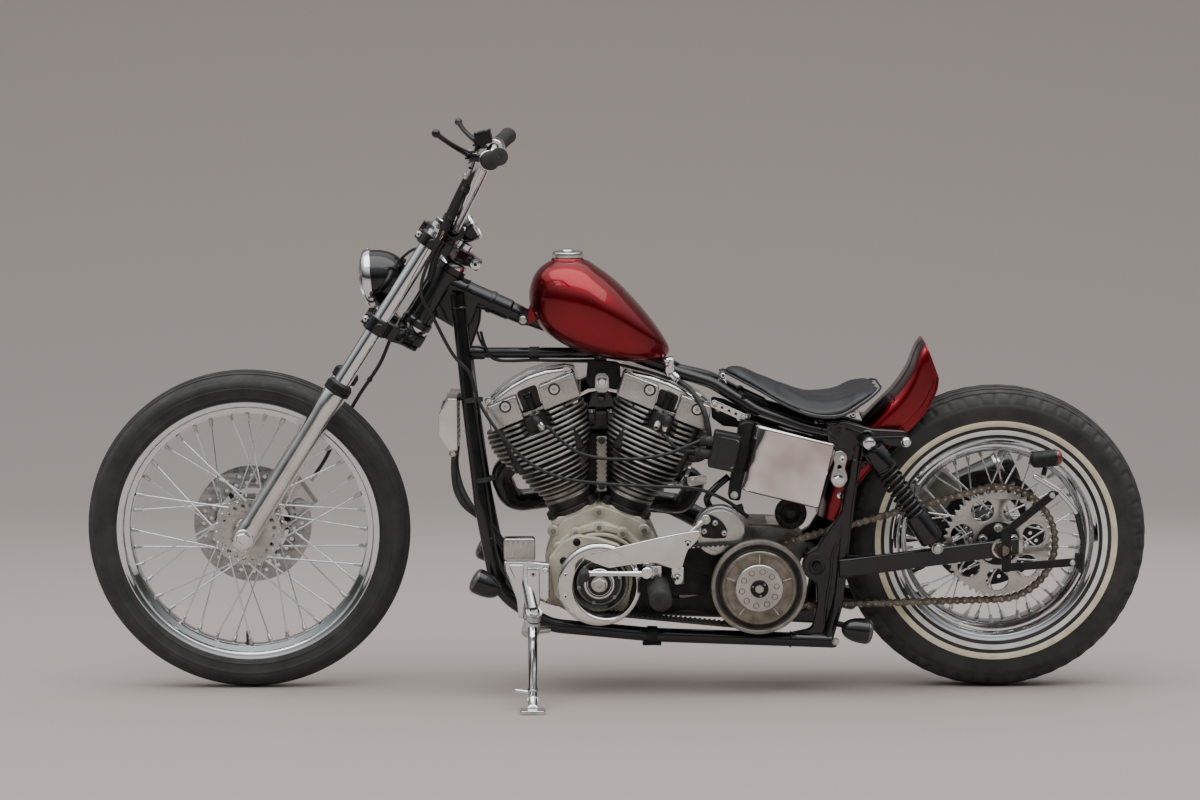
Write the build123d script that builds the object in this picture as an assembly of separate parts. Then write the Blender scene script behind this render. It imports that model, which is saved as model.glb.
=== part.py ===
from build123d import *
import os
from math import sin, cos, tan, radians, degrees, pi, atan2, hypot, sqrt

# A chopper motorcycle, modelled upright and then leaned onto its side stand.
# Upright frame while modelling, in millimetres: X = 0 at the front axle and +X to
# the rear wheel, +Y to the rider's right, Z = 0 at the ground under both tyres.
# place() then leans it, drops it on the floor and puts the origin under the
# middle of its bounding box.

# ---------------------------------------------------------------- dimensions
LEAN = 6.5                 # degrees to the rider's left, on the side stand
SHIFT = (-785.75, 121.1, 0.5)   # origin under the middle of the bounding box
WHEELBASE = 1590.0
RAKE = 32.5                # degrees from the vertical
FORK_OFFSET = 68.0         # steering axis behind the fork tubes
FORK_Y = 92.0              # half the distance between the fork legs
F_TYRE_R, F_TYRE_HALF = 344.0, 42.0
F_RIM_R, F_RIM_BED, F_RIM_IN, F_RIM_HALF = 280.0, 272.0, 251.0, 30.0
R_TYRE_R, R_TYRE_HALF = 325.5, 65.0
R_RIM_R, R_RIM_BED, R_RIM_IN, R_RIM_HALF = 221.0, 213.0, 186.0, 50.0
F_DISC_R, F_DISC_Y, F_DISC_T = 127.0, 60.0, 5.0
R_DISC_R, R_DISC_Y, R_DISC_T = 127.0, 84.0, 6.0
CHAIN_Y = -84.0            # chain line
PITCH = 15.875             # chain pitch
SPROCKET_T, GEAR_T = 48, 24
SPROCKET_PR = PITCH / (2 * sin(pi / SPROCKET_T))
GEAR_PR = PITCH / (2 * sin(pi / GEAR_T))
GEAR_C = (1082.0, 250.0)   # gearbox output shaft, x and z
CRANK_C = (747.0, 258.0)   # crankshaft, x and z
CLUTCH_C = (1082.0, 250.0)
PIVOT = (1205.0, 283.0)    # swingarm pivot, x and z
TUBE_R = 15.0              # frame cradle tube
V_ANGLE = 22.5             # each cylinder leans this much from the vertical
GRIP_R = 18.0
STAND_PIVOT = (606.0, -170.0, 176.0)
STAND_FOOT = (611.0, -417.0, 49.0)
STAND_TURN = 77.0          # degrees from parked to folded

D = (sin(radians(RAKE)), 0.0, cos(radians(RAKE)))      # up the steering axis
N = (cos(radians(RAKE)), 0.0, -sin(radians(RAKE)))     # behind the steering axis


def fork(t, back=0.0, y=0.0):
    """A point t up the fork line from the front axle, back behind it."""
    return (t * D[0] + back * N[0], y, F_TYRE_R + t * D[2] + back * N[2])


def place_point(p):
    c, s = cos(radians(LEAN)), sin(radians(LEAN))
    return (p[0] + SHIFT[0], p[1] * c - p[2] * s + SHIFT[1],
            p[1] * s + p[2] * c + SHIFT[2])


def place_dir(d):
    c, s = cos(radians(LEAN)), sin(radians(LEAN))
    return (d[0], d[1] * c - d[2] * s, d[1] * s + d[2] * c)


def unplace_z(y, floor=0.0):
    """The upright z of the floor's plane at upright y."""
    c, s = cos(radians(LEAN)), sin(radians(LEAN))
    return (floor - SHIFT[2] - y * s) / c


# ---------------------------------------------------------------- helpers
def rod(p, q, r, r2=None):
    p, q = Vector(*p), Vector(*q)
    d = q - p
    pl = Plane(origin=p, z_dir=d)
    if r2 is None:
        return Solid.make_cylinder(r, d.length, pl)
    return Solid.make_cone(r, r2, d.length, pl)


def hollow(p, q, r, bore):
    d = Vector(*q) - Vector(*p)
    u = d.normalized() * 2
    a = Vector(*p) - u
    b = Vector(*q) + u
    return rod(p, q, r) - rod(tuple(a), tuple(b), bore)


def pipe(points, radii, r):
    """A round bar along straight runs with an arc of each radius at each corner."""
    path = FilletPolyline(*points, radius=radii)
    pl = Plane(origin=path @ 0, z_dir=path % 0)
    return sweep(pl * Circle(r), path=path)


def slab(pts, y0, y1):
    """A closed x, z outline filled from y0 to y1."""
    lo, hi = min(y0, y1), max(y0, y1)
    pl = Plane(origin=(0, hi, 0), x_dir=(1, 0, 0), z_dir=(0, -1, 0))
    f = pl * make_face(Polyline(*pts, close=True))
    return extrude(f, amount=hi - lo, dir=(0, -1, 0))


def turned(cx, cz, prof, cy=0.0):
    """A closed profile of (y, radius) pairs turned round a lateral axis."""
    pl = Plane(origin=(cx, cy, cz), x_dir=(0, 1, 0), z_dir=(1, 0, 0))
    f = pl * make_face(Polyline(*prof, close=True))
    return revolve(f, Axis((cx, 0, cz), (0, 1, 0)), 360)


def turned_about(p, d, prof):
    """A closed profile of (along, radius) pairs turned round the line from p along d."""
    d = Vector(*d).normalized()
    side = Vector(0, 1, 0)
    nrm = d.cross(side)
    pl = Plane(origin=Vector(*p), x_dir=d, z_dir=nrm)
    f = pl * make_face(Polyline(*prof, close=True))
    return revolve(f, Axis(tuple(p), tuple(d)), 360)


def ybar(x, z, y0, y1, r):
    return rod((x, min(y0, y1), z), (x, max(y0, y1), z), r)


def block(c, size, tilt=0.0):
    """A box centred on c; tilt turns it about the lateral axis, nose up positive."""
    b = Box(*size)
    return Pos(*c) * Rot(0, tilt, 0) * b


def tilted(c, size, xdir, zdir):
    pl = Plane(origin=c, x_dir=xdir, z_dir=zdir)
    return pl * Box(*size)


def arc_pts(cx, cz, r, a0, a1, n):
    return [(cx + r * cos(radians(a0 + (a1 - a0) * i / n)),
             cz + r * sin(radians(a0 + (a1 - a0) * i / n))) for i in range(n + 1)]


def joined(first, *rest):
    s = first
    for r in rest:
        s = s + r
    return s


def trim(shape, *others):
    for o in others:
        shape = shape - o
    return shape


parts = {}


def keep(name, *shapes):
    sol = []
    for s in shapes:
        sol += list(s.solids())
    parts[name] = sol[0] if len(sol) == 1 else Compound(children=sol)
    return parts[name]


# ================================================================ front wheel
def tyre(cx, cz, R, half, bed, bead_half, flange_r, flange_half, shoulder, crown):
    """Ring from the rim's bed out to the tread; the crown is an arc of its own radius."""
    pl = Plane(origin=(cx, 0, cz), x_dir=(0, 1, 0), z_dir=(1, 0, 0))
    sy, sr = shoulder
    mid_r = flange_r + 0.50 * (sr - flange_r)
    crown_mid = R
    lines = [
        Line((-bead_half, bed), (bead_half, bed)),
        Line((bead_half, bed), (bead_half, flange_r + 0.5)),
        Line((bead_half, flange_r + 0.5), (flange_half, flange_r + 0.5)),
        ThreePointArc((flange_half, flange_r + 0.5), (half, mid_r), (sy, sr)),
        ThreePointArc((sy, sr), (0, crown_mid), (-sy, sr)),
        ThreePointArc((-sy, sr), (-half, mid_r), (-flange_half, flange_r + 0.5)),
        Line((-flange_half, flange_r + 0.5), (-bead_half, flange_r + 0.5)),
        Line((-bead_half, flange_r + 0.5), (-bead_half, bed)),
    ]
    f = pl * make_face(lines)
    return revolve(f, Axis((cx, 0, cz), (0, 1, 0)), 360)


def rim(cx, cz, R, bed, inner, half, well):
    """Channel rim: flanges at R, tyre bed, and a spoke well at the inner radius."""
    prof = [(-half, R), (-half + 4, R), (-half + 6, bed), (half - 6, bed), (half - 4, R), (half, R),
            (half, bed - 3), (half - 4, bed - 7), (well + 5, bed - 10), (well, inner),
            (-well, inner), (-well - 5, bed - 10), (-half + 4, bed - 7), (-half, bed - 3)]
    return turned(cx, cz, prof)


FX, FZ = 0.0, F_TYRE_R
RX, RZ = WHEELBASE, R_TYRE_R
keep("front_tyre", tyre(FX, FZ, F_TYRE_R, F_TYRE_HALF, F_RIM_BED, F_RIM_HALF - 6, F_RIM_R,
                        F_RIM_HALF, (27.0, 334.0), 42))
keep("front_rim", rim(FX, FZ, F_RIM_R, F_RIM_BED, F_RIM_IN, F_RIM_HALF, 13))
# hub with one wide drilled spoke flange on each side and a disc carrier on the right
hub = turned(FX, FZ, [(-58, 10.3), (-58, 22), (-40, 24), (-38, 72), (-33, 72), (-31, 30), (31, 30),
                      (33, 72), (38, 72), (40, 38), (57, 38), (57, 10.3)])
for i in range(20):
    a = radians(18 * i + 9)
    hub = hub - ybar(FX + 57 * cos(a), FZ + 57 * sin(a), -60, 30, 4.0)
keep("front_hub", hub)


def spokes(cx, cz, r0, y0, off, r1, y1, count, swing, r):
    """count spokes a side, alternately leading and trailing, each side of its flange."""
    out = []
    for side in (-1, 1):
        for i in range(count):
            lead = 1 if i % 2 else -1
            a0 = 360.0 / count * i + (4.5 if side > 0 else 0)
            a1 = a0 + lead * swing
            ya = side * (y0 + lead * off)
            yb = side * (y1 + lead * 2.6)
            p = (cx + r0 * cos(radians(a0)), ya, cz + r0 * sin(radians(a0)))
            q = (cx + r1 * cos(radians(a1)), yb, cz + r1 * sin(radians(a1)))
            out.append(rod(p, q, r))
    return out


keep("front_spokes", *spokes(FX, FZ, 66, 35.5, 6.6, F_RIM_IN - 0.6, 7.0, 20, 38, 1.8))
disc = turned(FX, FZ, [(F_DISC_Y - 2.5, 39), (F_DISC_Y - 2.5, F_DISC_R), (F_DISC_Y + 2.5, F_DISC_R),
                       (F_DISC_Y + 2.5, 39)])
for row in ((106.0, 24, 0.0), (90.0, 24, 7.5)):      # radius, holes, start angle
    for i in range(row[1]):
        a = radians(360.0 / row[1] * i + row[2])
        disc = disc - ybar(FX + row[0] * cos(a), FZ + row[0] * sin(a), 50, 70, 4.2)
keep("front_disc", disc)

# ================================================================ rear wheel
keep("rear_tyre", tyre(RX, RZ, R_TYRE_R, R_TYRE_HALF, R_RIM_BED, R_RIM_HALF - 6, R_RIM_R,
                       R_RIM_HALF, (47.0, 313.0), 90))
keep("rear_rim", rim(RX, RZ, R_RIM_R, R_RIM_BED, R_RIM_IN, R_RIM_HALF, 22))
rhub = (turned(RX, RZ, [(-79.9, 13.3), (-79.9, 44), (-60, 44), (-58, 34), (-44, 32), (-42, 58),
                                 (-36, 58), (-34, 34), (34, 34), (36, 58), (42, 58), (44, 40),
                                 (81.0, 40), (81.0, 13.3)]))
keep("rear_hub", rhub + turned(RX, RZ, [(81.0, 13.3), (81.0, R_DISC_R), (87.0, R_DISC_R), (87.0, 13.3)]))
keep("rear_spokes", *spokes(RX, RZ, 52, 39, 7.6, R_RIM_IN - 0.6, 12.0, 20, 36, 2.0))
spr = turned(RX, RZ, [(CHAIN_Y - 4, 13.3), (CHAIN_Y - 4, 113.0), (CHAIN_Y + 4, 113.0), (CHAIN_Y + 4, 13.3)])
for i in range(7):
    a = radians(-90 + 360 / 7 * i)
    spr = spr - ybar(RX + 78 * cos(a), RZ + 78 * sin(a), CHAIN_Y - 10, CHAIN_Y + 10, 24.0)
keep("rear_sprocket", spr)

# ================================================================ steering
legs = (-FORK_Y, FORK_Y)
keep("front_axle", ybar(FX, FZ, -128, 128, 10.0) + ybar(FX, FZ, -128, -118, 16.0)
     + ybar(FX, FZ, 118, 128, 16.0))
SLIDE_TOP, TUBE_TOP = 366.0, 762.0
sl = []
for y in legs:
    prof = [(-30, 9), (-30, 20), (-24, 25.5), (SLIDE_TOP, 25.5), (SLIDE_TOP + 2, 28.5),
            (SLIDE_TOP + 22, 28.5), (SLIDE_TOP + 25, 24), (SLIDE_TOP + 25, 17.6), (60, 17.6), (60, 9)]
    s = turned_about(fork(0, 0, y), D, prof)
    s = s + rod(fork(-30, 0, y), fork(59.9, 0, y), 12)
    s = s - ybar(FX, FZ, y - 40, y + 40, 10.0)
    sl.append(s)
keep("fork_sliders", *sl)
keep("fork_tubes", *[rod(fork(61, 0, y), fork(TUBE_TOP, 0, y), 17.5) for y in legs])


def clamp(t0, t1, stem_r, ear):
    """Yoke across both fork tubes and the steering stem, t0 to t1 up the fork."""
    mid = (t0 + t1) / 2
    s = tilted(fork(mid, 42, 0), (62, 128, t1 - t0), N, D)
    for y in legs:
        s = s + rod(fork(t0, 0, y), fork(t1, 0, y), 27.0)
        s = s + tilted(fork(mid, 26, y * 0.82), (44, 40, (t1 - t0) * 0.9), N, D)
        s = s + tilted(fork(mid, -26, y), (14, 18, (t1 - t0) * 0.8), N, D)
    s = s + rod(fork(t0, FORK_OFFSET, 0), fork(t1, FORK_OFFSET, 0), stem_r)
    for y in legs:
        s = s - rod(fork(t0 - 5, 0, y), fork(t1 + 5, 0, y), 17.5)
    return s


lower = clamp(516, 550, 31, 0)
upper = clamp(728, 756, 28, 0)
stem = rod(fork(550, FORK_OFFSET, 0), fork(728, FORK_OFFSET, 0), 13.0)
nut = rod(fork(756, FORK_OFFSET, 0), fork(770, FORK_OFFSET, 0), 17.0)

# ---------------------------------------------------------------- front caliper
CAL = (102.0, 66.0, 415.0)
ca = atan2(CAL[2] - FZ, CAL[0] - FX)
cu = (cos(ca), 0, sin(ca))
ct = (-sin(ca), 0, cos(ca))
cal = tilted((FX + 108 * cos(ca), 66, FZ + 108 * sin(ca)), (66, 48, 96), cu, ct)
cal = cal - turned(FX, FZ, [(51.8, 1), (51.8, 133.5), (68.2, 133.5), (68.2, 1)])
cal = cal - turned(FX, FZ, [(41.9, 1), (41.9, 82), (90.1, 82), (90.1, 1)])
cal = cal - parts["fork_sliders"]
keep("front_caliper", max(cal.solids(), key=lambda s: s.volume))

# ---------------------------------------------------------------- headlight
HC = (286.0, 884.0)         # middle of the lamp, x and z
ha = radians(-5.5)
hd = (-cos(ha), 0, sin(ha))          # the way the lamp looks
hp = (HC[0] + 8 * cos(ha), 0, HC[1] - 8 * sin(ha))
lamp = turned_about(hp, hd, [(-52, 0), (-50, 14), (-42, 31), (-28, 46), (-8, 57), (14, 60), (22, 60), (23, 63.5),
                             (37, 63.5), (40, 58), (47, 44), (52, 24), (54, 0)])
brk = slab([(262, 834), (288, 834), (318, 806), (300, 792), (272, 818)], -12, 12)
lamp_bracket = trim(brk, lamp, lower, parts["fork_tubes"])
keep("headlight", lamp + max(lamp_bracket.solids(), key=lambda s: s.volume))

# ---------------------------------------------------------------- handlebar
BAR_R = 12.7
RISE = (482.0, 1049.0)
BAR_LOW, BAR_KNEE, BAR_END = (444, -52, 987), (519, -184, 1140), (549, -348, 1161)
half_bar = [BAR_END, BAR_KNEE, BAR_LOW]
bar = pipe(half_bar + [(p[0], -p[1], p[2]) for p in half_bar[::-1]], [48.0, 26.0, 26.0, 48.0], BAR_R)
risers = []
for y in (-42, 42):
    r = rod(fork(752, 30, y), (444, y, 987), 16.0)
    r = r + rod((444, y - 14, 987), (444, y + 14, 987), 23.0)
    risers.append(r)
keep("fork_clamps", joined(lower, stem, upper, nut, *risers) - bar)
keep("handlebar", bar)
e = (Vector(*BAR_END) - Vector(*BAR_KNEE)).normalized()
e = Vector(e.X, -e.Y, e.Z)
grips, levers = [], []
for s in (-1, 1):
    end = Vector(549, s * 348, 1161)
    u = Vector(e.X, s * e.Y, e.Z)
    g = rod(tuple(end - u * 122), tuple(end + u * 4), GRIP_R)
    g = g - rod(tuple(end - u * 130), tuple(end), BAR_R)
    grips.append(g)
    # lever perch round the bar, and the lever itself ahead of the grip
    a = end - u * 142
    perch = rod(tuple(a - u * 12), tuple(a + u * 12), 21.0)
    piv = a + Vector(-38, 0, 12)
    perch = perch + rod(tuple(a), tuple(piv), 10.0) + rod(tuple(piv - Vector(0, 0, 9)), tuple(piv + Vector(0, 0, 9)), 11.0)
    perch = perch - rod(tuple(a - u * 30), tuple(a + u * 30), BAR_R)
    tip = Vector(424 if s < 0 else 440, s * 331, 1206 if s < 0 else 1192)
    perch = perch + rod(tuple(piv), tuple(tip), 6.5, 4.5) + Pos(*tip) * Sphere(9.0)
    if s > 0:
        perch = perch + tilted((500, 193, 1165), (36, 58, 28), (0.97, 0, 0.24), (-0.24, 0, 0.97))
    perch = trim(perch, bar, g)
    levers.append(max(perch.solids(), key=lambda q: q.volume))
keep("hand_grips", *grips)
keep("hand_levers", *levers)
sp = turned_about((486, 0, 993), (0.88, 0, 0.47), [(-34, 0), (-34, 24), (-22, 29), (0, 29.5), (3, 27), (3, 0)])
post = rod(fork(771, FORK_OFFSET, 0), (478, 0, 992), 6.0)
keep("speedometer", max(trim(sp + post, parts["fork_clamps"], parts["handlebar"]).solids(), key=lambda q: q.volume))

# ================================================================ frame
NECK_LO, NECK_HI = 563.0, 712.0
neck = rod(fork(NECK_LO, FORK_OFFSET), fork(NECK_HI, FORK_OFFSET), 29.0)
neck = neck + rod(fork(NECK_LO, FORK_OFFSET), fork(NECK_LO + 16, FORK_OFFSET), 33.0) \
    + rod(fork(NECK_HI - 14, FORK_OFFSET), fork(NECK_HI, FORK_OFFSET), 33.0)
neck = neck + slab([(392, 828), (424, 878), (478, 868), (500, 842), (476, 770), (440, 752), (388, 790)], -24, 24)
backbone = pipe([(430, 0, 872), (600, 0, 797), (770, 0, 737), (905, 0, 689)], [300.0, 300.0], 17.0)
head_tube = rod((428, 0, 873), (575, 0, 808), 19.0)
under = rod((470, 0, 723), (742, 0, 722), 11.5)
sleeve = rod((470, 0, 723), (506, 0, 723), 15.0)
gusset = slab([(446, 775), (492, 830), (505, 735), (470, 712), (452, 725)], -9, 9)
spine = joined(neck, head_tube, backbone, under, sleeve, gusset)
spine = spine - rod(fork(NECK_LO - 10, FORK_OFFSET), fork(NECK_HI + 10, FORK_OFFSET), 15.0)
tabs = rod((588, -24, 796), (588, 24, 796), 8.0)
spine = spine + tabs
keep("frame_spine", spine)

cradles = []
for s in (-1, 1):
    c = pipe([(450, s * 30, 850), (472, s * 62, 640), (500, s * 100, 410), (533, s * 115, 232),
              (640, s * 124, 160), (860, s * 125, 139), (1236, s * 121, 124)],
             [300.0, 300.0, 110.0, 110.0, 500.0], TUBE_R)
    cradles.append(max(trim(c, spine).solids(), key=lambda q: q.volume))
keep("frame_cradles", *cradles)

rear = []
for s in (-1, 1):
    rail = pipe([(890, s * 16, 690), (985, s * 44, 664), (1082, s * 64, 606), (1180, s * 82, 574), (1250, s * 100, 562)],
                [90.0, 120.0, 200.0], 12.5)
    cast = slab([(1222, 588), (1262, 592), (1318, 576), (1388, 572), (1396, 556), (1388, 543), (1330, 540),
                 (1312, 522), (1268, 504), (1246, 520), (1226, 552)], s * 98, s * 117)
    up = pipe([(1290, s * 108, 540), (1268, s * 110, 405), (1250, s * 112, 205), (1228, s * 120, 128)], [600.0, 300.0], 13.0)
    low = slab([(1150, 112), (1262, 106), (1272, 140), (1262, 190), (1240, 240), (1226, 320), (1180, 318),
                (1172, 262), (1208, 214), (1196, 150), (1150, 140)], s * 106, s * 120)
    boss = rod((PIVOT[0], s * 96, PIVOT[1]), (PIVOT[0], s * 120, PIVOT[1]), 30.0)
    r = joined(rail, cast, up, low, boss)
    r = r - ybar(PIVOT[0], PIVOT[1], s * 90, s * 130, 11.1)
    r = trim(r, spine, cradles[0], cradles[1])
    rear.append(max(r.solids(), key=lambda q: q.volume))
cross = [rod((1212, -97, 560), (1212, 97, 560), 10.0)]
keep("frame_rear", joined(*rear, *cross))

# ================================================================ tank, seat, fender
# half-sections of the tank along its length: x, bottom z, side z, top z, half-width
TANK = [(601, 838, 846, 856, 14), (622, 782, 845, 905, 62), (668, 748, 838, 926, 96), (730, 726, 830, 917, 108),
        (790, 712, 800, 873, 100), (845, 709, 765, 817, 74), (884, 714, 741, 764, 38), (897, 726, 733, 741, 8)]


def tank_face(x, zb, zs, zt, w):
    pl = Plane(origin=(x, 0, 0), x_dir=(0, 1, 0), z_dir=(1, 0, 0))
    hw = w * 0.55
    e = [ThreePointArc((-hw, zb), (0, zb - 0.02 * (zt - zb)), (hw, zb)),
         ThreePointArc((hw, zb), (w * 0.93, zb + 0.36 * (zs - zb)), (w, zs)),
         ThreePointArc((w, zs), (w * 0.68, zs + 0.74 * (zt - zs)), (0, zt)),
         ThreePointArc((0, zt), (-w * 0.68, zs + 0.74 * (zt - zs)), (-w, zs)),
         ThreePointArc((-w, zs), (-w * 0.93, zb + 0.36 * (zs - zb)), (-hw, zb))]
    return pl * make_face(e)


tank = None
for a, b in zip(TANK[:-1], TANK[1:]):
    seg = loft([tank_face(*a), tank_face(*b)], ruled=True)
    tank = seg if tank is None else tank + seg
tunnel = slab([(560, 842), (600, 824), (770, 763), (915, 713), (915, 640), (560, 640)], -21, 21)
tank = tank - tunnel
tank = trim(tank, rod((588, -24, 796), (588, 24, 796), 9.0))
keep("fuel_tank", max(tank.solids(), key=lambda q: q.volume))
cap_axis = (-0.02, 0, 1.0)
cap = turned_about((682, 0, 917), (0.0, 0, 1.0), [(0, 0), (0, 28), (14, 29), (14, 33), (24, 33), (28, 26), (31, 10), (31, 0)])
keep("fuel_cap", trim(cap, parts["fuel_tank"]))

# seat pan: x, underside z, top z at the middle, top z at the edge, half-width
SEAT = [(1010, 681, 696, 692, 26), (1040, 668, 699, 690, 46), (1085, 646, 680, 668, 66), (1140, 618, 654, 642, 98),
        (1195, 600, 634, 628, 124), (1250, 601, 634, 634, 132), (1300, 628, 652, 656, 122), (1340, 652, 665, 668, 92)]


def seat_face(x, zb, zm, ze, w):
    pl = Plane(origin=(x, 0, 0), x_dir=(0, 1, 0), z_dir=(1, 0, 0))
    ze2 = ze - 6
    e = [Line((-w * 0.86, zb), (w * 0.86, zb)),
         ThreePointArc((w * 0.86, zb), (w, (zb + ze2) / 2), (w * 0.9, ze2)),
         ThreePointArc((w * 0.9, ze2), (0, zm), (-w * 0.9, ze2)),
         ThreePointArc((-w * 0.9, ze2), (-w, (zb + ze2) / 2), (-w * 0.86, zb))]
    return pl * make_face(e)


seat = None
for a, b in zip(SEAT[:-1], SEAT[1:]):
    seg = loft([seat_face(*a), seat_face(*b)], ruled=True)
    seat = seg if seat is None else seat + seg
keep("seat", seat)

mount_bits = [slab([(1003, 676), (1018, 676), (1020, 640), (1003, 640)], -16, 16)]
for s in (-1, 1):
    mount_bits.append(slab([(1255, 600), (1290, 617), (1296, 575), (1262, 575)], s * 62, s * 74))
keep("frame_rear", max(trim(joined(parts["frame_rear"], *mount_bits), parts["seat"], parts["frame_spine"]).solids(),
                       key=lambda q: q.volume))

# fender: angle round the rear axle, outer crown radius, skirt edge radius, half-width
FENDER = [(172, 381, 326, 74), (160, 382, 324, 74), (148, 383, 312, 75), (137, 383, 308, 76), (130, 385, 306, 77),
          (124.5, 390, 310, 77), (120, 402, 318, 77), (116.5, 418, 330, 77), (114, 437, 342, 76), (112, 451, 354, 74),
          (110.5, 457, 372, 72)]


def fender_face(ang, rc, re, w, t, grow=0.0):
    a = radians(ang)
    o = (RX, 0, RZ)
    u = (cos(a), 0, sin(a))
    pl = Plane(origin=o, x_dir=(0, 1, 0), z_dir=Vector(0, 1, 0).cross(Vector(*u)))
    def q(rc, w, edge):
        return [(-w, edge), (-w, rc - 30), (-w * 0.86, rc - 9), (-w * 0.42, rc - 3), (-w * 0.3, rc), (w * 0.3, rc),
                (w * 0.42, rc - 3), (w * 0.86, rc - 9), (w, rc - 30), (w, edge)]
    outer = q(rc, w, re)
    inner = q(rc - t, w - t, re)
    return pl * make_face(Polyline(*(outer + inner[::-1]), close=True))


fender = None
for a, b in zip(FENDER[:-1], FENDER[1:]):
    seg = loft([fender_face(*a, 3.0), fender_face(*b, 3.0)], ruled=True)
    fender = seg if fender is None else fender + seg
fender = trim(fender, parts["frame_rear"])
keep("rear_fender", max(fender.solids(), key=lambda q: q.volume))

# ================================================================ engine
kx, kz = CRANK_C
case_out = [(632, 284), (650, 340), (668, 372), (712, 392), (747, 407), (786, 392), (834, 372), (862, 345),
            (890, 280), (880, 205), (840, 172), (700, 168), (655, 190)]
case = slab(case_out, -72, 62)
case = case + slab([(660, 290), (690, 352), (747, 378), (806, 356), (850, 300), (846, 220), (800, 182), (700, 182),
                    (664, 215)], -84, 62)
# timing cover on the right side of the case
cam = slab([(640, 300), (680, 372), (760, 388), (862, 352), (872, 262), (820, 196), (700, 190), (652, 230)], 62, 96)
cam = cam + ybar(kx, kz, 96, 112, 46)
keep("crankcase", case + cam)
BASE = 142.0               # from the crankshaft to the cylinder's foot
BARREL_TOP = 262.0
HEAD_TOP = 366.0
BARREL_FINS = (46, 52, 58, 64, 69, 73, 76, 79)               # fin radii, foot to top
HEAD_FINS = (90, 98, 104, 108, 111, 112, 112, 111, 108)      # fin half-widths
# rocker cover outlines: towards the other cylinder, along the cylinder
ROCKER_FRONT = [(-90, 366), (112, 366), (119, 424), (100, 436), (60, 446), (20, 449), (-20, 444), (-60, 434), (-84, 424)]
ROCKER_REAR = [(-90, 366), (112, 366), (118, 420), (100, 427), (60, 433), (20, 435), (-20, 433), (-60, 428), (-84, 420)]
cyls, heads, rocks, pushes, pots = [], [], [], [], []
for s in (-1, 1):
    v = (s * sin(radians(V_ANGLE)), 0, cos(radians(V_ANGLE)))
    h = (cos(radians(V_ANGLE)), 0, -s * sin(radians(V_ANGLE)))

    def on(t, side=0.0, y=-8.0):
        return (kx + v[0] * t + h[0] * side, y, kz + v[2] * t + h[2] * side)
    # barrel whose fins widen upwards, cut back on the engine's middle plane
    body = rod(on(BASE), on(BARREL_TOP), 50.0)
    for i, r in enumerate(BARREL_FINS):
        body = body + rod(on(172 + 11.5 * i), on(177.5 + 11.5 * i), r)
    body = body - Pos(kx - s * 198.6, 0, 500) * Box(400, 400, 800)
    body = trim(body, case, cam)
    cyls.append(body)
    head = rod(on(BARREL_TOP + 0.2), on(HEAD_TOP - 1), 52.0)
    for i, w in enumerate(HEAD_FINS):
        t = BARREL_TOP + 3 + 11.5 * i
        head = head + tilted(on(t + 3, 0), (2 * w, 136, 6), h, v)
    heads.append(head)

    def rocker(outline, y0, y1):
        # outline in (towards the other cylinder, along the cylinder)
        return slab([on(t, -s * q)[::2] for q, t in outline], y0, y1)
    crown = ROCKER_FRONT if s < 0 else ROCKER_REAR
    rk = rocker(crown, -42, 96)
    rk = rk + rocker([(-94, 366), (-16, 366), (-14, 422), (-84, 422)], -68, -42) \
        + rocker([(26, 366), (112, 366), (117, 421), (34, 421)], -68, -42)
    rocks.append(rk)
    for k in (-26, 26):
        foot = (kx + (k + s * 62) * 0.9, 84.0, kz + 122)
        top = on(BASE + 228, k * 0.7, 62)
        pushes.append(rod(foot, (top[0], 80.0, top[2]), 9.0))
pair = cyls[0] & cyls[1]
keep("cylinders", cyls[0], trim(cyls[1], cyls[0]))
keep("cylinder_heads", *[trim(h, *cyls) for h in heads])
rocks = [trim(r, parts["cylinder_heads"], spine, parts["frame_rear"], parts["frame_cradles"]) for r in rocks]
keep("rocker_boxes", *[max(r.solids(), key=lambda q: q.volume) for r in rocks])
keep("pushrod_tubes", *[trim(p, *heads, *cyls, case, cam, *rocks) for p in pushes])
carb = ybar(750, 575, 60, 128, 34) + ybar(750, 575, 128, 186, 82) + slab([(715, 560), (785, 560), (785, 592), (715, 592)], 10, 62)
carb = trim(carb, *heads, *rocks, *cyls, *pushes)
keep("carburettor", max(carb.solids(), key=lambda q: q.volume))

mount_top = slab([(728, 640), (772, 640), (776, 700), (728, 704)], -22, -10) + rod((750, -22, 656), (750, 22, 656), 9)
mount_top = mount_top + slab([(738, 700), (764, 700), (764, 742), (738, 742)], -22, 22)
mount_top = trim(mount_top, *heads, *rocks, parts["frame_spine"], parts["fuel_tank"], parts["carburettor"])
front_mount = slab([(540, 262), (640, 262), (652, 230), (640, 205), (565, 205)], -14, 14)
front_mount = front_mount + rod((552, -98, 236), (552, 98, 236), 10)
front_mount = trim(front_mount, case, cam, parts["frame_cradles"])

gear = slab([(1010, 335), (1060, 362), (1150, 358), (1192, 322), (1168, 262), (1190, 205), (1160, 168), (1030, 168),
             (1000, 230)], -60, 70)
gear = gear + ybar(1085, 250, 70, 96, 62)
keep("gearbox", gear)
plate = slab([(640, 300), (700, 352), (780, 330), (905, 316), (1010, 330), (1108, 300), (1112, 214), (1060, 170),
              (930, 190), (850, 172), (700, 176), (650, 222)], -112, -104)
plate = plate - ybar(kx, kz, -120, -90, 30) - ybar(*CLUTCH_C, -120, -90, 30)
keep("engine_mounts", max(mount_top.solids(), key=lambda q: q.volume), max(front_mount.solids(), key=lambda q: q.volume), plate)

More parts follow.
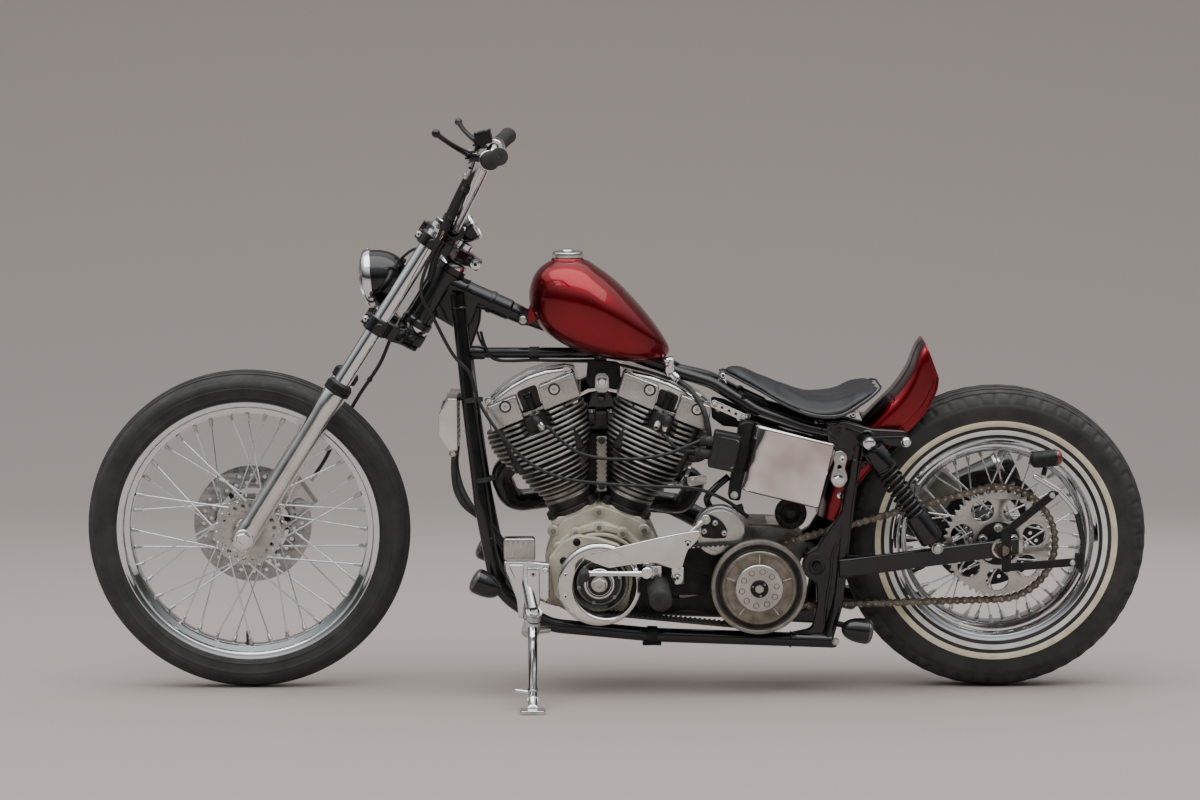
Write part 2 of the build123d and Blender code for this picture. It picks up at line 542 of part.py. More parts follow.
shaft = ybar(kx, kz, -121, -84.2, 26)
pul = shaft + turned(kx, kz, [(-160, 0), (-160, 62), (-120, 62), (-120, 0)]) + turned(kx, kz, [(-185, 0), (-185, 30), (-160, 34), (-160, 0)])
keep("primary_pulley", pul)
CL_R, CL_OUT = 88.0, 100.0
clu = ybar(*CLUTCH_C, -121, -102.2, 26)
clu = clu + turned(CLUTCH_C[0], CLUTCH_C[1], [(-160, 0), (-160, CL_R), (-120, CL_R), (-120, 0)])
clu = clu + turned(CLUTCH_C[0], CLUTCH_C[1], [(-192, 0), (-192, 50), (-184, 50), (-184, 78), (-178, 78), (-178, CL_OUT),
                                              (-160, CL_OUT), (-160, 0)])
keep("clutch", clu)


def belt_loop(c1, r1, c2, r2, t, y0, y1):
    """Band of thickness t round two pulleys, as the outer loop less the inner."""
    def loop(g):
        dx, dz = c2[0] - c1[0], c2[1] - c1[1]
        L = hypot(dx, dz)
        base = atan2(dz, dx)
        q = (r1 - r2) / L
        ph = pi / 2 - atan2(q, sqrt(1 - q * q))
        a1, a2 = base + ph, base - ph
        def at(c, r, a):
            return (c[0] + r * cos(a), c[1] + r * sin(a))
        R1, R2 = r1 + g, r2 + g
        p1, p2, p3, p4 = at(c1, R1, a1), at(c2, R2, a1), at(c2, R2, a2), at(c1, R1, a2)
        pl = Plane(origin=(0, max(y0, y1), 0), x_dir=(1, 0, 0), z_dir=(0, -1, 0))
        edges = [Line(p1, p2), ThreePointArc(p2, at(c2, R2, base), p3), Line(p3, p4),
                 ThreePointArc(p4, at(c1, R1, base + pi), p1)]
        return extrude(pl * make_face(edges), amount=abs(y1 - y0), dir=(0, -1, 0))
    return loop(t) - loop(0)


keep("primary_belt", belt_loop((kx, kz), 62.0, CLUTCH_C, CL_R, 7.0, -159.5, -120.5))
guard = slab([(707, 325), (791, 344), (862, 361), (945, 377), (957, 368), (931, 337), (919, 300), (898, 296),
              (862, 308), (814, 306), (767, 298)], -205, -195)
guard = guard + (ybar(kx, kz + 5, -205, -190, 88) - ybar(kx + 15, kz + 5, -210, -185, 69))
guard = guard + slab([(898, 297), (922, 297), (918, 263), (902, 263)], -205, -195)
for p in ((930, 350), (908, 280)):
    guard = guard + ybar(p[0], p[1], -195, -112.2, 7)
keep("belt_guard", trim(guard, parts["primary_belt"], parts["primary_pulley"]))

# exhaust on the right side: header outline points then the muffler
ex1 = pipe([(690, 20, 520), (588, 48, 508), (534, 96, 445), (556, 122, 378), (660, 142, 388), (905, 156, 368),
            (1030, 162, 300), (1240, 166, 260)], [50.0, 45.0, 42.0, 60.0, 80.0, 150.0], 24.0)
ex2 = pipe([(890, 30, 474), (962, 70, 432), (930, 110, 374), (850, 146, 378)], [34.0, 34.0], 22.0)
muff = rod((1225, 166, 258), (1660, 172, 448), 29.0, 41.0)
ex = joined(ex1, muff)
ex = trim(ex, *heads, *cyls, case, cam, parts["frame_cradles"], *rocks, parts["carburettor"], parts["pushrod_tubes"])
ex = max(ex.solids(), key=lambda q: q.volume)
ex2 = trim(ex2, *heads, *cyls, case, cam, ex, parts["frame_rear"], parts["pushrod_tubes"])
ex2 = max(ex2.solids(), key=lambda q: q.volume)
keep("exhaust", ex + ex2)

# ================================================================ boxes and small units
bx = [(1071, 589), (1242, 547), (1213, 406), (1044, 449)]
sb = slab(bx, -130, 96)
sb = trim(sb, parts["frame_rear"], parts["rear_fender"])
sb = max(sb.solids(), key=lambda q: q.volume)
keep("side_box", sb)
coil = block((1009, -109, 530), (58, 46, 80), 12)
coil = coil + rod((992, -109, 547), (962, -108, 552), 12.0) + rod((990, -109, 520), (948, -108, 528), 12.0)
keep("ignition_coil", trim(coil, sb))
horn = turned(1151, 392, [(-100, 0), (-100, 30), (-92, 34), (-84, 34), (-72, 26), (-60.2, 22), (-60.2, 0)])
keep("horn", trim(horn, gear, sb))
cooler = block((430, 0, 580), (42, 150, 112), 4)
keep("oil_cooler", trim(cooler, parts["frame_cradles"]))

# spark leads from the coil to each head, along straight runs with wide arcs
lead1 = pipe([(640, -104, 582), (700, -112, 525), (790, -118, 512), (890, -116, 522), (960, -108, 552)], [90.0, 160.0, 160.0], 4.0)
lead2 = pipe([(884, -104, 562), (905, -112, 536), (925, -110, 529), (946, -108, 528)], [18.0, 18.0], 4.0)
keep("spark_leads", trim(lead1, *heads, *cyls, *rocks, coil), trim(lead2, *heads, *cyls, *rocks, coil))

# ================================================================ foot controls
peg_l = rod((873, -283, 245), (868, -165, 258), 24.0) + rod((868, -165, 258), (867, -112.2, 259), 11.0)
peg_r = rod((873, 270, 245), (868, 205, 252), 24.0) + rod((868, 205, 252), (866, 130, 150), 11.0)
shift = rod((998, -118, 365), (998, -146, 365), 54.0)
shift = shift + slab([(960, 401), (983, 399), (1004, 385), (1015, 364), (1012, 351), (960, 353)], -156, -146)
shift_rod = rod((968, -154, 391), (846, -188, 298), 4.5)
lev = rod((845, -214, 289), (719, -222, 292), 7.0) + rod((716, -205, 292), (716, -262, 290), 11.0)
lev = lev + rod((845, -214, 292), (845, -112.2, 292), 8.0)
ctl_l = joined(shift, shift_rod, lev)
ctl_l = trim(ctl_l, parts["belt_guard"], parts["primary_belt"], parts["primary_pulley"], parts["clutch"], plate, gear)
peg_l = trim(peg_l, parts["belt_guard"], parts["primary_belt"], plate)
peg_l = max(peg_l.solids(), key=lambda q: q.volume)
peg_r = max(trim(peg_r, parts["frame_cradles"], parts["exhaust"]).solids(), key=lambda q: q.volume)
ctl_l = max(ctl_l.solids(), key=lambda q: q.volume)
bp = joined(rod((850, 142, 142), (690, 224, 205), 7.0), rod((690, 206, 205), (690, 262, 205), 12.0))
bp = max(trim(bp, parts["frame_cradles"], parts["exhaust"], peg_r).solids(), key=lambda q: q.volume)
keep("foot_controls", peg_l, peg_r, ctl_l, bp)

# ================================================================ swingarm, shocks, chain
arms = []
for s in (-1, 1):
    arm = slab([(1205, 303), (1271, 303), (1640, 348), (1640, 312), (1271, 263), (1205, 263)], s * 122.5, s * 138)
    arms.append(arm)
sw = joined(arms[0], arms[1], rod((PIVOT[0], -138, PIVOT[1]), (PIVOT[0], 138, PIVOT[1]), 11.0))
sw = sw + rod((PIVOT[0], -95, PIVOT[1]), (PIVOT[0], 95, PIVOT[1]), 12.5)
sw = trim(sw, parts["frame_rear"], parts["exhaust"])
sw = sw - ybar(RX, RZ, -150, 150, 13.0)
keep("swingarm", max(sw.solids(), key=lambda q: q.volume))
ax = ybar(RX, RZ, -152, 152, 12.9) + ybar(RX, RZ, -152, -138.1, 22.0) + ybar(RX, RZ, 138.1, 152, 22.0)
keep("rear_axle", ax)
shocks = []
TOPB, BOTB = (1307.0, 554.0), (1452.0, 331.0)
for s in (-1, 1):
    a = (TOPB[0], s * 152, TOPB[1])
    b = (BOTB[0], s * 152, BOTB[1])
    d = Vector(*b) - Vector(*a)
    L = d.length
    prof = [(-13, 0), (-13, 13), (10, 13), (14, 24), (62, 26), (64, 19), (190, 19), (192, 25), (246, 25), (250, 13),
            (L + 13, 13), (L + 13, 0)]
    sh = turned_about(a, tuple(d), prof)
    for i in range(9):
        t = 72 + 13 * i
        sh = sh + turned_about(a, tuple(d), [(t, 15), (t, 25), (t + 6, 25), (t + 6, 15)])
    sh = sh + rod((TOPB[0], s * 117.2, TOPB[1]), (TOPB[0], s * 172, TOPB[1]), 9.0)
    sh = sh + rod((BOTB[0], s * 138.2, BOTB[1]), (BOTB[0], s * 172, BOTB[1]), 9.0)
    shocks.append(sh)
shocks = [trim(s, parts["frame_rear"], parts["swingarm"], parts["exhaust"]) for s in shocks]
keep("shock_absorbers", *[max(s.solids(), key=lambda q: q.volume) for s in shocks])
chain = belt_loop(GEAR_C, GEAR_PR - 7.0, (RX, RZ), SPROCKET_PR - 7.0, 14.0, CHAIN_Y - 10, CHAIN_Y + 10)
gsp = ybar(*GEAR_C, CHAIN_Y - 4, CHAIN_Y + 4, GEAR_PR - 7.2) + ybar(*GEAR_C, CHAIN_Y + 4, -60.2, 22) \
    + ybar(*GEAR_C, -101.8, CHAIN_Y - 4, 22)
keep("drive_chain", chain, trim(gsp, parts["clutch"], gear, plate))

rc = tilted((RX - 104, R_DISC_Y, RZ + 78), (90, 54, 62), (-0.6, 0, -0.8), (-0.8, 0, 0.6))
rc = rc - turned(RX, RZ, [(75.5, 1), (75.5, 133), (92.5, 133), (92.5, 1)])
rc = rc + rod((RX - 110, 108, RZ + 60), (RX - 40, 122.4, RZ + 8), 9)
rc = trim(rc, parts["swingarm"], parts["exhaust"])
keep("rear_caliper", max(rc.solids(), key=lambda q: q.volume))

# plate holder out to the left of the rear wheel, and its lamp
PY = -190.0
ph = rod((1592, -152.2, 325.5), (1592, -166, 325.5), 14) + rod((1592, -164, 362), (1690, -176, 446), 7.0) \
    + rod((1596, -164, 290), (1736, -176, 303), 7.0) + slab([(1586, 374), (1606, 374), (1607, 280), (1587, 280)], -168, -160)
arcp = pipe([(1652, -176, 485), (1700, -176, 456), (1738, -176, 414), (1755, -176, 345), (1752, -176, 285)],
            [60.0, 60.0, 60.0], 6.0)
pl_c = (1745.0, -176.0, 345.0)
pplate = block(pl_c, (5.0, 70.0, 100.0))
ph = joined(ph, arcp, rod((1690, -176, 446), (1704, -176, 456), 7.0))
keep("plate_holder", trim(ph, parts["rear_axle"], parts["swingarm"]))
tl = turned_about((1640, -176, 519), (0.93, 0, 0.10), [(0, 0), (2, 12), (10, 17), (52, 18), (62, 17), (66, 10), (67, 0)])
tl = tl + rod((1668, -176, 486), (1672, -176, 512), 6)
keep("tail_light", trim(tl, parts["plate_holder"]))
sig = []
for x, y, z, nose, d in ((512, -172, 256, 1, (-0.80, 0, 0.42)), (512, 172, 256, 1, (-0.80, 0, 0.42)),
                         (1286, -160, 156, 1, (0.86, 0, -0.12)), (1286, 160, 156, 1, (0.86, 0, -0.12))):
    b = turned_about((x, y, z), d, [(-32, 0), (-31, 10), (-24, 19), (-8, 25), (20, 27), (30, 27), (34, 14), (35, 0)])
    s = -1 if y < 0 else 1
    b = b + (rod((x, y, z), (x + 18, s * 118, z + 6), 7.0) if x < 900 else rod((x, y, z), (1250, s * 118, z + 4), 7.0))
    sig.append(trim(b, parts["frame_cradles"], parts["frame_rear"], parts["exhaust"], parts["swingarm"]))
keep("turn_signals", *[max(q.solids(), key=lambda k: k.volume) for q in sig])

# ================================================================ side stand
sbk = slab([(547, 351), (613, 351), (613, 306), (645, 300), (632, 262), (600, 232), (566, 232), (547, 300)], -150, -133)
sbk = sbk + slab([(548, 345), (606, 345), (604, 262), (552, 262)], -133, -118)
ap = Vector(*STAND_PIVOT)
foot = Vector(STAND_FOOT[0], STAND_FOOT[1], unplace_z(STAND_FOOT[1]))
fold = Vector(288, -35, -70)
d0 = (foot - ap).normalized()
d1 = fold.normalized()
hinge = d0.cross(d1).normalized()
STAND_AXIS = (hinge.X, hinge.Y, hinge.Z)
knuckle = rod(tuple(ap - hinge * 13), tuple(ap + hinge * 13), 19.0)
pin = rod(tuple(ap - hinge * 34), tuple(ap + hinge * 34), 7.9)
elbow = ap + Vector(2, -36, -30)
leg = joined(knuckle, pipe([tuple(ap), tuple(elbow), tuple(foot + Vector(0, 26, 22))], [30.0], 10.5)) \
    - rod(tuple(ap - hinge * 40), tuple(ap + hinge * 40), 8.0)
leg = leg - rod(tuple(ap + hinge * 13.2), tuple(ap + hinge * 40), 20.0) - rod(tuple(ap - hinge * 40), tuple(ap - hinge * 13.2), 20.0)
leg = max(leg.solids(), key=lambda q: q.volume)
ears = [rod(tuple(ap + hinge * a), tuple(ap + hinge * b), 19.0) for a, b in ((13.6, 30), (-30, -13.6))]
web = rod(tuple(ap + hinge * 22), (592, -142, 268), 13.0) + rod(tuple(ap - hinge * 22), (640, -133, 152), 9.0)
sbk = joined(sbk, *ears, web, pin)
sbk = trim(sbk, parts["frame_cradles"], parts["engine_mounts"])
clear = rod(tuple(ap - hinge * 13.4), tuple(ap + hinge * 13.4), 24.0) - pin
sbk = sbk - clear
# room for the bent leg over its whole swing
sweep_leg = pipe([tuple(ap + (elbow - ap).normalized() * 18), tuple(elbow), tuple(foot + Vector(0, 26, 22))], [30.0], 14.0)
for turn in (0, 9, 18, 27, 36, 45, 54, 63, 70, 77):
    sbk = sbk - sweep_leg.rotate(Axis(tuple(ap), tuple(hinge)), turn)
keep("stand_bracket", max(sbk.solids(), key=lambda q: q.volume))
# the foot is a pad whose underside lies flat on the floor
c6, s6 = cos(radians(LEAN)), sin(radians(LEAN))
floor_up = Vector(0, s6, c6)
pad = Plane(origin=foot + floor_up * 4.0, x_dir=(1, 0, 0), z_dir=tuple(floor_up)) * extrude(RectangleRounded(52, 44, 10), amount=4, both=True)
leg = leg + pad + rod(tuple(foot + Vector(0, 26, 22)), tuple(foot + Vector(0, 6, 4) + floor_up * 9), 10.0)
tang = rod(tuple(foot + Vector(0, 40, 32)), tuple(foot + Vector(-34, 52, 34)), 4.5)
keep("side_stand", leg + tang)

# ================================================================ cables
def route(name, pts, r, size=0.42):
    """A cable along straight runs, each corner rounded as widely as its runs allow."""
    rad = []
    for a, b, c in zip(pts[:-2], pts[1:-1], pts[2:]):
        u, v = Vector(*b) - Vector(*a), Vector(*c) - Vector(*b)
        rad.append(size * min(u.length, v.length) / tan(radians(u.get_angle(v)) / 2))
    print(name, "radii", [round(q) for q in rad])
    return pipe(pts, rad, r)


CABLE = [(486, -212, 1128), (446, -160, 1050), (408, -131, 960), (379, -122, 868), (408, -104, 800), (444, -84, 728),
         (476, -86, 692), (496, -92, 632), (541, -112, 566), (606, -118, 503), (672, -120, 474), (760, -121, 462),
         (860, -122, 456), (946, -122, 452), (990, -114, 436), (1026, -100, 414), (1060, -84, 384)]
cable = route("clutch cable", CABLE, 4.0)
keep("clutch_cable", cable)
HOSE = [(488, 206, 1140), (455, 160, 1050), (422, 131, 960), (386, 114, 880), (345, 101, 810), (307, 93, 755),
        (277, 88, 688), (231, 82, 619), (186, 78, 540), (156, 74, 480), (126, 72, 436)]
hose = route("brake hose", HOSE, 4.0)
hose = trim(hose, parts["fork_clamps"], parts["front_caliper"], parts["hand_levers"], parts["handlebar"])
keep("brake_hose", max(hose.solids(), key=lambda q: q.volume))

# ---------------------------------------------------------------- place and write
def place(shape):
    return Pos(*SHIFT) * Rot(LEAN, 0, 0) * shape


def main():
    os.makedirs("parts", exist_ok=True)
    for name, shape in parts.items():
        export_step(place(shape), "parts/%s.step" % name)
    boxes = []
    for name, shape in parts.items():
        b = place(shape).bounding_box()
        boxes.append(b)
        print("%-18s %2d %10.1f cm3  x %7.1f %7.1f  y %7.1f %7.1f  z %7.1f %7.1f" % (
            name, len(shape.solids()), shape.volume / 1000, b.min.X, b.max.X, b.min.Y, b.max.Y, b.min.Z, b.max.Z))
    print("nodes", len(parts), "box", [round(v, 2) for v in (
        min(b.min.X for b in boxes), max(b.max.X for b in boxes), min(b.min.Y for b in boxes),
        max(b.max.Y for b in boxes), min(b.min.Z for b in boxes), max(b.max.Z for b in boxes))])


main()
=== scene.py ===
import bpy
import bmesh
import math
import random
from math import sin, cos, tan, pi, radians, degrees, atan2, hypot, sqrt
from mathutils import Matrix, Vector, Quaternion


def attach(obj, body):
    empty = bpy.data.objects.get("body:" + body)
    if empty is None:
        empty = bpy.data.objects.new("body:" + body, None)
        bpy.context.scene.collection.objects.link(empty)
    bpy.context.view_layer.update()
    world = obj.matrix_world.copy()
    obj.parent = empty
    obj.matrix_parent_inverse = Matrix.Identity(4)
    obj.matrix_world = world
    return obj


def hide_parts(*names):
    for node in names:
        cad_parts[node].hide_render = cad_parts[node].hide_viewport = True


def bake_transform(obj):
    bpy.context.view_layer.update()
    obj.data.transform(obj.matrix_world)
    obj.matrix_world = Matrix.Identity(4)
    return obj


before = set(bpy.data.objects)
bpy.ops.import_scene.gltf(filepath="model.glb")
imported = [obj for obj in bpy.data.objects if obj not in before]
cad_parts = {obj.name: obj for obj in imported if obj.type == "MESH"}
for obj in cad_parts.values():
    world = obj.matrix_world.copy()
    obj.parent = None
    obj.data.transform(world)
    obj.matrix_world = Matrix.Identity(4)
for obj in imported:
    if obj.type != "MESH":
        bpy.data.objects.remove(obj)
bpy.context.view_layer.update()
random.seed(7)

# ------------------------------------------------------------------ the shared frame
# Shapes are laid out upright in millimetres (x back from the front axle, y to the
# rider's right, z up from the ground), then leaned and shifted as the CAD is.
LEAN = 6.5
SHIFT = Vector((-785.75, 121.1, 0.5))
M = Matrix.Scale(0.001, 4) @ Matrix.Translation(SHIFT) @ Matrix.Rotation(radians(LEAN), 4, 'X')
RAKE = 32.5
DV = Vector((sin(radians(RAKE)), 0, cos(radians(RAKE))))
NV = Vector((cos(radians(RAKE)), 0, -sin(radians(RAKE))))
FX, FZ, RX, RZ = 0.0, 344.0, 1590.0, 325.5


def fork(t, back=0.0, y=0.0):
    return Vector((t * DV.x + back * NV.x, y, FZ + t * DV.z + back * NV.z))


# ------------------------------------------------------------------ materials
def new_mat(name, base, metallic=0.0, rough=0.5, **kw):
    m = bpy.data.materials.new(name)
    m.use_nodes = True
    nt = m.node_tree
    b = nt.nodes["Principled BSDF"]
    b.inputs["Base Color"].default_value = (*base, 1)
    b.inputs["Metallic"].default_value = metallic
    b.inputs["Roughness"].default_value = rough
    for k, v in kw.items():
        key = {"coat": "Coat Weight", "coat_rough": "Coat Roughness", "ior": "IOR", "spec": "Specular IOR Level",
               "sheen": "Sheen Weight", "transmission": "Transmission Weight", "aniso": "Anisotropic",
               "emit": "Emission Strength"}[k]
        b.inputs[key].default_value = v
    if "emit" in kw:
        b.inputs["Emission Color"].default_value = (*base, 1)
    return m


def node(m, kind, **props):
    n = m.node_tree.nodes.new(kind)
    for k, v in props.items():
        setattr(n, k, v)
    return n


def link(m, a, b):
    m.node_tree.links.new(a, b)


def coords(m):
    t = m.node_tree.nodes.get("tc")
    if not t:
        t = node(m, "ShaderNodeTexCoord")
        t.name = "tc"
    return t.outputs["Object"]


def noise(m, scale, detail=4.0, rough=0.55, stretch=None):
    n = node(m, "ShaderNodeTexNoise")
    n.inputs["Scale"].default_value = scale
    n.inputs["Detail"].default_value = detail
    n.inputs["Roughness"].default_value = rough
    src = coords(m)
    if stretch:
        mp = node(m, "ShaderNodeMapping")
        mp.inputs["Scale"].default_value = stretch
        link(m, src, mp.inputs["Vector"])
        src = mp.outputs["Vector"]
    link(m, src, n.inputs["Vector"])
    return n


def ramp(m, src, stops):
    r = node(m, "ShaderNodeValToRGB")
    el = r.color_ramp.elements
    while len(el) < len(stops):
        el.new(0.5)
    for e, (p, c) in zip(el, stops):
        e.position = p
        e.color = (*c, 1) if len(c) == 3 else c
    link(m, src, r.inputs["Fac"])
    return r


def vary_colour(m, scale, stops, detail=5.0, stretch=None):
    n = noise(m, scale, detail, stretch=stretch)
    r = ramp(m, n.outputs["Fac"], stops)
    link(m, r.outputs["Color"], m.node_tree.nodes["Principled BSDF"].inputs["Base Color"])
    return r


def vary_rough(m, scale, lo, hi, detail=4.0, stretch=None):
    n = noise(m, scale, detail, stretch=stretch)
    mr = node(m, "ShaderNodeMapRange")
    mr.inputs["From Min"].default_value = 0.3
    mr.inputs["From Max"].default_value = 0.7
    mr.inputs["To Min"].default_value = lo
    mr.inputs["To Max"].default_value = hi
    link(m, n.outputs["Fac"], mr.inputs["Value"])
    link(m, mr.outputs["Result"], m.node_tree.nodes["Principled BSDF"].inputs["Roughness"])


def add_bump(m, height, strength, distance):
    prev = m.node_tree.nodes["Principled BSDF"].inputs["Normal"]
    b = node(m, "ShaderNodeBump")
    b.inputs["Strength"].default_value = strength
    b.inputs["Distance"].default_value = distance
    if prev.links:
        link(m, prev.links[0].from_socket, b.inputs["Normal"])
    link(m, height, b.inputs["Height"])
    link(m, b.outputs["Normal"], prev)


def bump_noise(m, scale, strength, distance=0.001, detail=4.0, stretch=None):
    n = noise(m, scale, detail, stretch=stretch)
    add_bump(m, n.outputs["Fac"], strength, distance)


MAT = {}


def mat(key):
    if key in MAT:
        return MAT[key]
    if key == "candy":
        m = new_mat("candy_red", (0.24, 0.0010, 0.0085), 1.0, 0.32, coat=0.7, coat_rough=0.012)
        vary_colour(m, 5.0, [(0.30, (0.17, 0.0006, 0.0062)), (0.72, (0.31, 0.0013, 0.0105))], 2.0)
        v = node(m, "ShaderNodeTexVoronoi")
        v.inputs["Scale"].default_value = 2600.0
        link(m, coords(m), v.inputs["Vector"])
        add_bump(m, v.outputs["Distance"], 0.12, 0.0004)
    # painted reflection: near-black crown colour standing in for the dark surroundings the fender's top panel reflects
    elif key == "painted_crown_reflection":
        m = new_mat("dark_crown_painted_reflection", (0.010, 0.004, 0.009), 0.35, 0.34, coat=0.8, coat_rough=0.04)
        vary_colour(m, 9.0, [(0.30, (0.006, 0.003, 0.006)), (0.75, (0.022, 0.006, 0.012))], 3.0)
        vary_rough(m, 22.0, 0.26, 0.46)
    elif key == "chrome":
        m = new_mat("chrome", (0.80, 0.81, 0.82), 1.0, 0.05)
        vary_rough(m, 18.0, 0.025, 0.09)
        bump_noise(m, 60.0, 0.015, 0.0006, 3.0)
    # the pinkish blotches in the colour are a painted reflection of warm surroundings in the waves; the bump gives the
    # waves themselves
    elif key == "chrome_wave_painted_reflection":
        m = new_mat("waved_chrome_painted_reflection", (0.80, 0.81, 0.82), 1.0, 0.06)
        vary_colour(m, 9.0, [(0.34, (0.58, 0.50, 0.49)), (0.50, (0.74, 0.70, 0.69)), (0.66, (0.86, 0.85, 0.85))], 2.0)
        vary_rough(m, 14.0, 0.03, 0.09)
        bump_noise(m, 9.0, 0.55, 0.010, 1.5)
    elif key == "cream_case":
        m = new_mat("cream_casting", (0.62, 0.57, 0.46), 0.35, 0.48)
        vary_colour(m, 22.0, [(0.28, (0.42, 0.375, 0.285)), (0.55, (0.60, 0.555, 0.45)), (0.8, (0.70, 0.665, 0.57))], 6.0)
        vary_rough(m, 50.0, 0.38, 0.6)
        bump_noise(m, 420.0, 0.20, 0.0006, 5.0)
    elif key == "chrome_dull":
        m = new_mat("worn_chrome", (0.66, 0.66, 0.66), 1.0, 0.16)
        vary_rough(m, 40.0, 0.10, 0.26)
        vary_colour(m, 55.0, [(0.3, (0.50, 0.49, 0.47)), (0.6, (0.74, 0.74, 0.73))])
    elif key == "satin":
        m = new_mat("satin_aluminium", (0.52, 0.515, 0.50), 1.0, 0.28)
        vary_rough(m, 30.0, 0.20, 0.36)
        vary_colour(m, 14.0, [(0.3, (0.42, 0.415, 0.40)), (0.7, (0.60, 0.595, 0.58))])
        bump_noise(m, 900.0, 0.05, 0.0003, 2.0)
    elif key == "polished":
        m = new_mat("polished_aluminium", (0.78, 0.77, 0.75), 1.0, 0.13)
        vary_rough(m, 25.0, 0.08, 0.22)
        vary_colour(m, 20.0, [(0.3, (0.66, 0.65, 0.63)), (0.7, (0.84, 0.83, 0.82))])
        bump_noise(m, 220.0, 0.03, 0.0004, 2.0)
    elif key == "cast":
        m = new_mat("cast_aluminium", (0.30, 0.285, 0.255), 0.75, 0.50)
        vary_colour(m, 26.0, [(0.25, (0.13, 0.12, 0.105)), (0.5, (0.28, 0.265, 0.235)), (0.78, (0.42, 0.40, 0.365))], 6.0)
        vary_rough(m, 45.0, 0.36, 0.60)
        bump_noise(m, 480.0, 0.22, 0.0006, 5.0)
    elif key == "fins":
        m = new_mat("fin_aluminium", (0.44, 0.43, 0.40), 0.9, 0.32)
        vary_colour(m, 30.0, [(0.25, (0.20, 0.19, 0.17)), (0.5, (0.42, 0.405, 0.375)), (0.8, (0.64, 0.62, 0.585))], 6.0)
        vary_rough(m, 60.0, 0.28, 0.5)
        bump_noise(m, 520.0, 0.16, 0.0005, 4.0)
    elif key == "case":
        m = new_mat("case_aluminium", (0.60, 0.56, 0.48), 0.55, 0.46)
        vary_colour(m, 18.0, [(0.28, (0.40, 0.36, 0.28)), (0.55, (0.58, 0.54, 0.455)), (0.8, (0.68, 0.65, 0.57))], 6.0)
        vary_rough(m, 50.0, 0.34, 0.56)
        bump_noise(m, 420.0, 0.20, 0.0006, 5.0)
    elif key == "black_gloss":
        m = new_mat("gloss_black", (0.006, 0.006, 0.007), 0.0, 0.16, coat=0.45, coat_rough=0.04, spec=0.35)
        vary_rough(m, 20.0, 0.10, 0.26)
        vary_colour(m, 35.0, [(0.35, (0.004, 0.004, 0.005)), (0.75, (0.012, 0.011, 0.011))])
    elif key == "black_satin":
        m = new_mat("satin_black", (0.011, 0.011, 0.011), 0.0, 0.40, spec=0.26)
        vary_rough(m, 40.0, 0.32, 0.50)
        vary_colour(m, 60.0, [(0.3, (0.006, 0.006, 0.006)), (0.8, (0.022, 0.021, 0.020))])
        bump_noise(m, 600.0, 0.08, 0.0004)
    elif key == "black_plastic":
        m = new_mat("black_plastic", (0.016, 0.016, 0.017), 0.0, 0.34)
        vary_rough(m, 60.0, 0.26, 0.42)
        bump_noise(m, 900.0, 0.08, 0.0003)
    elif key == "rubber":
        m = new_mat("black_rubber", (0.018, 0.018, 0.018), 0.0, 0.62)
        vary_colour(m, 50.0, [(0.3, (0.011, 0.011, 0.011)), (0.8, (0.036, 0.035, 0.033))])
        vary_rough(m, 70.0, 0.5, 0.72)
        bump_noise(m, 700.0, 0.10, 0.0004)
    elif key == "tyre":
        m = new_mat("tyre_rubber", (0.020, 0.020, 0.020), 0.0, 0.66)
        vary_colour(m, 16.0, [(0.25, (0.013, 0.013, 0.013)), (0.6, (0.030, 0.029, 0.027)), (0.85, (0.052, 0.049, 0.044))], 6.0)
        vary_rough(m, 40.0, 0.54, 0.78)
        bump_noise(m, 520.0, 0.14, 0.0005, 5.0)
    elif key == "tread":
        m = new_mat("tread_rubber", (0.030, 0.029, 0.027), 0.0, 0.78)
        vary_colour(m, 24.0, [(0.25, (0.018, 0.018, 0.017)), (0.6, (0.040, 0.038, 0.035)), (0.85, (0.075, 0.070, 0.062))], 6.0)
        bump_noise(m, 420.0, 0.22, 0.0006, 5.0)
    elif key == "white_band":
        m = new_mat("white_sidewall", (0.74, 0.73, 0.69), 0.0, 0.55)
        vary_colour(m, 30.0, [(0.25, (0.58, 0.56, 0.50)), (0.6, (0.76, 0.75, 0.71))], 6.0)
        bump_noise(m, 500.0, 0.08, 0.0004)
    elif key == "cream_band":
        m = new_mat("cream_sidewall", (0.70, 0.62, 0.46), 0.0, 0.55)
        vary_colour(m, 30.0, [(0.25, (0.55, 0.47, 0.33)), (0.6, (0.74, 0.66, 0.50))], 6.0)
        bump_noise(m, 500.0, 0.08, 0.0004)
    elif key == "leather":
        m = new_mat("black_leather", (0.008, 0.009, 0.013), 0.0, 0.44, coat=0.10, coat_rough=0.30)
        vary_colour(m, 9.0, [(0.3, (0.006, 0.007, 0.010)), (0.75, (0.013, 0.014, 0.020))])
        vary_rough(m, 30.0, 0.38, 0.54)
        v = node(m, "ShaderNodeTexVoronoi", feature='DISTANCE_TO_EDGE')
        v.inputs["Scale"].default_value = 420.0
        link(m, coords(m), v.inputs["Vector"])
        rp = ramp(m, v.outputs["Distance"], [(0.0, (0, 0, 0)), (0.22, (1, 1, 1))])
        add_bump(m, rp.outputs["Color"], 0.28, 0.0005)
        bump_noise(m, 60.0, 0.12, 0.0012, 3.0)
    elif key == "thread":
        m = new_mat("seam_thread", (0.55, 0.53, 0.48), 0.0, 0.7)
        vary_colour(m, 400.0, [(0.3, (0.42, 0.40, 0.36)), (0.7, (0.62, 0.60, 0.55))])
    elif key == "chain":
        m = new_mat("chain_steel", (0.17, 0.15, 0.12), 0.85, 0.40)
        vary_colour(m, 70.0, [(0.25, (0.045, 0.038, 0.029)), (0.5, (0.145, 0.126, 0.10)), (0.8, (0.30, 0.27, 0.22))], 6.0)
        vary_rough(m, 90.0, 0.28, 0.55)
    elif key == "zinc":
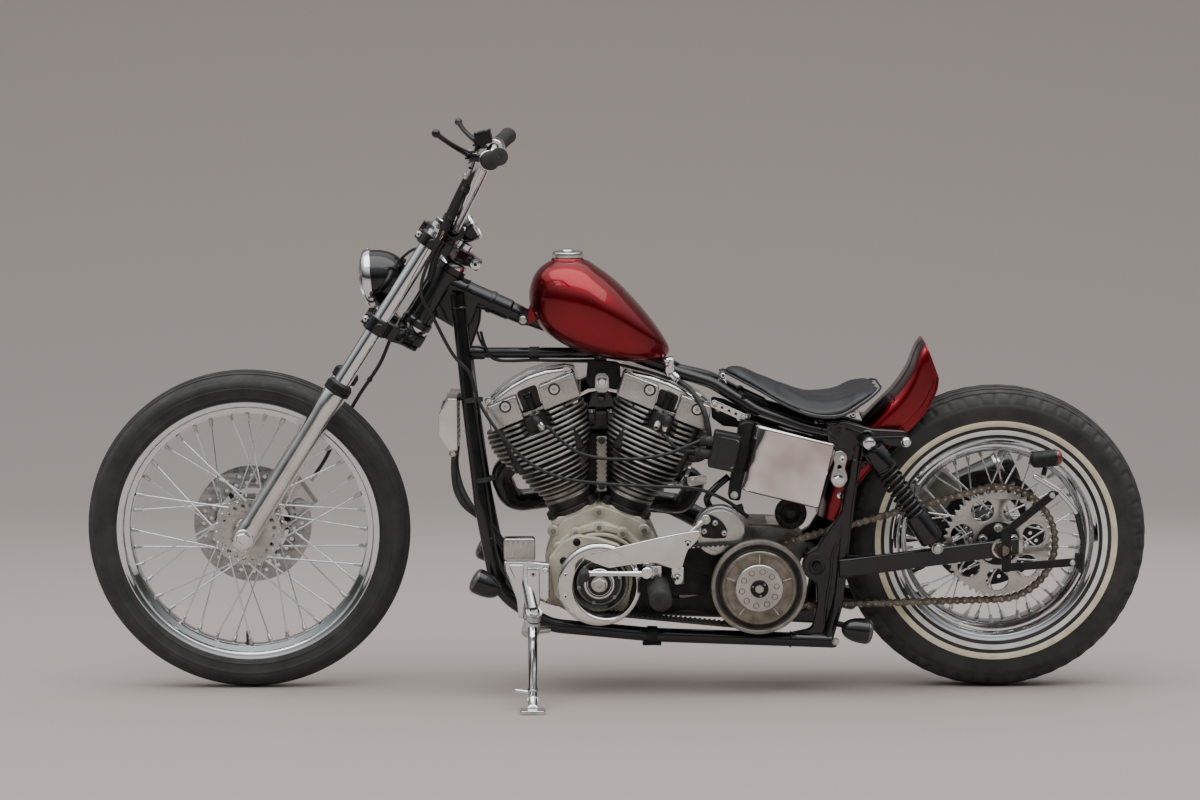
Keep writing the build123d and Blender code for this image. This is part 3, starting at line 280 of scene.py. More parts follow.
        m = new_mat("zinc_steel", (0.62, 0.62, 0.60), 1.0, 0.30)
        vary_colour(m, 40.0, [(0.25, (0.44, 0.43, 0.40)), (0.6, (0.66, 0.66, 0.64))], 6.0)
        vary_rough(m, 60.0, 0.22, 0.42)
        bump_noise(m, 500.0, 0.05, 0.0004)
    elif key == "disc":
        m = new_mat("disc_steel", (0.40, 0.395, 0.39), 1.0, 0.28)
        vary_rough(m, 90.0, 0.20, 0.36)
        vary_colour(m, 35.0, [(0.3, (0.30, 0.295, 0.29)), (0.7, (0.46, 0.455, 0.45))])
    elif key == "bronze":
        m = new_mat("clutch_bronze", (0.25, 0.225, 0.185), 0.85, 0.40)
        vary_colour(m, 45.0, [(0.25, (0.12, 0.105, 0.082)), (0.55, (0.245, 0.22, 0.18)), (0.8, (0.38, 0.345, 0.29))], 6.0)
        vary_rough(m, 60.0, 0.30, 0.55)
        bump_noise(m, 400.0, 0.12, 0.0005)
    elif key == "exhaust":
        m = new_mat("exhaust_black", (0.014, 0.014, 0.014), 0.2, 0.24, coat=0.4, coat_rough=0.08)
        vary_colour(m, 22.0, [(0.3, (0.010, 0.010, 0.010)), (0.7, (0.018, 0.017, 0.017))])
        vary_rough(m, 30.0, 0.18, 0.34)
        bump_noise(m, 500.0, 0.05, 0.0004)
    elif key == "lens_red":
        m = new_mat("red_lens", (0.13, 0.003, 0.006), 0.0, 0.12, coat=1.0, coat_rough=0.03)
        vary_colour(m, 30.0, [(0.3, (0.085, 0.002, 0.004)), (0.7, (0.19, 0.004, 0.008))])
    elif key == "lens_smoke":
        m = new_mat("smoked_lens", (0.05, 0.045, 0.042), 0.0, 0.16, coat=1.0, coat_rough=0.03)
        vary_colour(m, 60.0, [(0.3, (0.035, 0.032, 0.030)), (0.7, (0.085, 0.075, 0.068))])
    elif key == "glass":
        m = new_mat("lamp_glass", (0.95, 0.97, 0.98), 0.0, 0.02, transmission=1.0, ior=1.46)
        bump_noise(m, 40.0, 0.02, 0.0006, 2.0)
    elif key == "dial":
        m = new_mat("dial_face", (0.86, 0.85, 0.82), 0.0, 0.4)
        vary_colour(m, 40.0, [(0.3, (0.80, 0.79, 0.75)), (0.7, (0.90, 0.89, 0.86))])
    # dark material: the colour of dark metal parts, and also painted shade where it fills sockets, holes, recesses and
    # shaded parts
    elif key == "dark":
        m = new_mat("dark_metal_and_painted_shade", (0.035, 0.033, 0.030), 0.6, 0.5)
        vary_colour(m, 40.0, [(0.3, (0.020, 0.019, 0.018)), (0.75, (0.065, 0.060, 0.054))], 6.0)
        bump_noise(m, 400.0, 0.12, 0.0005)
    elif key == "blued":
        m = new_mat("blued_steel", (0.20, 0.22, 0.30), 1.0, 0.22)
        vary_colour(m, 12.0, [(0.3, (0.12, 0.13, 0.20)), (0.55, (0.30, 0.24, 0.24)), (0.8, (0.40, 0.36, 0.30))])
    elif key == "cable":
        m = new_mat("cable_sheath", (0.014, 0.014, 0.014), 0.0, 0.36)
        vary_rough(m, 60.0, 0.28, 0.46)
        bump_noise(m, 900.0, 0.06, 0.0003)
    else:
        raise KeyError(key)
    MAT[key] = m
    return m


# ------------------------------------------------------------------ geometry builder
class Geo:
    """Collects faces in upright millimetres, each with a material key."""

    def __init__(self):
        self.v, self.f, self.m, self.keys = [], [], [], []

    def _mi(self, key):
        if key not in self.keys:
            self.keys.append(key)
        return self.keys.index(key)

    def add(self, verts, faces, key):
        o = len(self.v)
        self.v += [Vector(p) for p in verts]
        mi = self._mi(key)
        for f in faces:
            self.f.append([i + o for i in f])
            self.m.append(mi)
        return self

    def lathe(self, c, axis, prof, key, n=48, ref=None, keys=None, closed=False, arc=None):
        """Profile of (along, radius) turned round the line from c along axis. keys names a material per segment."""
        c, ax = Vector(c), Vector(axis).normalized()
        u = (Vector(ref) if ref else (Vector((0, 0, 1)) if abs(ax.z) < 0.9 else Vector((1, 0, 0))))
        u = (u - ax * u.dot(ax)).normalized()
        w = ax.cross(u)
        full = arc is None
        steps = n if full else n + 1
        a0, a1 = (0, 2 * pi) if full else (radians(arc[0]), radians(arc[1]))
        verts = []
        for i in range(steps):
            a = a0 + (a1 - a0) * i / n
            d = u * cos(a) + w * sin(a)
            for (t, r) in prof:
                verts.append(c + ax * t + d * r)
        k = len(prof)
        o = len(self.v)
        self.v += verts
        segs = k if closed else k - 1
        for i in range(n):
            j = (i + 1) % steps
            for s in range(segs):
                s2 = (s + 1) % k
                a, b, e, d = i * k + s, i * k + s2, j * k + s2, j * k + s
                r0, r1 = prof[s][1], prof[s2][1]
                if r0 < 1e-6 and r1 < 1e-6:
                    continue
                if r0 < 1e-6:
                    f = [a, b, e]
                elif r1 < 1e-6:
                    f = [a, b, d]
                else:
                    f = [a, b, e, d]
                self.f.append([q + o for q in f])
                self.m.append(self._mi(keys[s] if keys else key))
        return self

    def tube(self, pts, r, key, n=12, caps=True, radii=None, flat=None):
        """A tube along points with a twist-free frame. radii gives a radius per point."""
        pts = [Vector(p) for p in pts]
        tang = []
        for i in range(len(pts)):
            a = pts[max(i - 1, 0)]
            b = pts[min(i + 1, len(pts) - 1)]
            tang.append((b - a).normalized())
        t0 = tang[0]
        u = Vector((0, 1, 0)) if abs(t0.y) < 0.9 else Vector((1, 0, 0))
        u = (u - t0 * u.dot(t0)).normalized()
        o = len(self.v)
        for i, p in enumerate(pts):
            if i:
                q = tang[i - 1].rotation_difference(tang[i])
                u = q @ u
                u = (u - tang[i] * u.dot(tang[i])).normalized()
            w = tang[i].cross(u)
            rr = radii[i] if radii else r
            for k in range(n):
                a = 2 * pi * k / n
                self.v.append(p + u * (rr * cos(a)) + w * (rr * sin(a) * (flat if flat else 1.0)))
        mi = self._mi(key)
        for i in range(len(pts) - 1):
            for k in range(n):
                k2 = (k + 1) % n
                self.f.append([o + i * n + k, o + i * n + k2, o + (i + 1) * n + k2, o + (i + 1) * n + k])
                self.m.append(mi)
        if caps:
            self.f.append([o + k for k in range(n)][::-1])
            self.m.append(mi)
            e = o + (len(pts) - 1) * n
            self.f.append([e + k for k in range(n)])
            self.m.append(mi)
        return self

    def from_bm(self, bm, key, mtx=None):
        bm.verts.index_update()
        o = len(self.v)
        for v in bm.verts:
            self.v.append((mtx @ v.co) if mtx else v.co.copy())
        mi = self._mi(key)
        for f in bm.faces:
            self.f.append([q.index + o for q in f.verts])
            self.m.append(mi)
        bm.free()
        return self

    def box(self, c, size, key, bevel=2.0, seg=2, x=None, z=None, taper=None):
        """Bevelled box centred on c; x and z are its own axes. taper scales its top face."""
        bm = bmesh.new()
        bmesh.ops.create_cube(bm, size=1.0)
        for v in bm.verts:
            k = taper if (taper and v.co.z > 0) else (1, 1)
            v.co = Vector((v.co.x * size[0] * k[0], v.co.y * size[1] * k[1], v.co.z * size[2]))
        if bevel > 0:
            bmesh.ops.bevel(bm, geom=list(bm.edges), offset=bevel, segments=seg, profile=0.6, affect='EDGES',
                            clamp_overlap=True)
        zx = Vector(z).normalized() if z else Vector((0, 0, 1))
        xx = Vector(x) if x else (Vector((1, 0, 0)) if abs(zx.x) < 0.9 else Vector((0, 1, 0)))
        xx = (xx - zx * xx.dot(zx)).normalized()
        yy = zx.cross(xx)
        mtx = Matrix(((xx.x, yy.x, zx.x, c[0]), (xx.y, yy.y, zx.y, c[1]), (xx.z, yy.z, zx.z, c[2]), (0, 0, 0, 1)))
        return self.from_bm(bm, key, mtx)

    def plate(self, outer, holes, y0, y1, key, bevel=0.8, origin=None, x=None, n=None, res=2, smooth=()):
        """A plate with holes. Outline in (a, b) on a plane: by default a = x, b = z, thickness along y.
        holes are ('c', a, b, r) circles or point lists."""
        cu = bpy.data.curves.new("tmp", 'CURVE')
        cu.dimensions = '2D'
        cu.fill_mode = 'BOTH'
        lo, hi = min(y0, y1), max(y0, y1)
        bevel = min(bevel, (hi - lo) * 0.45)
        cu.extrude = (hi - lo) / 2 - bevel
        cu.bevel_depth = bevel
        cu.offset = -bevel
        cu.bevel_resolution = res

        def spline(pts):
            s = cu.splines.new('POLY')
            s.points.add(len(pts) - 1)
            for p, q in zip(s.points, pts):
                p.co = (q[0], q[1], 0, 1)
            s.use_cyclic_u = True

        spline(outer)
        for h in holes:
            if h[0] == 'c':
                k = 24 if h[3] < 12 else 40
                spline([(h[1] + h[3] * cos(2 * pi * i / k), h[2] + h[3] * sin(2 * pi * i / k)) for i in range(k)])
            else:
                spline(h)
        ob = bpy.data.objects.new("tmp", cu)
        bpy.context.scene.collection.objects.link(ob)
        dg = bpy.context.evaluated_depsgraph_get()
        me = bpy.data.meshes.new_from_object(ob.evaluated_get(dg))
        bm = bmesh.new()
        bm.from_mesh(me)
        bmesh.ops.remove_doubles(bm, verts=list(bm.verts), dist=0.001)
        bpy.data.objects.remove(ob)
        bpy.data.curves.remove(cu)
        bpy.data.meshes.remove(me)
        mid = (lo + hi) / 2
        if origin is None:
            # local (a, b, t) to (x, mid - t, z)
            mtx = Matrix(((1, 0, 0, 0), (0, 0, -1, mid), (0, 1, 0, 0), (0, 0, 0, 1)))
        else:
            xx, nn = Vector(x).normalized(), Vector(n).normalized()
            yy = nn.cross(xx)
            oo = Vector(origin) + nn * mid
            mtx = Matrix(((xx.x, yy.x, nn.x, oo.x), (xx.y, yy.y, nn.y, oo.y), (xx.z, yy.z, nn.z, oo.z), (0, 0, 0, 1)))
        return self.from_bm(bm, key, mtx)

    def ball(self, c, r, key, n=16, squash=(1, 1, 1)):
        bm = bmesh.new()
        bmesh.ops.create_uvsphere(bm, u_segments=n, v_segments=max(6, n // 2), radius=r)
        for v in bm.verts:
            v.co = Vector((v.co.x * squash[0], v.co.y * squash[1], v.co.z * squash[2]))
        return self.from_bm(bm, key, Matrix.Translation(Vector(c)))

    def bolt(self, c, axis, r, h, key="zinc", kind="hex", washer=True):
        """A bolt head standing h out of c along axis."""
        ax = Vector(axis).normalized()
        c = Vector(c)
        if washer:
            self.lathe(c, ax, [(0, 0), (0, r * 1.45), (h * 0.22, r * 1.45), (h * 0.26, r * 1.38), (h * 0.26, 0)], key, 24)
            c = c + ax * h * 0.26
            h = h * 0.74
        if kind == "hex":
            self.lathe(c, ax, [(0, r * 1.1), (h * 0.8, r * 1.1), (h, r * 0.94), (h, 0)], key, 6)
        elif kind == "allen":
            self.lathe(c, ax, [(0, r), (h * 0.86, r), (h, r * 0.86), (h, r * 0.52)], key, 24)
            # the socket floor is coloured dark: painted shade inside the socket
            self.lathe(c, ax, [(h, r * 0.52), (h * 0.45, r * 0.50), (h * 0.45, 0)], "dark", 6)
        else:
            self.lathe(c, ax, [(0, r * 1.1), (h * 0.55, r * 1.1), (h * 0.6, r), (h * 0.85, r * 0.8), (h, r * 0.4), (h, 0)],
                       key, 20)
        return self

    def build(self, name, body, replaces=(), sharp=32.0, slot=None, weld=True, recalc=True, ride=True):
        me = bpy.data.meshes.new(name)
        me.from_pydata([M @ p for p in self.v], [], self.f)
        for k in self.keys:
            me.materials.append(mat(k))
        me.polygons.foreach_set("material_index", self.m)
        me.polygons.foreach_set("use_smooth", [True] * len(self.f))
        me.update()
        if weld or recalc:
            bm = bmesh.new()
            bm.from_mesh(me)
            if weld:
                bmesh.ops.remove_doubles(bm, verts=list(bm.verts), dist=2e-6)
            if recalc:
                bmesh.ops.recalc_face_normals(bm, faces=list(bm.faces))
            bm.to_mesh(me)
            bm.free()
        me.set_sharp_from_angle(angle=radians(sharp))
        ob = bpy.data.objects.new(name, me)
        bpy.context.scene.collection.objects.link(ob)
        if ride:
            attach(ob, body)
        if replaces:
            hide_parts(*replaces)
        return ob


def smooth_path(pts, n=10, alpha=0.5):
    """Points along a centripetal spline through pts."""
    P = [Vector(p) for p in pts]
    P = [P[0] * 2 - P[1]] + P + [P[-1] * 2 - P[-2]]
    out = []
    for i in range(1, len(P) - 2):
        p0, p1, p2, p3 = P[i - 1], P[i], P[i + 1], P[i + 2]
        t0 = 0.0
        t1 = t0 + max((p1 - p0).length, 1e-4) ** alpha
        t2 = t1 + max((p2 - p1).length, 1e-4) ** alpha
        t3 = t2 + max((p3 - p2).length, 1e-4) ** alpha
        for k in range(n):
            t = t1 + (t2 - t1) * k / n
            a1 = p0 * ((t1 - t) / (t1 - t0)) + p1 * ((t - t0) / (t1 - t0))
            a2 = p1 * ((t2 - t) / (t2 - t1)) + p2 * ((t - t1) / (t2 - t1))
            a3 = p2 * ((t3 - t) / (t3 - t2)) + p3 * ((t - t2) / (t3 - t2))
            b1 = a1 * ((t2 - t) / (t2 - t0)) + a2 * ((t - t0) / (t2 - t0))
            b2 = a2 * ((t3 - t) / (t3 - t1)) + a3 * ((t - t1) / (t3 - t1))
            out.append(b1 * ((t2 - t) / (t2 - t1)) + b2 * ((t - t1) / (t2 - t1)))
    out.append(P[-2])
    return out


def rounded_path(pts, radii, n=8):
    """Straight runs with an arc at each corner."""
    P = [Vector(p) for p in pts]
    out = [P[0]]
    for i in range(1, len(P) - 1):
        a, b, c = P[i - 1], P[i], P[i + 1]
        u, v = (a - b).normalized(), (c - b).normalized()
        ang = u.angle(v)
        r = radii[i - 1] if isinstance(radii, (list, tuple)) else radii
        t = r / tan(ang / 2)
        t = min(t, 0.48 * (a - b).length, 0.48 * (c - b).length)
        r = t * tan(ang / 2)
        mid = (u + v).normalized()
        cen = b + mid * (r / sin(ang / 2))
        s, e = b + u * t - cen, b + v * t - cen
        q = s.rotation_difference(e)
        for k in range(n + 1):
            out.append(cen + Quaternion().slerp(q, k / n) @ s)
    out.append(P[-1])
    return out


def circle_pts(cx, cz, r, n=48, a0=0.0):
    return [(cx + r * cos(a0 + 2 * pi * i / n), cz + r * sin(a0 + 2 * pi * i / n)) for i in range(n)]


def arc_pts(cx, cz, r, a0, a1, n):
    return [(cx + r * cos(radians(a0 + (a1 - a0) * i / n)), cz + r * sin(radians(a0 + (a1 - a0) * i / n)))
            for i in range(n + 1)]


def round_poly(pts, radii, n=5):
    """A closed 2D outline with rounded corners."""
    out = []
    k = len(pts)
    for i in range(k):
        a, b, c = Vector(pts[i - 1]), Vector(pts[i]), Vector(pts[(i + 1) % k])
        u, v = (a - b), (c - b)
        lu, lv = u.length, v.length
        u.normalize()
        v.normalize()
        ang = u.angle(v)
        r = radii[i] if isinstance(radii, (list, tuple)) else radii
        if r <= 0 or ang > pi - 0.02:
            out.append(tuple(b))
            continue
        t = min(r / tan(ang / 2), 0.48 * lu, 0.48 * lv)
        p0, p2 = b + u * t, b + v * t
        for s in range(n + 1):
            q = s / n
            out.append(tuple(p0 * (1 - q) ** 2 + b * 2 * q * (1 - q) + p2 * q * q))
    return out


# ------------------------------------------------------------------ wheels
def ring_mesh(g, cx, cz, rows, n, keys, waves=0):
    """A band turned round the wheel's axle. rows: (y, r, zig, notch); the last two follow a wave round the tread."""
    verts = []
    per = n // waves if waves else 1
    for i in range(n):
        a = 2 * pi * i / n
        ph = (i % per) / per if waves else 0.0
        tri = (4 * abs(ph - 0.5) - 1.0) if waves else 0.0
        deep = 1.0 if (waves and 0.30 < ph < 0.62) else 0.0
        for (y, r, zig, notch) in rows:
            rr = r - notch * deep
            verts.append((cx + rr * cos(a), y + zig * tri, cz + rr * sin(a)))
    k = len(rows)
    o = len(g.v)
    g.v += [Vector(p) for p in verts]
    for i in range(n):
        j = (i + 1) % n
        for s in range(k - 1):
            g.f.append([o + i * k + s, o + i * k + s + 1, o + j * k + s + 1, o + j * k + s])
            g.m.append(g._mi(keys[s]))


def mirror_rows(half):
    """half runs from the left bead to the crown; the rows come back for both sides."""
    return half + [(-y, r, -z if abs(y) > 0 else z, q) for (y, r, z, q) in reversed(half)]


# front tyre: rib tread with a notched shoulder
def crown_f(y):
    return 344.0 - 10.0 * (y / 27.0) ** 2


half = [(-22, 275, 0, 0), (-27, 277, 0, 0), (-31.4, 281.5, 0, 0), (-33.4, 284.5, 0, 0), (-34.8, 287.0, 0, 0), (-36.8, 288.2, 0, 0),
        (-36.6, 290.4, 0, 0), (-37.6, 294.0, 0, 0), (-39.6, 300.0, 0, 0), (-40.9, 306.0, 0, 0), (-41.5, 306.8, 0, 0), (-41.7, 308.6, 0, 0),
        (-41.0, 309.6, 0, 0), (-41.4, 314.0, 0, 0), (-40.9, 319.0, 0, 0), (-40.3, 320.0, 0, 0), (-39.8, 322.4, 0, 0), (-38.2, 324.8, 0, 0.5),
        (-36.2, 327.6, 0, 0.9), (-33.6, 330.6, 0, 1.0), (-30.6, 332.8, 0, 0.9), (-28.0, crown_f(28.0), 0, 0.4)]
nh = [-26.6]
for e in (-22.4, -13.8, -5.2):
    half += [(e - 4.0, crown_f(e - 4.0), 0, 0), (e - 1.5, crown_f(e - 1.5), 0, 0), (e - 1.0, crown_f(e) - 4.2, 0, 0),
             (e + 1.0, crown_f(e) - 4.2, 0, 0), (e + 1.5, crown_f(e + 1.5), 0, 0)]
half += [(-1.6, crown_f(1.6), 0, 0)]
rows = mirror_rows(half)
keys = ["tyre" if rows[i][1] < 325 else "tread" for i in range(len(rows) - 1)]
g = Geo()
ring_mesh(g, FX, FZ, rows, 480, keys, 120)
g.build("front_tyre_rubber", "front_wheel", ["front_tyre"], sharp=40, slot="front_tyre_rubber")


def crown_r(y):
    return 325.5 - 12.5 * (abs(y) / 47.0) ** 2.2


half = [(-40, 214, 0, 0), (-46, 217, 0, 0), (-50.5, 222, 0, 0), (-52.5, 224.6, 0, 0), (-54.4, 226.6, 0, 0), (-55.6, 227.2, 0, 0),
        (-57.0, 232.5, 0, 0), (-58.2, 237.5, 0, 0), (-58.0, 238.2, 0, 0), (-59.0, 241.5, 0, 0), (-59.6, 244.6, 0, 0), (-60.2, 245.2, 0, 0),
        (-61.6, 251.5, 0, 0), (-62.6, 257.8, 0, 0), (-62.3, 258.6, 0, 0), (-63.4, 266.0, 0, 0), (-64.4, 276.0, 0, 0), (-64.8, 284.0, 0, 0),
        (-64.4, 291.0, 0, 0), (-63.6, 292.0, 0, 0), (-63.0, 296.0, 0, 0.8), (-60.6, 302.0, 0, 4.4), (-56.8, 307.0, 0, 5.2), (-52.4, 310.8, 0, 5.2)]
band_keys = {5: "white_band", 6: "white_band", 11: "cream_band", 12: "cream_band"}
for e in (-43.5, -29.0, -14.5):
    zg = 2.6
    half += [(e - 5.4, crown_r(e - 5.4), 0 if e < -40 else zg, 2.2 if e < -40 else 0), (e - 2.0, crown_r(e - 2.0), zg, 0),
             (e - 1.3, crown_r(e) - 5.0, zg, 0), (e + 1.3, crown_r(e) - 5.0, zg, 0), (e + 2.0, crown_r(e + 2.0), zg, 0)]
half += [(-7.0, crown_r(7.0), 2.6, 0), (-2.0, crown_r(2.0), 2.6, 0), (-1.3, crown_r(0) - 5.0, 2.6, 0)]
rows = half + [(-y, r, z, q) for (y, r, z, q) in reversed(half)]
keys = []
L = len(rows) - 1
for i in range(L):
    j = i if i < len(half) else L - 1 - i
    r = max(rows[i][1], rows[i + 1][1])
    keys.append(band_keys.get(j if i < len(half) else L - 1 - i, "tyre" if r < 298 else "tread"))
g = Geo()
ring_mesh(g, RX, RZ, rows, 456, keys, 57)
g.build("rear_tyre_rubber", "rear_wheel", ["rear_tyre"], sharp=40, slot="rear_tyre_rubber")


def rim_profile(R, bed, inner, half, well, step):
    a = [(-half + 2.6, bed + 1), (-half + 3.0, R - 1.2), (-half + 1.8, R + 0.0), (-half + 0.5, R - 0.6), (-half + 0.1, R - 2.4), (-half + 0.9, R - 4.4),
         (-half + 2.0, R - 6.2), (-half + 2.6, bed - 2.0), (-half + 4.2, bed - 4.4), (-half + 7.4, bed - 6.6), (-half + 9.5, bed - 7.4)]
    if step:
        a += [(-well - 11, bed - 8.6), (-well - 9.4, bed - 10.4), (-well - 8.8, bed - 14.5), (-well - 6.0, bed - 17.0)]
    a += [(-well - 3.0, inner + 3.4), (-well + 0.6, inner + 1.0), (-well + 4.0, inner + 0.2), (0, inner)]
    out = a + [(-y, r) for (y, r) in reversed(a[:-1])]
    b = [(half - 6, bed), (well + 4, bed - 2), (0, bed - 6), (-well - 4, bed - 2), (-half + 6, bed)]
    return out + b


g = Geo()
g.lathe((FX, 0, FZ), (0, 1, 0), rim_profile(280, 272, 251, 30, 13, False), "chrome", 160, closed=True)
# inflation valve with a black cap
va = radians(268)
vp = Vector((FX + 250.5 * cos(va), 0, FZ + 250.5 * sin(va)))
vd = Vector((-cos(va), 0, -sin(va)))
g.lathe(vp - vd * 2, vd, [(0, 0), (0, 6.0), (3, 6.0), (4, 4.0), (16, 3.6)], "rubber", 16)
g.lathe(vp + vd * 14, vd, [(0, 0), (0, 4.4), (2, 4.6), (12, 4.2), (13.5, 3.0), (14, 0)], "black_plastic", 16)
g.build("front_rim_chrome", "front_wheel", ["front_rim"])
g = Geo()
g.lathe((RX, 0, RZ), (0, 1, 0), rim_profile(221, 213, 186, 50, 22, True), "chrome", 160, closed=True)
va = radians(205)
vp = Vector((RX + 186 * cos(va), 0, RZ + 186 * sin(va)))
vd = Vector((-cos(va), 0, -sin(va)))
g.lathe(vp - vd * 2, vd, [(0, 0), (0, 6.0), (3, 6.0), (4, 4.0), (16, 3.6)], "rubber", 16)
g.lathe(vp + vd * 14, vd, [(0, 0), (0, 4.4), (2, 4.6), (12, 4.2), (13.5, 3.0), (14, 0)], "black_plastic", 16)
g.build("rear_rim_chrome", "rear_wheel", ["rear_rim"])


def spoke_set(name, body, node_name, cx, cz, r0, y0, off, r1, y1, count, swing, r, hook):
    g = Geo()
    for side in (-1, 1):
        for i in range(count):
            lead = 1 if i % 2 else -1
            a0 = radians(360.0 / count * i + (9.0 if side > 0 else 0))
            a1 = a0 + radians(lead * swing)
            ya, yb = side * (y0 + lead * off), side * (y1 + lead * 2.6)
            p = Vector((cx + r0 * cos(a0), ya, cz + r0 * sin(a0)))
            q = Vector((cx + r1 * cos(a1), yb, cz + r1 * sin(a1)))
            d = (q - p).normalized()
            yc = side * (y0 - lead * (off - 1.2))
            # hooked end through the flange, with its head on the other face
            h = Vector((p.x, yc, p.z))
            bend = (p - h).normalized()
            pts = [h, p - bend * 2.6, p - bend * 0.8 + d * 0.8, p + d * 3.2, q - d * 13]
            g.tube(pts, r, "chrome", 8, caps=False)
            g.ball(h, r * 1.9, "chrome_dull", 8, (1, 0.6, 1))
            g.lathe(q - d * 16, d, [(0, r), (0.3, r * 1.5), (1.5, r * 1.9), (9, r * 1.95), (10, r * 2.5), (15.8, r * 2.5)], "zinc", 8)
    return g.build(name, body, [node_name], sharp=50, slot="chrome")


spoke_set("front_spoke_set", "front_wheel", "front_spokes", FX, FZ, 66, 35.5, 5.2, 250.4, 7.0, 20, 36, 2.0, 1)
spoke_set("rear_spoke_set", "rear_wheel", "rear_spokes", RX, RZ, 52, 39, 5.6, 185.4, 12.0, 20, 36, 2.0, 1)

# front hub: ground barrel, two wide drilled flanges, cover nut faces
g = Geo()
g.lathe((FX, 0, FZ), (0, 1, 0), [(-57.5, 10.6), (-57.5, 19.5), (-56, 21.5), (-46, 22.6), (-42, 26), (-38.4, 31), (-33.0, 31), (-31, 27.5), (-26, 26),
                                 (-14, 25.2), (0, 25), (14, 25.2), (26, 26), (31, 27.5), (33, 31), (38.2, 31), (40, 37.6), (56.4, 37.6),
                                 (57, 37.0), (57, 10.6)], "satin", 64)
for y0, y1 in ((-38, -33), (33, 38)):
    g.plate(circle_pts(FX, FZ, 72, 96), [('c', FX, FZ, 30.5)] + [('c', FX + 57 * cos(radians(18 * i + 9)), FZ + 57 * sin(radians(18 * i + 9)), 4.2)
                                                              for i in range(20)], y0, y1, "satin", 0.9)
g.lathe((FX, 0, FZ), (0, 1, 0), [(-57.6, 12), (-57.9, 12.4), (-57.9, 16.5), (-57.4, 17)], "rubber", 40)
g.build("front_hub_body", "front_wheel", ["front_hub"])

# front brake disc: drilled ring on a six-arm carrier with buttons
g = Geo()
holes = [('c', FX, FZ, 79.0)]
for rr, cnt, st in ((106.0, 24, 0.0), (90.0, 24, 7.5)):
    holes += [('c', FX + rr * cos(radians(360 / cnt * i + st)), FZ + rr * sin(radians(360 / cnt * i + st)), 4.2) for i in range(cnt)]
g.plate(circle_pts(FX, FZ, 127, 120), holes, 57.7, 62.3, "disc", 0.5, res=1)
outer = []
for i in range(6):
    a = 60 * i
    outer += [(FX + 83.5 * cos(radians(a - 9)), FZ + 83.5 * sin(radians(a - 9))), (FX + 83.5 * cos(radians(a + 9)), FZ + 83.5 * sin(radians(a + 9))),
              (FX + 58 * cos(radians(a + 16)), FZ + 58 * sin(radians(a + 16))), (FX + 54 * cos(radians(a + 30)), FZ + 54 * sin(radians(a + 30))),
              (FX + 58 * cos(radians(a + 44)), FZ + 58 * sin(radians(a + 44)))]
g.plate(round_poly(outer, 5.0, 3), [('c', FX, FZ, 37.9)] + [('c', FX + 70 * cos(radians(60 * i)), FZ + 70 * sin(radians(60 * i)), 5.0) for i in range(6)],
        57.6, 62.4, "black_satin", 0.7)
for i in range(6):
    a = radians(60 * i)
    g.lathe((FX + 79.5 * cos(a), 57.4, FZ + 79.5 * sin(a)), (0, 1, 0), [(0, 0), (0, 5.2), (5.1, 5.2), (5.1, 0)], "zinc", 20)
    g.bolt((FX + 47 * cos(a + 0.5), 62.4, FZ + 47 * sin(a + 0.5)), (0, 1, 0), 4.4, 5.0, "zinc", "allen", False)
g.build("front_brake_disc", "front_wheel", ["front_disc"])

# rear hub and its brake disc; the disc, its carrier and buttons take the dark material as painted shade
g = Geo()
g.lathe((RX, 0, RZ), (0, 1, 0), [(-79.7, 13.4), (-79.7, 42), (-78.6, 43.8), (-61, 43.8), (-59.6, 40), (-57.6, 34), (-45, 32), (-42, 34), (-36, 34),
                                 (-33, 32.5), (-16, 31.5), (16, 31.5), (33, 32.5), (36, 34), (42, 34), (44, 39.6), (81, 39.6)], "satin", 64)
for y0, y1 in ((-42, -36), (36, 42)):
    g.plate(circle_pts(RX, RZ, 58, 80), [('c', RX, RZ, 33.5)] + [('c', RX + 52 * cos(radians(18 * i)), RZ + 52 * sin(radians(18 * i)), 2.4)
                                                              for i in range(20)], y0, y1, "satin", 0.8)
holes = [('c', RX, RZ, 78.0)]
for rr, cnt, st in ((112.0, 24, 0.0), (96.0, 24, 7.5)):
    holes += [('c', RX + rr * cos(radians(360 / cnt * i + st)), RZ + rr * sin(radians(360 / cnt * i + st)), 4.2) for i in range(cnt)]
# painted shade: the drilled disc is coloured dark instead of its steel colour
g.plate(circle_pts(RX, RZ, 127, 120), holes, 81.6, 86.4, "dark", 0.5, res=1)
outer = []
for i in range(5):
    a = 72 * i
    outer += [(RX + 82 * cos(radians(a - 11)), RZ + 82 * sin(radians(a - 11))), (RX + 82 * cos(radians(a + 11)), RZ + 82 * sin(radians(a + 11))),
              (RX + 56 * cos(radians(a + 20)), RZ + 56 * sin(radians(a + 20))), (RX + 52 * cos(radians(a + 36)), RZ + 52 * sin(radians(a + 36))),
              (RX + 56 * cos(radians(a + 52)), RZ + 56 * sin(radians(a + 52)))]
g.plate(round_poly(outer, 5.0, 3), [('c', RX, RZ, 14.0)], 81.2, 86.8, "dark", 0.8)
for i in range(5):
    a = radians(72 * i)
    g.bolt((RX + 34 * cos(a), 86.6, RZ + 34 * sin(a)), (0, 1, 0), 5.0, 0.38, "zinc", "allen", False)
    g.lathe((RX + 76 * cos(a), 81.2, RZ + 76 * sin(a)), (0, 1, 0), [(0, 0), (0, 5.4), (5.7, 5.4), (5.7, 0)], "dark", 20)
g.build("rear_hub_body", "rear_wheel", ["rear_hub"])

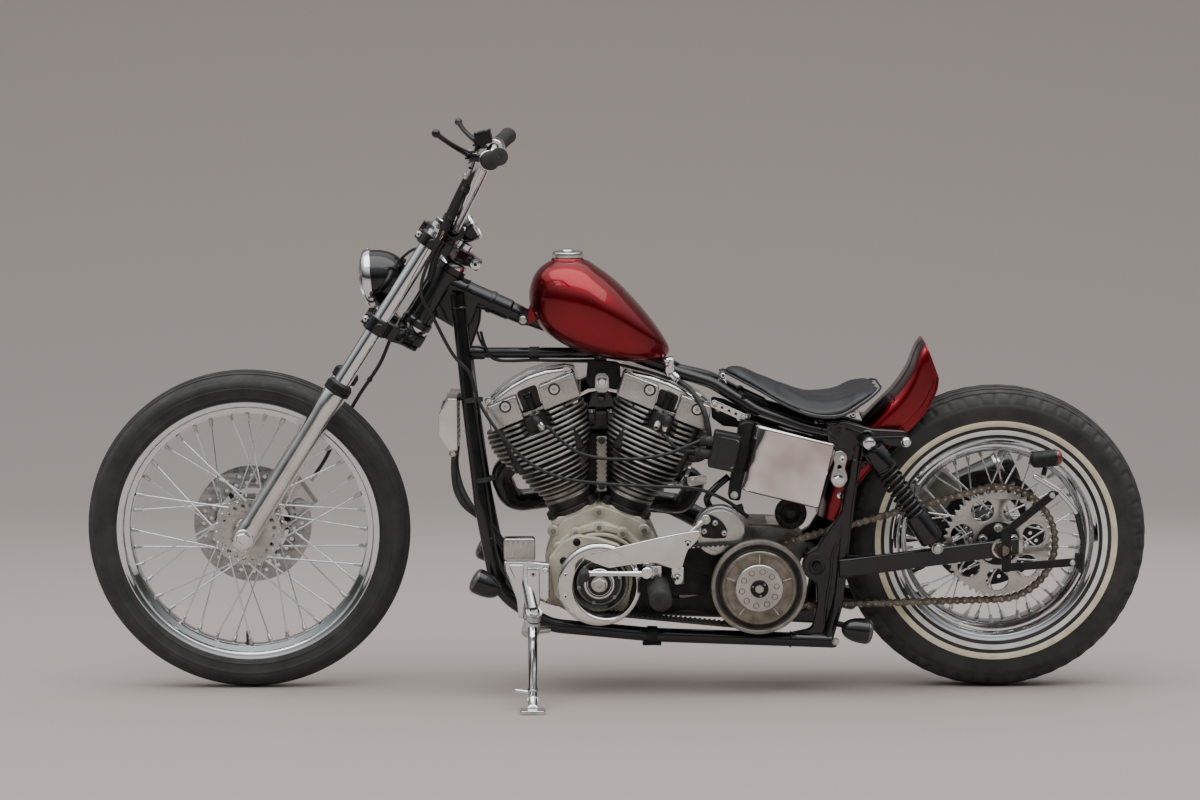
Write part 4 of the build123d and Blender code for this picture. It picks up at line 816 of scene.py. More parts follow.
# rear sprocket: 48 teeth whose tips stay inside the rollers, seven lightening holes
g = Geo()
outer = []
N = 48
for i in range(N):
    a = 360.0 / N * i
    for da, rr in ((-3.0, 109.2), (-1.9, 110.4), (-1.15, 114.6), (-0.55, 115.9), (0.55, 115.9), (1.15, 114.6), (1.9, 110.4), (3.0, 109.2)):
        outer.append((RX + rr * cos(radians(a + da)), RZ + rr * sin(radians(a + da))))
holes = [('c', RX, RZ, 45.0)] + [('c', RX + 78 * cos(radians(-90 + 360 / 7 * i)), RZ + 78 * sin(radians(-90 + 360 / 7 * i)), 24.0) for i in range(7)]
g.plate(outer, holes, -88, -80.2, "satin", 1.1, res=2)
g.lathe((RX, 0, RZ), (0, 1, 0), [(-88.0, 46.5), (-88.0, 14), (-84.0, 14), (-80.0, 14), (-80.0, 46.5)], "black_satin", 48)
for i in range(5):
    a = radians(72 * i + 18)
    g.bolt((RX + 34 * cos(a), -88.0, RZ + 34 * sin(a)), (0, -1, 0), 6.6, 6.0, "zinc", "hex", True)
g.build("rear_sprocket_plate", "rear_wheel", ["rear_sprocket"])

# ------------------------------------------------------------------ fork, lamp and bars
LEG = 92.0
g = Geo()
for y in (-LEG, LEG):
    s = -1 if y < 0 else 1
    g.lathe(fork(0, 0, y), DV, [(-30, 0), (-30, 12), (-28, 18.5), (-23, 23), (-15, 25.2), (26, 25.3), (34, 24.6), (44, 24.2), (300, 24.2), (312, 24.5),
                                (330, 25.4), (362, 25.4), (365, 24.8), (366, 23.5), (366, 17.6)], "polished", 56)
    # axle boss through the leg, with its split and pinch bolt
    g.lathe((FX, y, FZ), (0, 1, 0), [(-25.2, 10.2), (-25.2, 19.5), (-23.8, 21), (23.8, 21), (25.2, 19.5), (25.2, 10.2)], "polished", 44)
    g.box(fork(-25, -4, y), (9, 30, 17), "polished", 2, 2, x=NV, z=DV)
    g.bolt(fork(-26, -9.5, y + s * 4), -NV, 3.6, 5.0, "zinc", "allen", False)
    g.bolt(fork(12, -24.6, y), -NV, 3.2, 3.0, "zinc", "allen", True)
    # casting seam and fender lugs on the inner face
    g.tube([fork(t, 0, y + s * 24.3) for t in range(40, 300, 20)], 0.7, "polished", 6)
    for t in (150, 232):
        g.lathe(fork(t, 0, y - s * 22), (0, -s, 0), [(0, 9.5), (5.4, 7.5), (5.4, 3.4), (1, 3.2), (1, 0)], "polished", 20)
g.build("fork_slider_pair", "steering", ["fork_sliders"], slot="satin_aluminium")
g = Geo()
for y in (-LEG, LEG):
    # dust boots with a hexagonal grip, then the stanchions
    g.lathe(fork(0, 0, y), DV, [(366.1, 18), (366.1, 27.4), (367.4, 28.4), (371, 28.4), (372.2, 27.2), (372.2, 18)], "black_satin", 48)
    g.lathe(fork(0, 0, y), DV, [(372.3, 18), (372.3, 27.4), (373.3, 28.3), (383.4, 28.3), (384.4, 27.4), (384.4, 18)], "black_satin", 6)
    g.lathe(fork(0, 0, y), DV, [(384.5, 18), (384.5, 25.6), (386.5, 26.2), (388.6, 24.4), (391, 20.4), (391, 17.7)], "rubber", 48)
    g.lathe(fork(0, 0, y), DV, [(366.5, 17.4), (762, 17.4)], "chrome", 56)
    g.lathe(fork(0, 0, y), DV, [(762, 17.4), (764.4, 17.0), (764.4, 15.2), (765, 15.2)], "chrome", 56)
    g.lathe(fork(0, 0, y), DV, [(764.6, 0), (764.6, 14.6), (772.4, 14.6), (774, 13.2), (774, 5.2), (769, 5.2), (769, 0)], "chrome", 6)
g.build("fork_stanchions", "steering", ["fork_tubes"], slot="chrome")

g = Geo()
for t0, t1, stem_r in ((516, 550, 30.5), (728, 756, 27.5)):
    up_clamp = t0 > 600
    for y in (-LEG, LEG):
        s = -1 if y < 0 else 1
        g.lathe(fork(0, 0, y), DV, [(t0, 17.7), (t0, 25.0), (t0 + 2.2, 26.8), (t1 - 2.2, 26.8), (t1, 25.0), (t1, 17.7)], "black_gloss", 56)
        # pinch lug with its bolt and split line
        g.box(fork((t0 + t1) / 2, -27.5, y), (11, 19, (t1 - t0) * 0.72), "black_gloss", 2.5, 3, x=NV, z=DV)
        g.box(fork((t0 + t1) / 2, -28.2, y), (12, 1.8, (t1 - t0) * 0.73), "dark", 0.2, 1, x=NV, z=DV)
        g.bolt(fork((t0 + t1) / 2, -28.5, y + s * 9.4), (0, s, 0), 4.4, 5.4, "chrome", "allen", True)
        g.lathe(fork((t0 + t1) / 2, 6, y + s * 26.4), (0, s, 0), [(-2, 9.4), (1.2, 9.4), (2.6, 8.2), (2.6, 4.4), (1, 4.0), (1, 0)], "black_gloss", 24)
    outline = [(11, -80), (13, -64), (13, 64), (11, 80), (30, 92), (46, 84), (62, 52), (84, 30), (98, 12), (98, -12), (84, -30), (62, -52), (46, -84), (30, -92)]
    g.plate(round_poly(outline, 12, 4), [('c', 68, 0, 14.5)], t0 + 1, t1 - 1, "black_gloss", 2.2, origin=fork(0, 0, 0), x=NV, n=DV, res=3)
    g.lathe(fork(0, 68, 0), DV, [(t0 - 1.5, 14), (t0 - 1.5, stem_r - 3), (t0, stem_r), (t1 - 2, stem_r), (t1, stem_r - 2), (t1, 14)], "black_gloss", 48)
    if up_clamp:
        # split at the stem with the pinch bolt seen from the side
        for s in (-1, 1):
            g.box(fork((t0 + t1) / 2, 104, s * 11), (24, 14, (t1 - t0) * 0.84), "black_gloss", 3, 3, x=NV, z=DV)
            g.bolt(fork((t0 + t1) / 2, 106, s * 18), (0, s, 0), 7.4, 6.0, "chrome", "allen", True)
    else:
        for s in (-1, 1):
            g.box(fork(t0 + 26, 92, s * 24), (18, 14, 26), "black_gloss", 3, 2, x=NV, z=DV)
            g.bolt(fork(t0 + 16, 30, s * 66), -DV * -1, 5, 0.6, "dark", "round", False)
g.lathe(fork(0, 68, 0), DV, [(551, 13), (728, 13)], "zinc", 32)
g.lathe(fork(0, 68, 0), DV, [(756, 17.4), (758, 17.4), (758.4, 16.4), (767, 16.4), (769.2, 14), (770.2, 9), (770.2, 0)], "chrome", 40)
# bar risers: tapered posts with split caps and two bolts each
for y in (-42, 42):
    a, b = fork(754, 30, y), Vector((444, y, 987))
    d = (b - a).normalized()
    Lr = (b - a).length
    g.lathe(a, d, [(-2, 17.5), (6, 17.5), (10, 15.4), (Lr * 0.5, 13.8), (Lr - 22, 15.0), (Lr - 16, 16.0)], "black_gloss", 40)
    g.lathe((444, y, 987), (0, 1, 0), [(-14, 12.9), (-14, 21.5), (-12.6, 22.8), (12.6, 22.8), (14, 21.5), (14, 12.9)], "black_gloss", 48)
    perp = d.cross(Vector((0, 1, 0))).normalized()
    for q in (-1, 1):
        g.box(Vector((444, y, 987)) + perp * q * 17.5 + d * 2, (12, 26, 20), "black_gloss", 2.5, 2, x=perp, z=d)
        for yy in (-7, 7):
            g.bolt(Vector((444, y + yy, 987)) + perp * q * 17.8 + d * 12, d, 3.4, 4.6, "chrome", "allen", True)
    g.box(Vector((444, y, 987)) + d * 0.5, (47, 28.4, 1.6), "dark", 0.2, 1, x=perp, z=d)
g.build("fork_yokes", "steering", ["fork_clamps"], slot="black_frame")

# front axle with its nuts
g = Geo()
g.lathe((FX, 0, FZ), (0, 1, 0), [(-126, 0), (-126, 8.6), (-124.5, 9.8), (124.5, 9.8), (126, 8.6), (126, 0)], "chrome", 32)
for s in (-1, 1):
    g.lathe((FX, s * 117.4, FZ), (0, s, 0), [(0, 9), (0, 15.9), (2.2, 15.9), (2.4, 9)], "chrome", 40)
    g.lathe((FX, s * 119.8, FZ), (0, s, 0), [(0, 9), (0, 14.4), (1, 15.6), (7.0, 15.6), (8.0, 14.2), (8.0, 9)], "chrome", 6, ref=(1, 0, 0.3))
g.build("front_axle_bolt", "steering", ["front_axle"], slot="chrome")

# front caliper
g = Geo()
ca = radians(34.8)
cu, ct = Vector((cos(ca), 0, sin(ca))), Vector((-sin(ca), 0, cos(ca)))
cc = Vector((FX + 108 * cos(ca), 0, FZ + 108 * sin(ca)))
for y0, y1 in ((43, 55.2), (64.8, 89)):
    w = y1 - y0
    g.box(cc + Vector((0, (y0 + y1) / 2, 0)) + cu * 1, (62, 92, w), "satin", 7 if w > 15 else 4, 3, x=cu, z=(0, 1, 0))
g.box(cc + Vector((0, 60, 0)) + cu * 25, (14, 90, 14), "satin", 3, 2, x=cu, z=(0, 1, 0))
for q in (-22, 22):
    g.lathe(cc + ct * q + Vector((0, 88, 0)), (0, 1, 0), [(0, 17.5), (1.2, 17.5), (2, 16.4), (2, 12), (1, 11.4), (1, 0)], "satin", 36)
    g.lathe(cc + ct * q + Vector((0, 43.2, 0)), (0, -1, 0), [(0, 15.5), (0.8, 15.5), (1.2, 14.4), (1.2, 0)], "satin", 36)
for q in (-40, 40):
    g.bolt(cc + ct * q + cu * 24 + Vector((0, 88.4, 0)), (0, 1, 0), 5.2, 1.6, "zinc", "allen", True)
    g.bolt(cc + ct * q * 0.86 - cu * 18 + Vector((0, 43.4, 0)), (0, -1, 0), 4.6, 1.4, "zinc", "allen", False)
g.lathe(cc + ct * 43 + cu * 10 + Vector((0, 76, 0)), ct, [(0, 5.5), (6, 5.5), (7, 3.4), (10, 3.4), (11, 2.2), (11, 0)], "zinc", 16)
for q in (-1, 1):
    g.box(cc + cu * 2 + Vector((0, 60 + q * 4.2, 0)), (46, 74, 3.0), "dark", 0.6, 1, x=cu, z=(0, 1, 0))
g.build("front_caliper_body", "steering", ["front_caliper"], slot="satin_aluminium")

# headlight: gloss bucket, bright bezel, dished reflector, domed glass, bulb
ha = radians(-5.5)
hd = Vector((-cos(ha), 0, sin(ha)))
hp = Vector((286.0 + 8 * cos(ha), 0, 884.0 - 8 * sin(ha)))
g = Geo()
g.lathe(hp, hd, [(-52, 0), (-51.4, 8), (-49, 19), (-44, 29), (-36, 39), (-26, 47), (-12, 54), (4, 58), (20, 59.6), (23, 59.8), (23, 56)], "black_gloss", 96)
g.lathe(hp, hd, [(21.4, 58), (21.8, 61.6), (23.2, 63.3), (27, 63.4), (33, 62.6), (38.6, 60.2), (40.8, 58.0), (40.4, 56.4), (37, 56.0), (30, 56.2)], "chrome", 96)
g.lathe(hp, hd, [(36, 55.8), (20, 52), (4, 40), (-8, 24), (-13, 9), (-13, 0)], "polished", 72)
g.lathe(hp, hd, [(38.4, 56.2), (41.6, 53.4), (46.4, 42), (50.4, 26), (52.6, 10), (52.9, 0)], "glass", 72)
g.lathe(hp, hd, [(36.4, 54.6), (38.9, 52.6), (43.6, 41.5), (47.6, 25.5), (49.8, 10), (50.0, 0)], "glass", 72)
g.lathe(hp, hd, [(-12, 6.5), (4, 6.5), (6, 5.5), (16, 5.0), (20, 3.0), (21, 0)], "zinc", 24)
# vertical flutes moulded inside the lens
for i in range(-6, 7):
    yy = i * 7.4
    hmax = sqrt(max(1.0, 51.0 ** 2 - yy * yy))
    uz = hd.cross(Vector((0, 1, 0))).normalized()
    dome = 49.4 - 11.5 * (yy / 54.0) ** 2
    pts = []
    for k in range(-8, 9):
        q = k / 8 * hmax
        rr = hypot(q, yy)
        pts.append(hp + hd * (49.4 - 12.5 * (rr / 54.0) ** 2.1) + uz * q + Vector((0, yy, 0)))
    g.tube(pts, 1.1, "glass", 5, caps=False)
# mount: short foot, cross bolt and clip at the bezel's top
g.box((288, 0, 818), (22, 26, 34), "black_gloss", 5, 3, x=(0.84, 0, -0.5), z=(0.5, 0, 0.84))
g.box((306, 0, 803), (40, 30, 13), "black_gloss", 4, 3, x=(0.85, 0, -0.5), z=(0.5, 0, 0.85))
for s in (-1, 1):
    g.bolt((287, s * 13, 822), (0, s, 0), 6.2, 6, "chrome", "hex", True)
g.box(hp + hd * 32 + Vector((0, 0, 62.4)), (7, 12, 2.2), "chrome", 0.6, 1)
g.lathe(hp - hd * 40 + Vector((0, 0, 30)), (0.6, 0, 0.8), [(-2, 7), (4, 7), (6, 5), (7, 3.6), (7, 0)], "rubber", 20)
g.build("headlamp", "steering", ["headlight"], slot="black_frame")

# handlebar
lo, knee, end = Vector((444, -52, 987)), Vector((519, -184, 1140)), Vector((549, -348, 1161))
mir = Vector((1, -1, 1))
pts = [end, knee, lo, lo * mir, knee * mir, end * mir]
g = Geo()
g.tube(rounded_path(pts, [48, 26, 26, 48], 12), 12.7, "chrome", 32)
g.build("handlebar_tube", "steering", ["handlebar"], slot="chrome")

# grips: moulded rubber with ring ribs and a hole in the end
g = Geo()
eu = (end - knee).normalized()
for s in (-1, 1):
    u = Vector((eu.x, s * abs(eu.y), eu.z))
    e0 = Vector((549, s * 348, 1161))
    prof = [(-122, 13.2), (-122, 17.4), (-120.5, 18.0), (-115, 18.0), (-113.5, 16.6)]
    t = -112.0
    while t < -6:
        prof += [(t, 16.2), (t + 0.8, 17.2), (t + 3.4, 17.2), (t + 4.2, 16.2)]
        t += 5.6
    prof += [(-4.5, 17.2), (-3, 18.0), (1.5, 18.0), (3.6, 16.6), (4, 14.5), (4, 3.2), (-6, 3.0), (-6, 0)]
    g.lathe(e0, u, prof, "rubber", 40)
g.build("grip_pair", "steering", ["hand_grips"], sharp=28, slot="black_rubber")

# levers: black perch and blade with a ball tip; brake side with its cylinder
g = Geo()
for s in (-1, 1):
    u = Vector((eu.x, s * abs(eu.y), eu.z))
    e0 = Vector((549, s * 348, 1161))
    a = e0 - u * 142
    piv = a + Vector((-38, 0, 12))
    g.lathe(a, u, [(-12, 12.9), (-12, 19.4), (-10.4, 20.8), (10.4, 20.8), (12, 19.4), (12, 12.9)], "chrome", 44)
    g.box((a + piv) / 2, (40, 20, 16), "black_gloss", 4, 3, x=(piv - a))
    g.box(piv + Vector((2, 0, 6.4)), (24, 22, 4.0), "black_gloss", 1.6, 2)
    g.box(piv + Vector((2, 0, -6.4)), (24, 22, 4.0), "black_gloss", 1.6, 2)
    g.bolt(piv + Vector((0, 0, 8)), (0, 0, 1), 5.4, 4.2, "chrome", "round", True)
    g.bolt(piv - Vector((0, 0, 8)), (0, 0, -1), 5.0, 4.6, "zinc", "hex", True)
    tip = Vector((424 if s < 0 else 440, s * 331, 1206 if s < 0 else 1192))
    d = (tip - piv).normalized()
    side = d.cross(Vector((0, 0, 1))).normalized()
    Lv = (tip - piv).length
    path, rad = [], []
    for k in range(13):
        f = k / 12
        path.append(piv + d * (Lv * f) + side * (5.0 * sin(pi * f)) * (1 if s < 0 else -1))
        rad.append(7.8 - 1.3 * sin(pi * f) - 0.8 * f)
    g.tube(path, 6, "black_gloss", 16, radii=rad, flat=0.86)
    g.ball(tip, 8.6, "black_gloss", 20)
    g.bolt(a + u * 0 + Vector((16, 0, -10)), Vector((0.8, 0, -0.6)), 3.6, 4.0, "chrome", "allen", True)
    # cable or hose outlet
    out = a + Vector((-36, -s * 10, 4))
    g.lathe(out, Vector((-0.3, -s, -0.5)), [(-4, 5.6), (6, 5.6), (7, 4.8), (14, 4.6), (15, 3.6), (20, 3.4)], "chrome_dull" if s < 0 else "black_satin", 20)
g.box((500, 193, 1165), (36, 58, 26), "black_satin", 4, 3, x=(0.97, 0, 0.24), z=(-0.24, 0, 0.97))
g.box((497, 193, 1178.4), (37, 59, 3.6), "black_satin", 1.2, 2, x=(0.97, 0, 0.24), z=(-0.24, 0, 0.97))
for dx in (-11, 11):
    for dy in (-22, 22):
        g.bolt(Vector((496.6, 193, 1180)) + Vector((0.97, 0, 0.24)) * dx + Vector((0, dy, 0)), (-0.24, 0, 0.97), 2.6, 1.6, "chrome_dull", "round", False)
# switch housings on both sides of the bar, inboard of the perches
for s in (-1, 1):
    u = Vector((eu.x, s * abs(eu.y), eu.z))
    c0 = Vector((549, s * 348, 1161)) - u * 132
    g.lathe(c0, u, [(-0.6, 13), (-0.6, 18.6), (0.4, 19.6), (5.6, 19.6), (6.6, 18.6), (6.6, 13)], "black_plastic", 36)
g.build("lever_pair", "steering", ["hand_levers"], slot="black_frame")

# instrument on its stalk
g = Geo()
sc, sa = Vector((486, 0, 993)), Vector((0.88, 0, 0.47)).normalized()
g.lathe(sc, sa, [(-34, 0), (-34, 20), (-32, 23.5), (-22, 28), (-10, 29.3), (-1, 29.4)], "black_gloss", 64)
g.lathe(sc, sa, [(-2, 28.6), (-1.4, 29.4), (1.4, 29.4), (2.8, 28.4), (3.0, 26.6), (1.6, 26.2), (0.6, 26.2)], "chrome", 64)
g.lathe(sc, sa, [(-0.4, 0), (-0.4, 26.8)], "dial", 64)
g.lathe(sc, sa, [(1.4, 26.4), (2.2, 22), (2.9, 12), (3.0, 0)], "glass", 48)
su = Vector((0, 1, 0))
sv = sa.cross(su).normalized()
for i in range(25):
    a = radians(-40 + 260 / 24 * i)
    d = su * cos(a) + sv * sin(a)
    big = i % 4 == 0
    g.box(sc + sa * 0.0 + d * (23.4 if not big else 22.4), (1.1 if big else 0.7, 5.4 if big else 3.2, 0.5), "dark", 0.05, 1, x=sa.cross(d), z=sa)
d = su * cos(radians(-30)) + sv * sin(radians(-30))
g.box(sc + sa * 0.9 + d * 9, (1.3, 22, 0.5), "lens_red", 0.05, 1, x=sa.cross(d), z=sa)
g.lathe(sc, sa, [(0.2, 3.2), (1.4, 3.0), (1.8, 0)], "dark", 20)
pb = fork(770, 68, 0)
g.tube(smooth_path([pb, (452, 0, 972), (470, 0, 990)], 8), 5.2, "chrome", 16)
g.box((462, 0, 978), (26, 16, 5), "chrome", 1.4, 2, x=(0.7, 0, 0.7), z=(-0.7, 0, 0.7))
g.lathe(sc - sa * 34, -sa, [(0, 9), (6, 9), (7, 6.5), (12, 6.5), (13, 4), (15, 4)], "chrome_dull", 24)
g.build("instrument", "steering", ["speedometer"], slot="chrome")

# brake hose down to the front caliper, with crimped ends and a ring clip at the lower yoke
HOSE = [(488, 206, 1140), (455, 160, 1050), (422, 131, 960), (386, 114, 880), (345, 101, 810), (307, 93, 755),
        (277, 88, 688), (231, 82, 619), (186, 78, 540), (156, 74, 480), (126, 72, 436)]
g = Geo()
path = smooth_path(HOSE, 12)
g.tube(path, 4.0, "cable", 14)
for i, j in ((0, 6), (-1, -7)):
    d = (path[j] - path[i]).normalized()
    g.lathe(path[i], d, [(-1, 0), (-1, 5.4), (4, 5.4), (5, 4.8), (16, 4.8), (17, 4.1)], "zinc", 20)
for i in (52, 78):
    d = (path[i + 1] - path[i]).normalized()
    g.lathe(path[i], d, [(-4, 4.1), (-4, 5.6), (4, 5.6), (4, 4.1)], "rubber", 20)
g.build("brake_hose_line", "steering", ["brake_hose"], slot="black_rubber")

# clutch cable: clear of the bars, past the neck and back along the engine
CABLE = [(486, -212, 1128), (446, -160, 1050), (408, -131, 960), (379, -122, 868), (408, -104, 800), (444, -84, 728),
         (476, -86, 692), (496, -92, 632), (541, -112, 566), (606, -118, 503), (672, -120, 474), (760, -121, 462),
         (860, -122, 456), (946, -122, 452), (990, -114, 436), (1026, -100, 414), (1060, -84, 384)]
g = Geo()
path = smooth_path(CABLE, 12)
g.tube(path, 3.6, "cable", 14)
d = (path[4] - path[0]).normalized()
g.lathe(path[0], d, [(-1, 0), (-1, 4.0), (16, 4.0), (17, 5.0), (26, 5.0), (27, 3.8)], "chrome_dull", 20)
d = (path[-1] - path[-6]).normalized()
g.lathe(path[-1], -d, [(-1, 0), (-1, 4.0), (14, 4.0), (15, 5.6), (26, 5.6), (28, 4.6), (40, 4.2), (41, 3.7)], "rubber", 20)
ob = g.build("clutch_cable_line", "chassis", ["clutch_cable"], slot="black_rubber", ride=False)
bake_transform(ob)

# wire loom taped to the left riser, and the lamp's lead
g = Geo()
g.tube(smooth_path([(506, -168, 1124), (478, -140, 1096), (452, -116, 1050), (434, -96, 1012), (418, -72, 968), (404, -56, 930), (392, -46, 884)], 12),
       6.2, "cable", 14)
g.tube(smooth_path([(498, -150, 1106), (470, -118, 1066), (446, -88, 1024), (430, -66, 986), (412, -50, 944), (400, -40, 896)], 12), 4.6, "cable", 12)
for p, d in (((468, -132, 1078), (0.45, 0.45, 0.8)), ((436, -100, 1018), (0.4, 0.5, 0.8)), ((414, -66, 956), (0.3, 0.3, 0.9))):
    g.lathe(p, d, [(-6, 8.2), (-6, 11.2), (6, 11.2), (6, 8.2)], "rubber", 20)
lead = smooth_path([(405, -46, 924), (386, -34, 944), (362, -20, 946), (338, -8, 930), (322, 0, 912)], 12)
g.tube(lead, 3.0, "cable", 12)
g.build("bar_wiring", "steering", [], slot="black_rubber")

# ------------------------------------------------------------------ frame
def bead(g, c, axis, r, key="black_gloss", w=2.4):
    """A weld bead round a tube joint."""
    ax = Vector(axis).normalized()
    u = (Vector((0, 1, 0)) if abs(ax.y) < 0.9 else Vector((1, 0, 0)))
    u = (u - ax * u.dot(ax)).normalized()
    w2 = ax.cross(u)
    pts, rad = [], []
    n = max(20, int(2 * pi * r / 2.6))
    for i in range(n + 1):
        a = 2 * pi * i / n
        pts.append(Vector(c) + (u * cos(a) + w2 * sin(a)) * r + ax * 0.5 * sin(i * 2.1))
        rad.append(w * (0.82 + 0.22 * (i % 2)))
    g.tube(pts, w, key, 6, caps=False, radii=rad)


g = Geo()
g.lathe(fork(0, 68, 0), DV, [(563, 16), (563, 31.5), (564.5, 33), (576, 33), (578, 31.5), (580, 29.6), (590, 28.6), (686, 28.6), (696, 29.6),
                             (698, 31.5), (700, 33), (710.5, 33), (712, 31.5), (712, 16)], "black_gloss", 64)
g.lathe(fork(0, 68, 0), DV, [(551.5, 15), (551.5, 24), (553, 28.5), (557, 30.5), (562.6, 31.6), (562.6, 16)], "polished", 64)
g.lathe(fork(0, 68, 0), DV, [(712.3, 16), (712.3, 31.4), (717, 30.6), (721.5, 28), (724, 23), (724, 15)], "polished", 64)
g.plate(round_poly([(398, 828), (424, 878), (478, 868), (500, 842), (478, 784), (448, 774), (404, 800)], [12, 16, 18, 16, 20, 14, 12], 6), [], -22, 22,
        "black_gloss", 9, res=4)
g.tube(rounded_path([(430, 0, 872), (600, 0, 797), (770, 0, 737), (905, 0, 689)], [300, 300], 10), 17.0, "black_gloss", 32)
d = Vector((147, 0, -65)).normalized()
g.lathe((428, 0, 871.5), d, [(0, 0), (0, 24), (36, 24.6), (44, 23.4), (56, 22.6), (140, 22.4), (144, 21.8), (146.5, 19.8), (168, 19.2), (173, 17.9), (186, 17.2), (194, 14.8), (199, 10),
                           (201, 4), (201.4, 0)], "black_gloss", 48)
bead(g, Vector((428, 0, 871.5)) + d * 42, d, 23.4)
g.lathe(Vector((428, 0, 871.5)) + d * 96, d, [(0, 22.4), (0, 23.8), (1.2, 24.4), (9, 24.4), (10.2, 23.8), (10.2, 22.4)], "black_gloss", 48)
g.tube([(470, 0, 723), (742, 0, 722)], 11.5, "black_gloss", 28)
g.lathe((470, 0, 723), (1, 0, 0), [(-8, 0), (-8, 13), (-6, 15), (32, 15), (36, 13.6), (37, 11.6)], "black_gloss", 32)
g.lathe((600, 0, 722.7), (1, 0, 0), [(0, 11.6), (0, 12.9), (21, 13.1), (21, 11.6)], "rubber", 28)
g.plate(round_poly([(446, 775), (496, 832), (500, 812), (497, 788), (488, 762), (478, 738), (468, 714), (452, 718)], [12, 8, 8, 14, 16, 14, 8, 8], 5), [], -9, 9, "black_gloss", 4, res=3)
for s in (-1, 1):
    g.tube(smooth_path([(497, s * 9, 820), (495, s * 9.4, 790), (484, s * 9.4, 758), (470, s * 9, 722)], 6), 2.2, "black_gloss", 8)
g.plate(round_poly([(726, 744), (772, 728), (768, 712), (730, 712)], 5, 3), [], -8, 8, "black_gloss", 2)
# front tank tabs with their bolt
g.lathe((588, -24, 796), (0, 1, 0), [(0, 0), (0, 10), (1.2, 11), (46.8, 11), (48, 10), (48, 0)], "black_gloss", 32)
for s in (-1, 1):
    g.bolt((588, s * 24, 796), (0, s, 0), 6.0, 5.0, "chrome", "allen", True)
# rear tank tab
g.box((906, 0, 702), (26, 30, 5), "black_gloss", 1.5, 2, x=(0.95, 0, -0.33), z=(0.33, 0, 0.95))
# wires taped below the top tube
g.tube(smooth_path([(498, -12, 770), (506, -14, 742), (524, -12, 712), (610, -11, 708), (700, -12, 706), (760, -16, 704), (830, -20, 690), (900, -22, 668), (930, -24, 652)], 10),
       3.2, "cable", 10)
g.tube(smooth_path([(486, 10, 780), (500, 8, 740), (530, 4, 709), (620, -2, 706), (720, -6, 707), (752, -10, 708)], 10), 2.6, "cable", 10)
g.build("frame_backbone", "chassis", ["frame_spine"], slot="black_frame")

g = Geo()
for s in (-1, 1):
    path = rounded_path([(450, s * 30, 850), (472, s * 62, 640), (500, s * 100, 410), (533, s * 115, 232), (640, s * 124, 160), (860, s * 125, 139),
                         (1236, s * 121, 124)], [300, 300, 110, 110, 500], 12)
    g.tube(path, 15.0, "black_gloss", 28)
    bead(g, (453, s * 34.5, 822), (22, s * 32, -210), 15.2)
    bead(g, (1150, s * 122, 127.4), (1, 0, -0.04), 15.2)
    # gusset behind the lower bend
    g.plate(round_poly([(530, 300), (600, 216), (566, 208), (536, 236)], 8, 3), [], s * 117, s * 112, "black_gloss", 1.6)
    # clip under the lower rail
    g.lathe((858, s * 125, 139.4), (1, 0, -0.03), [(-11, 15), (-11, 17.4), (-10, 18.2), (10, 18.2), (11, 17.4), (11, 15)], "black_satin", 28)
    g.box((858, s * 125, 120.6), (40, 18, 6), "black_satin", 2, 2)
    for q in (-13, 13):
        g.bolt((858 + q, s * 125, 117.8), (0, 0, -1), 3.6, 2.6, "zinc", "hex", False)
g.tube([(476, -60, 610), (476, 60, 610)], 8.0, "black_gloss", 16)
for s in (-1, 1):
    g.bolt((480, s * 60, 610), (-1, 0, 0), 3.2, 0.4, "zinc", "round", False)
# brake line clipped down the left tube
g.tube(smooth_path([(472, -50, 700), (486, -74, 620), (503, -92, 510), (518, -106, 400), (540, -112, 262), (590, -112, 204)], 10), 2.8, "cable", 10)
for p, d in (((484.5, -72, 632), (28, -38, -230)), ((508, -97, 468), (33, -15, -178))):
    g.lathe(p, d, [(-5, 16), (-5, 19.6), (5, 19.6), (5, 16)], "rubber", 24)
g.build("frame_cradle_tubes", "chassis", ["frame_cradles"], slot="black_frame")

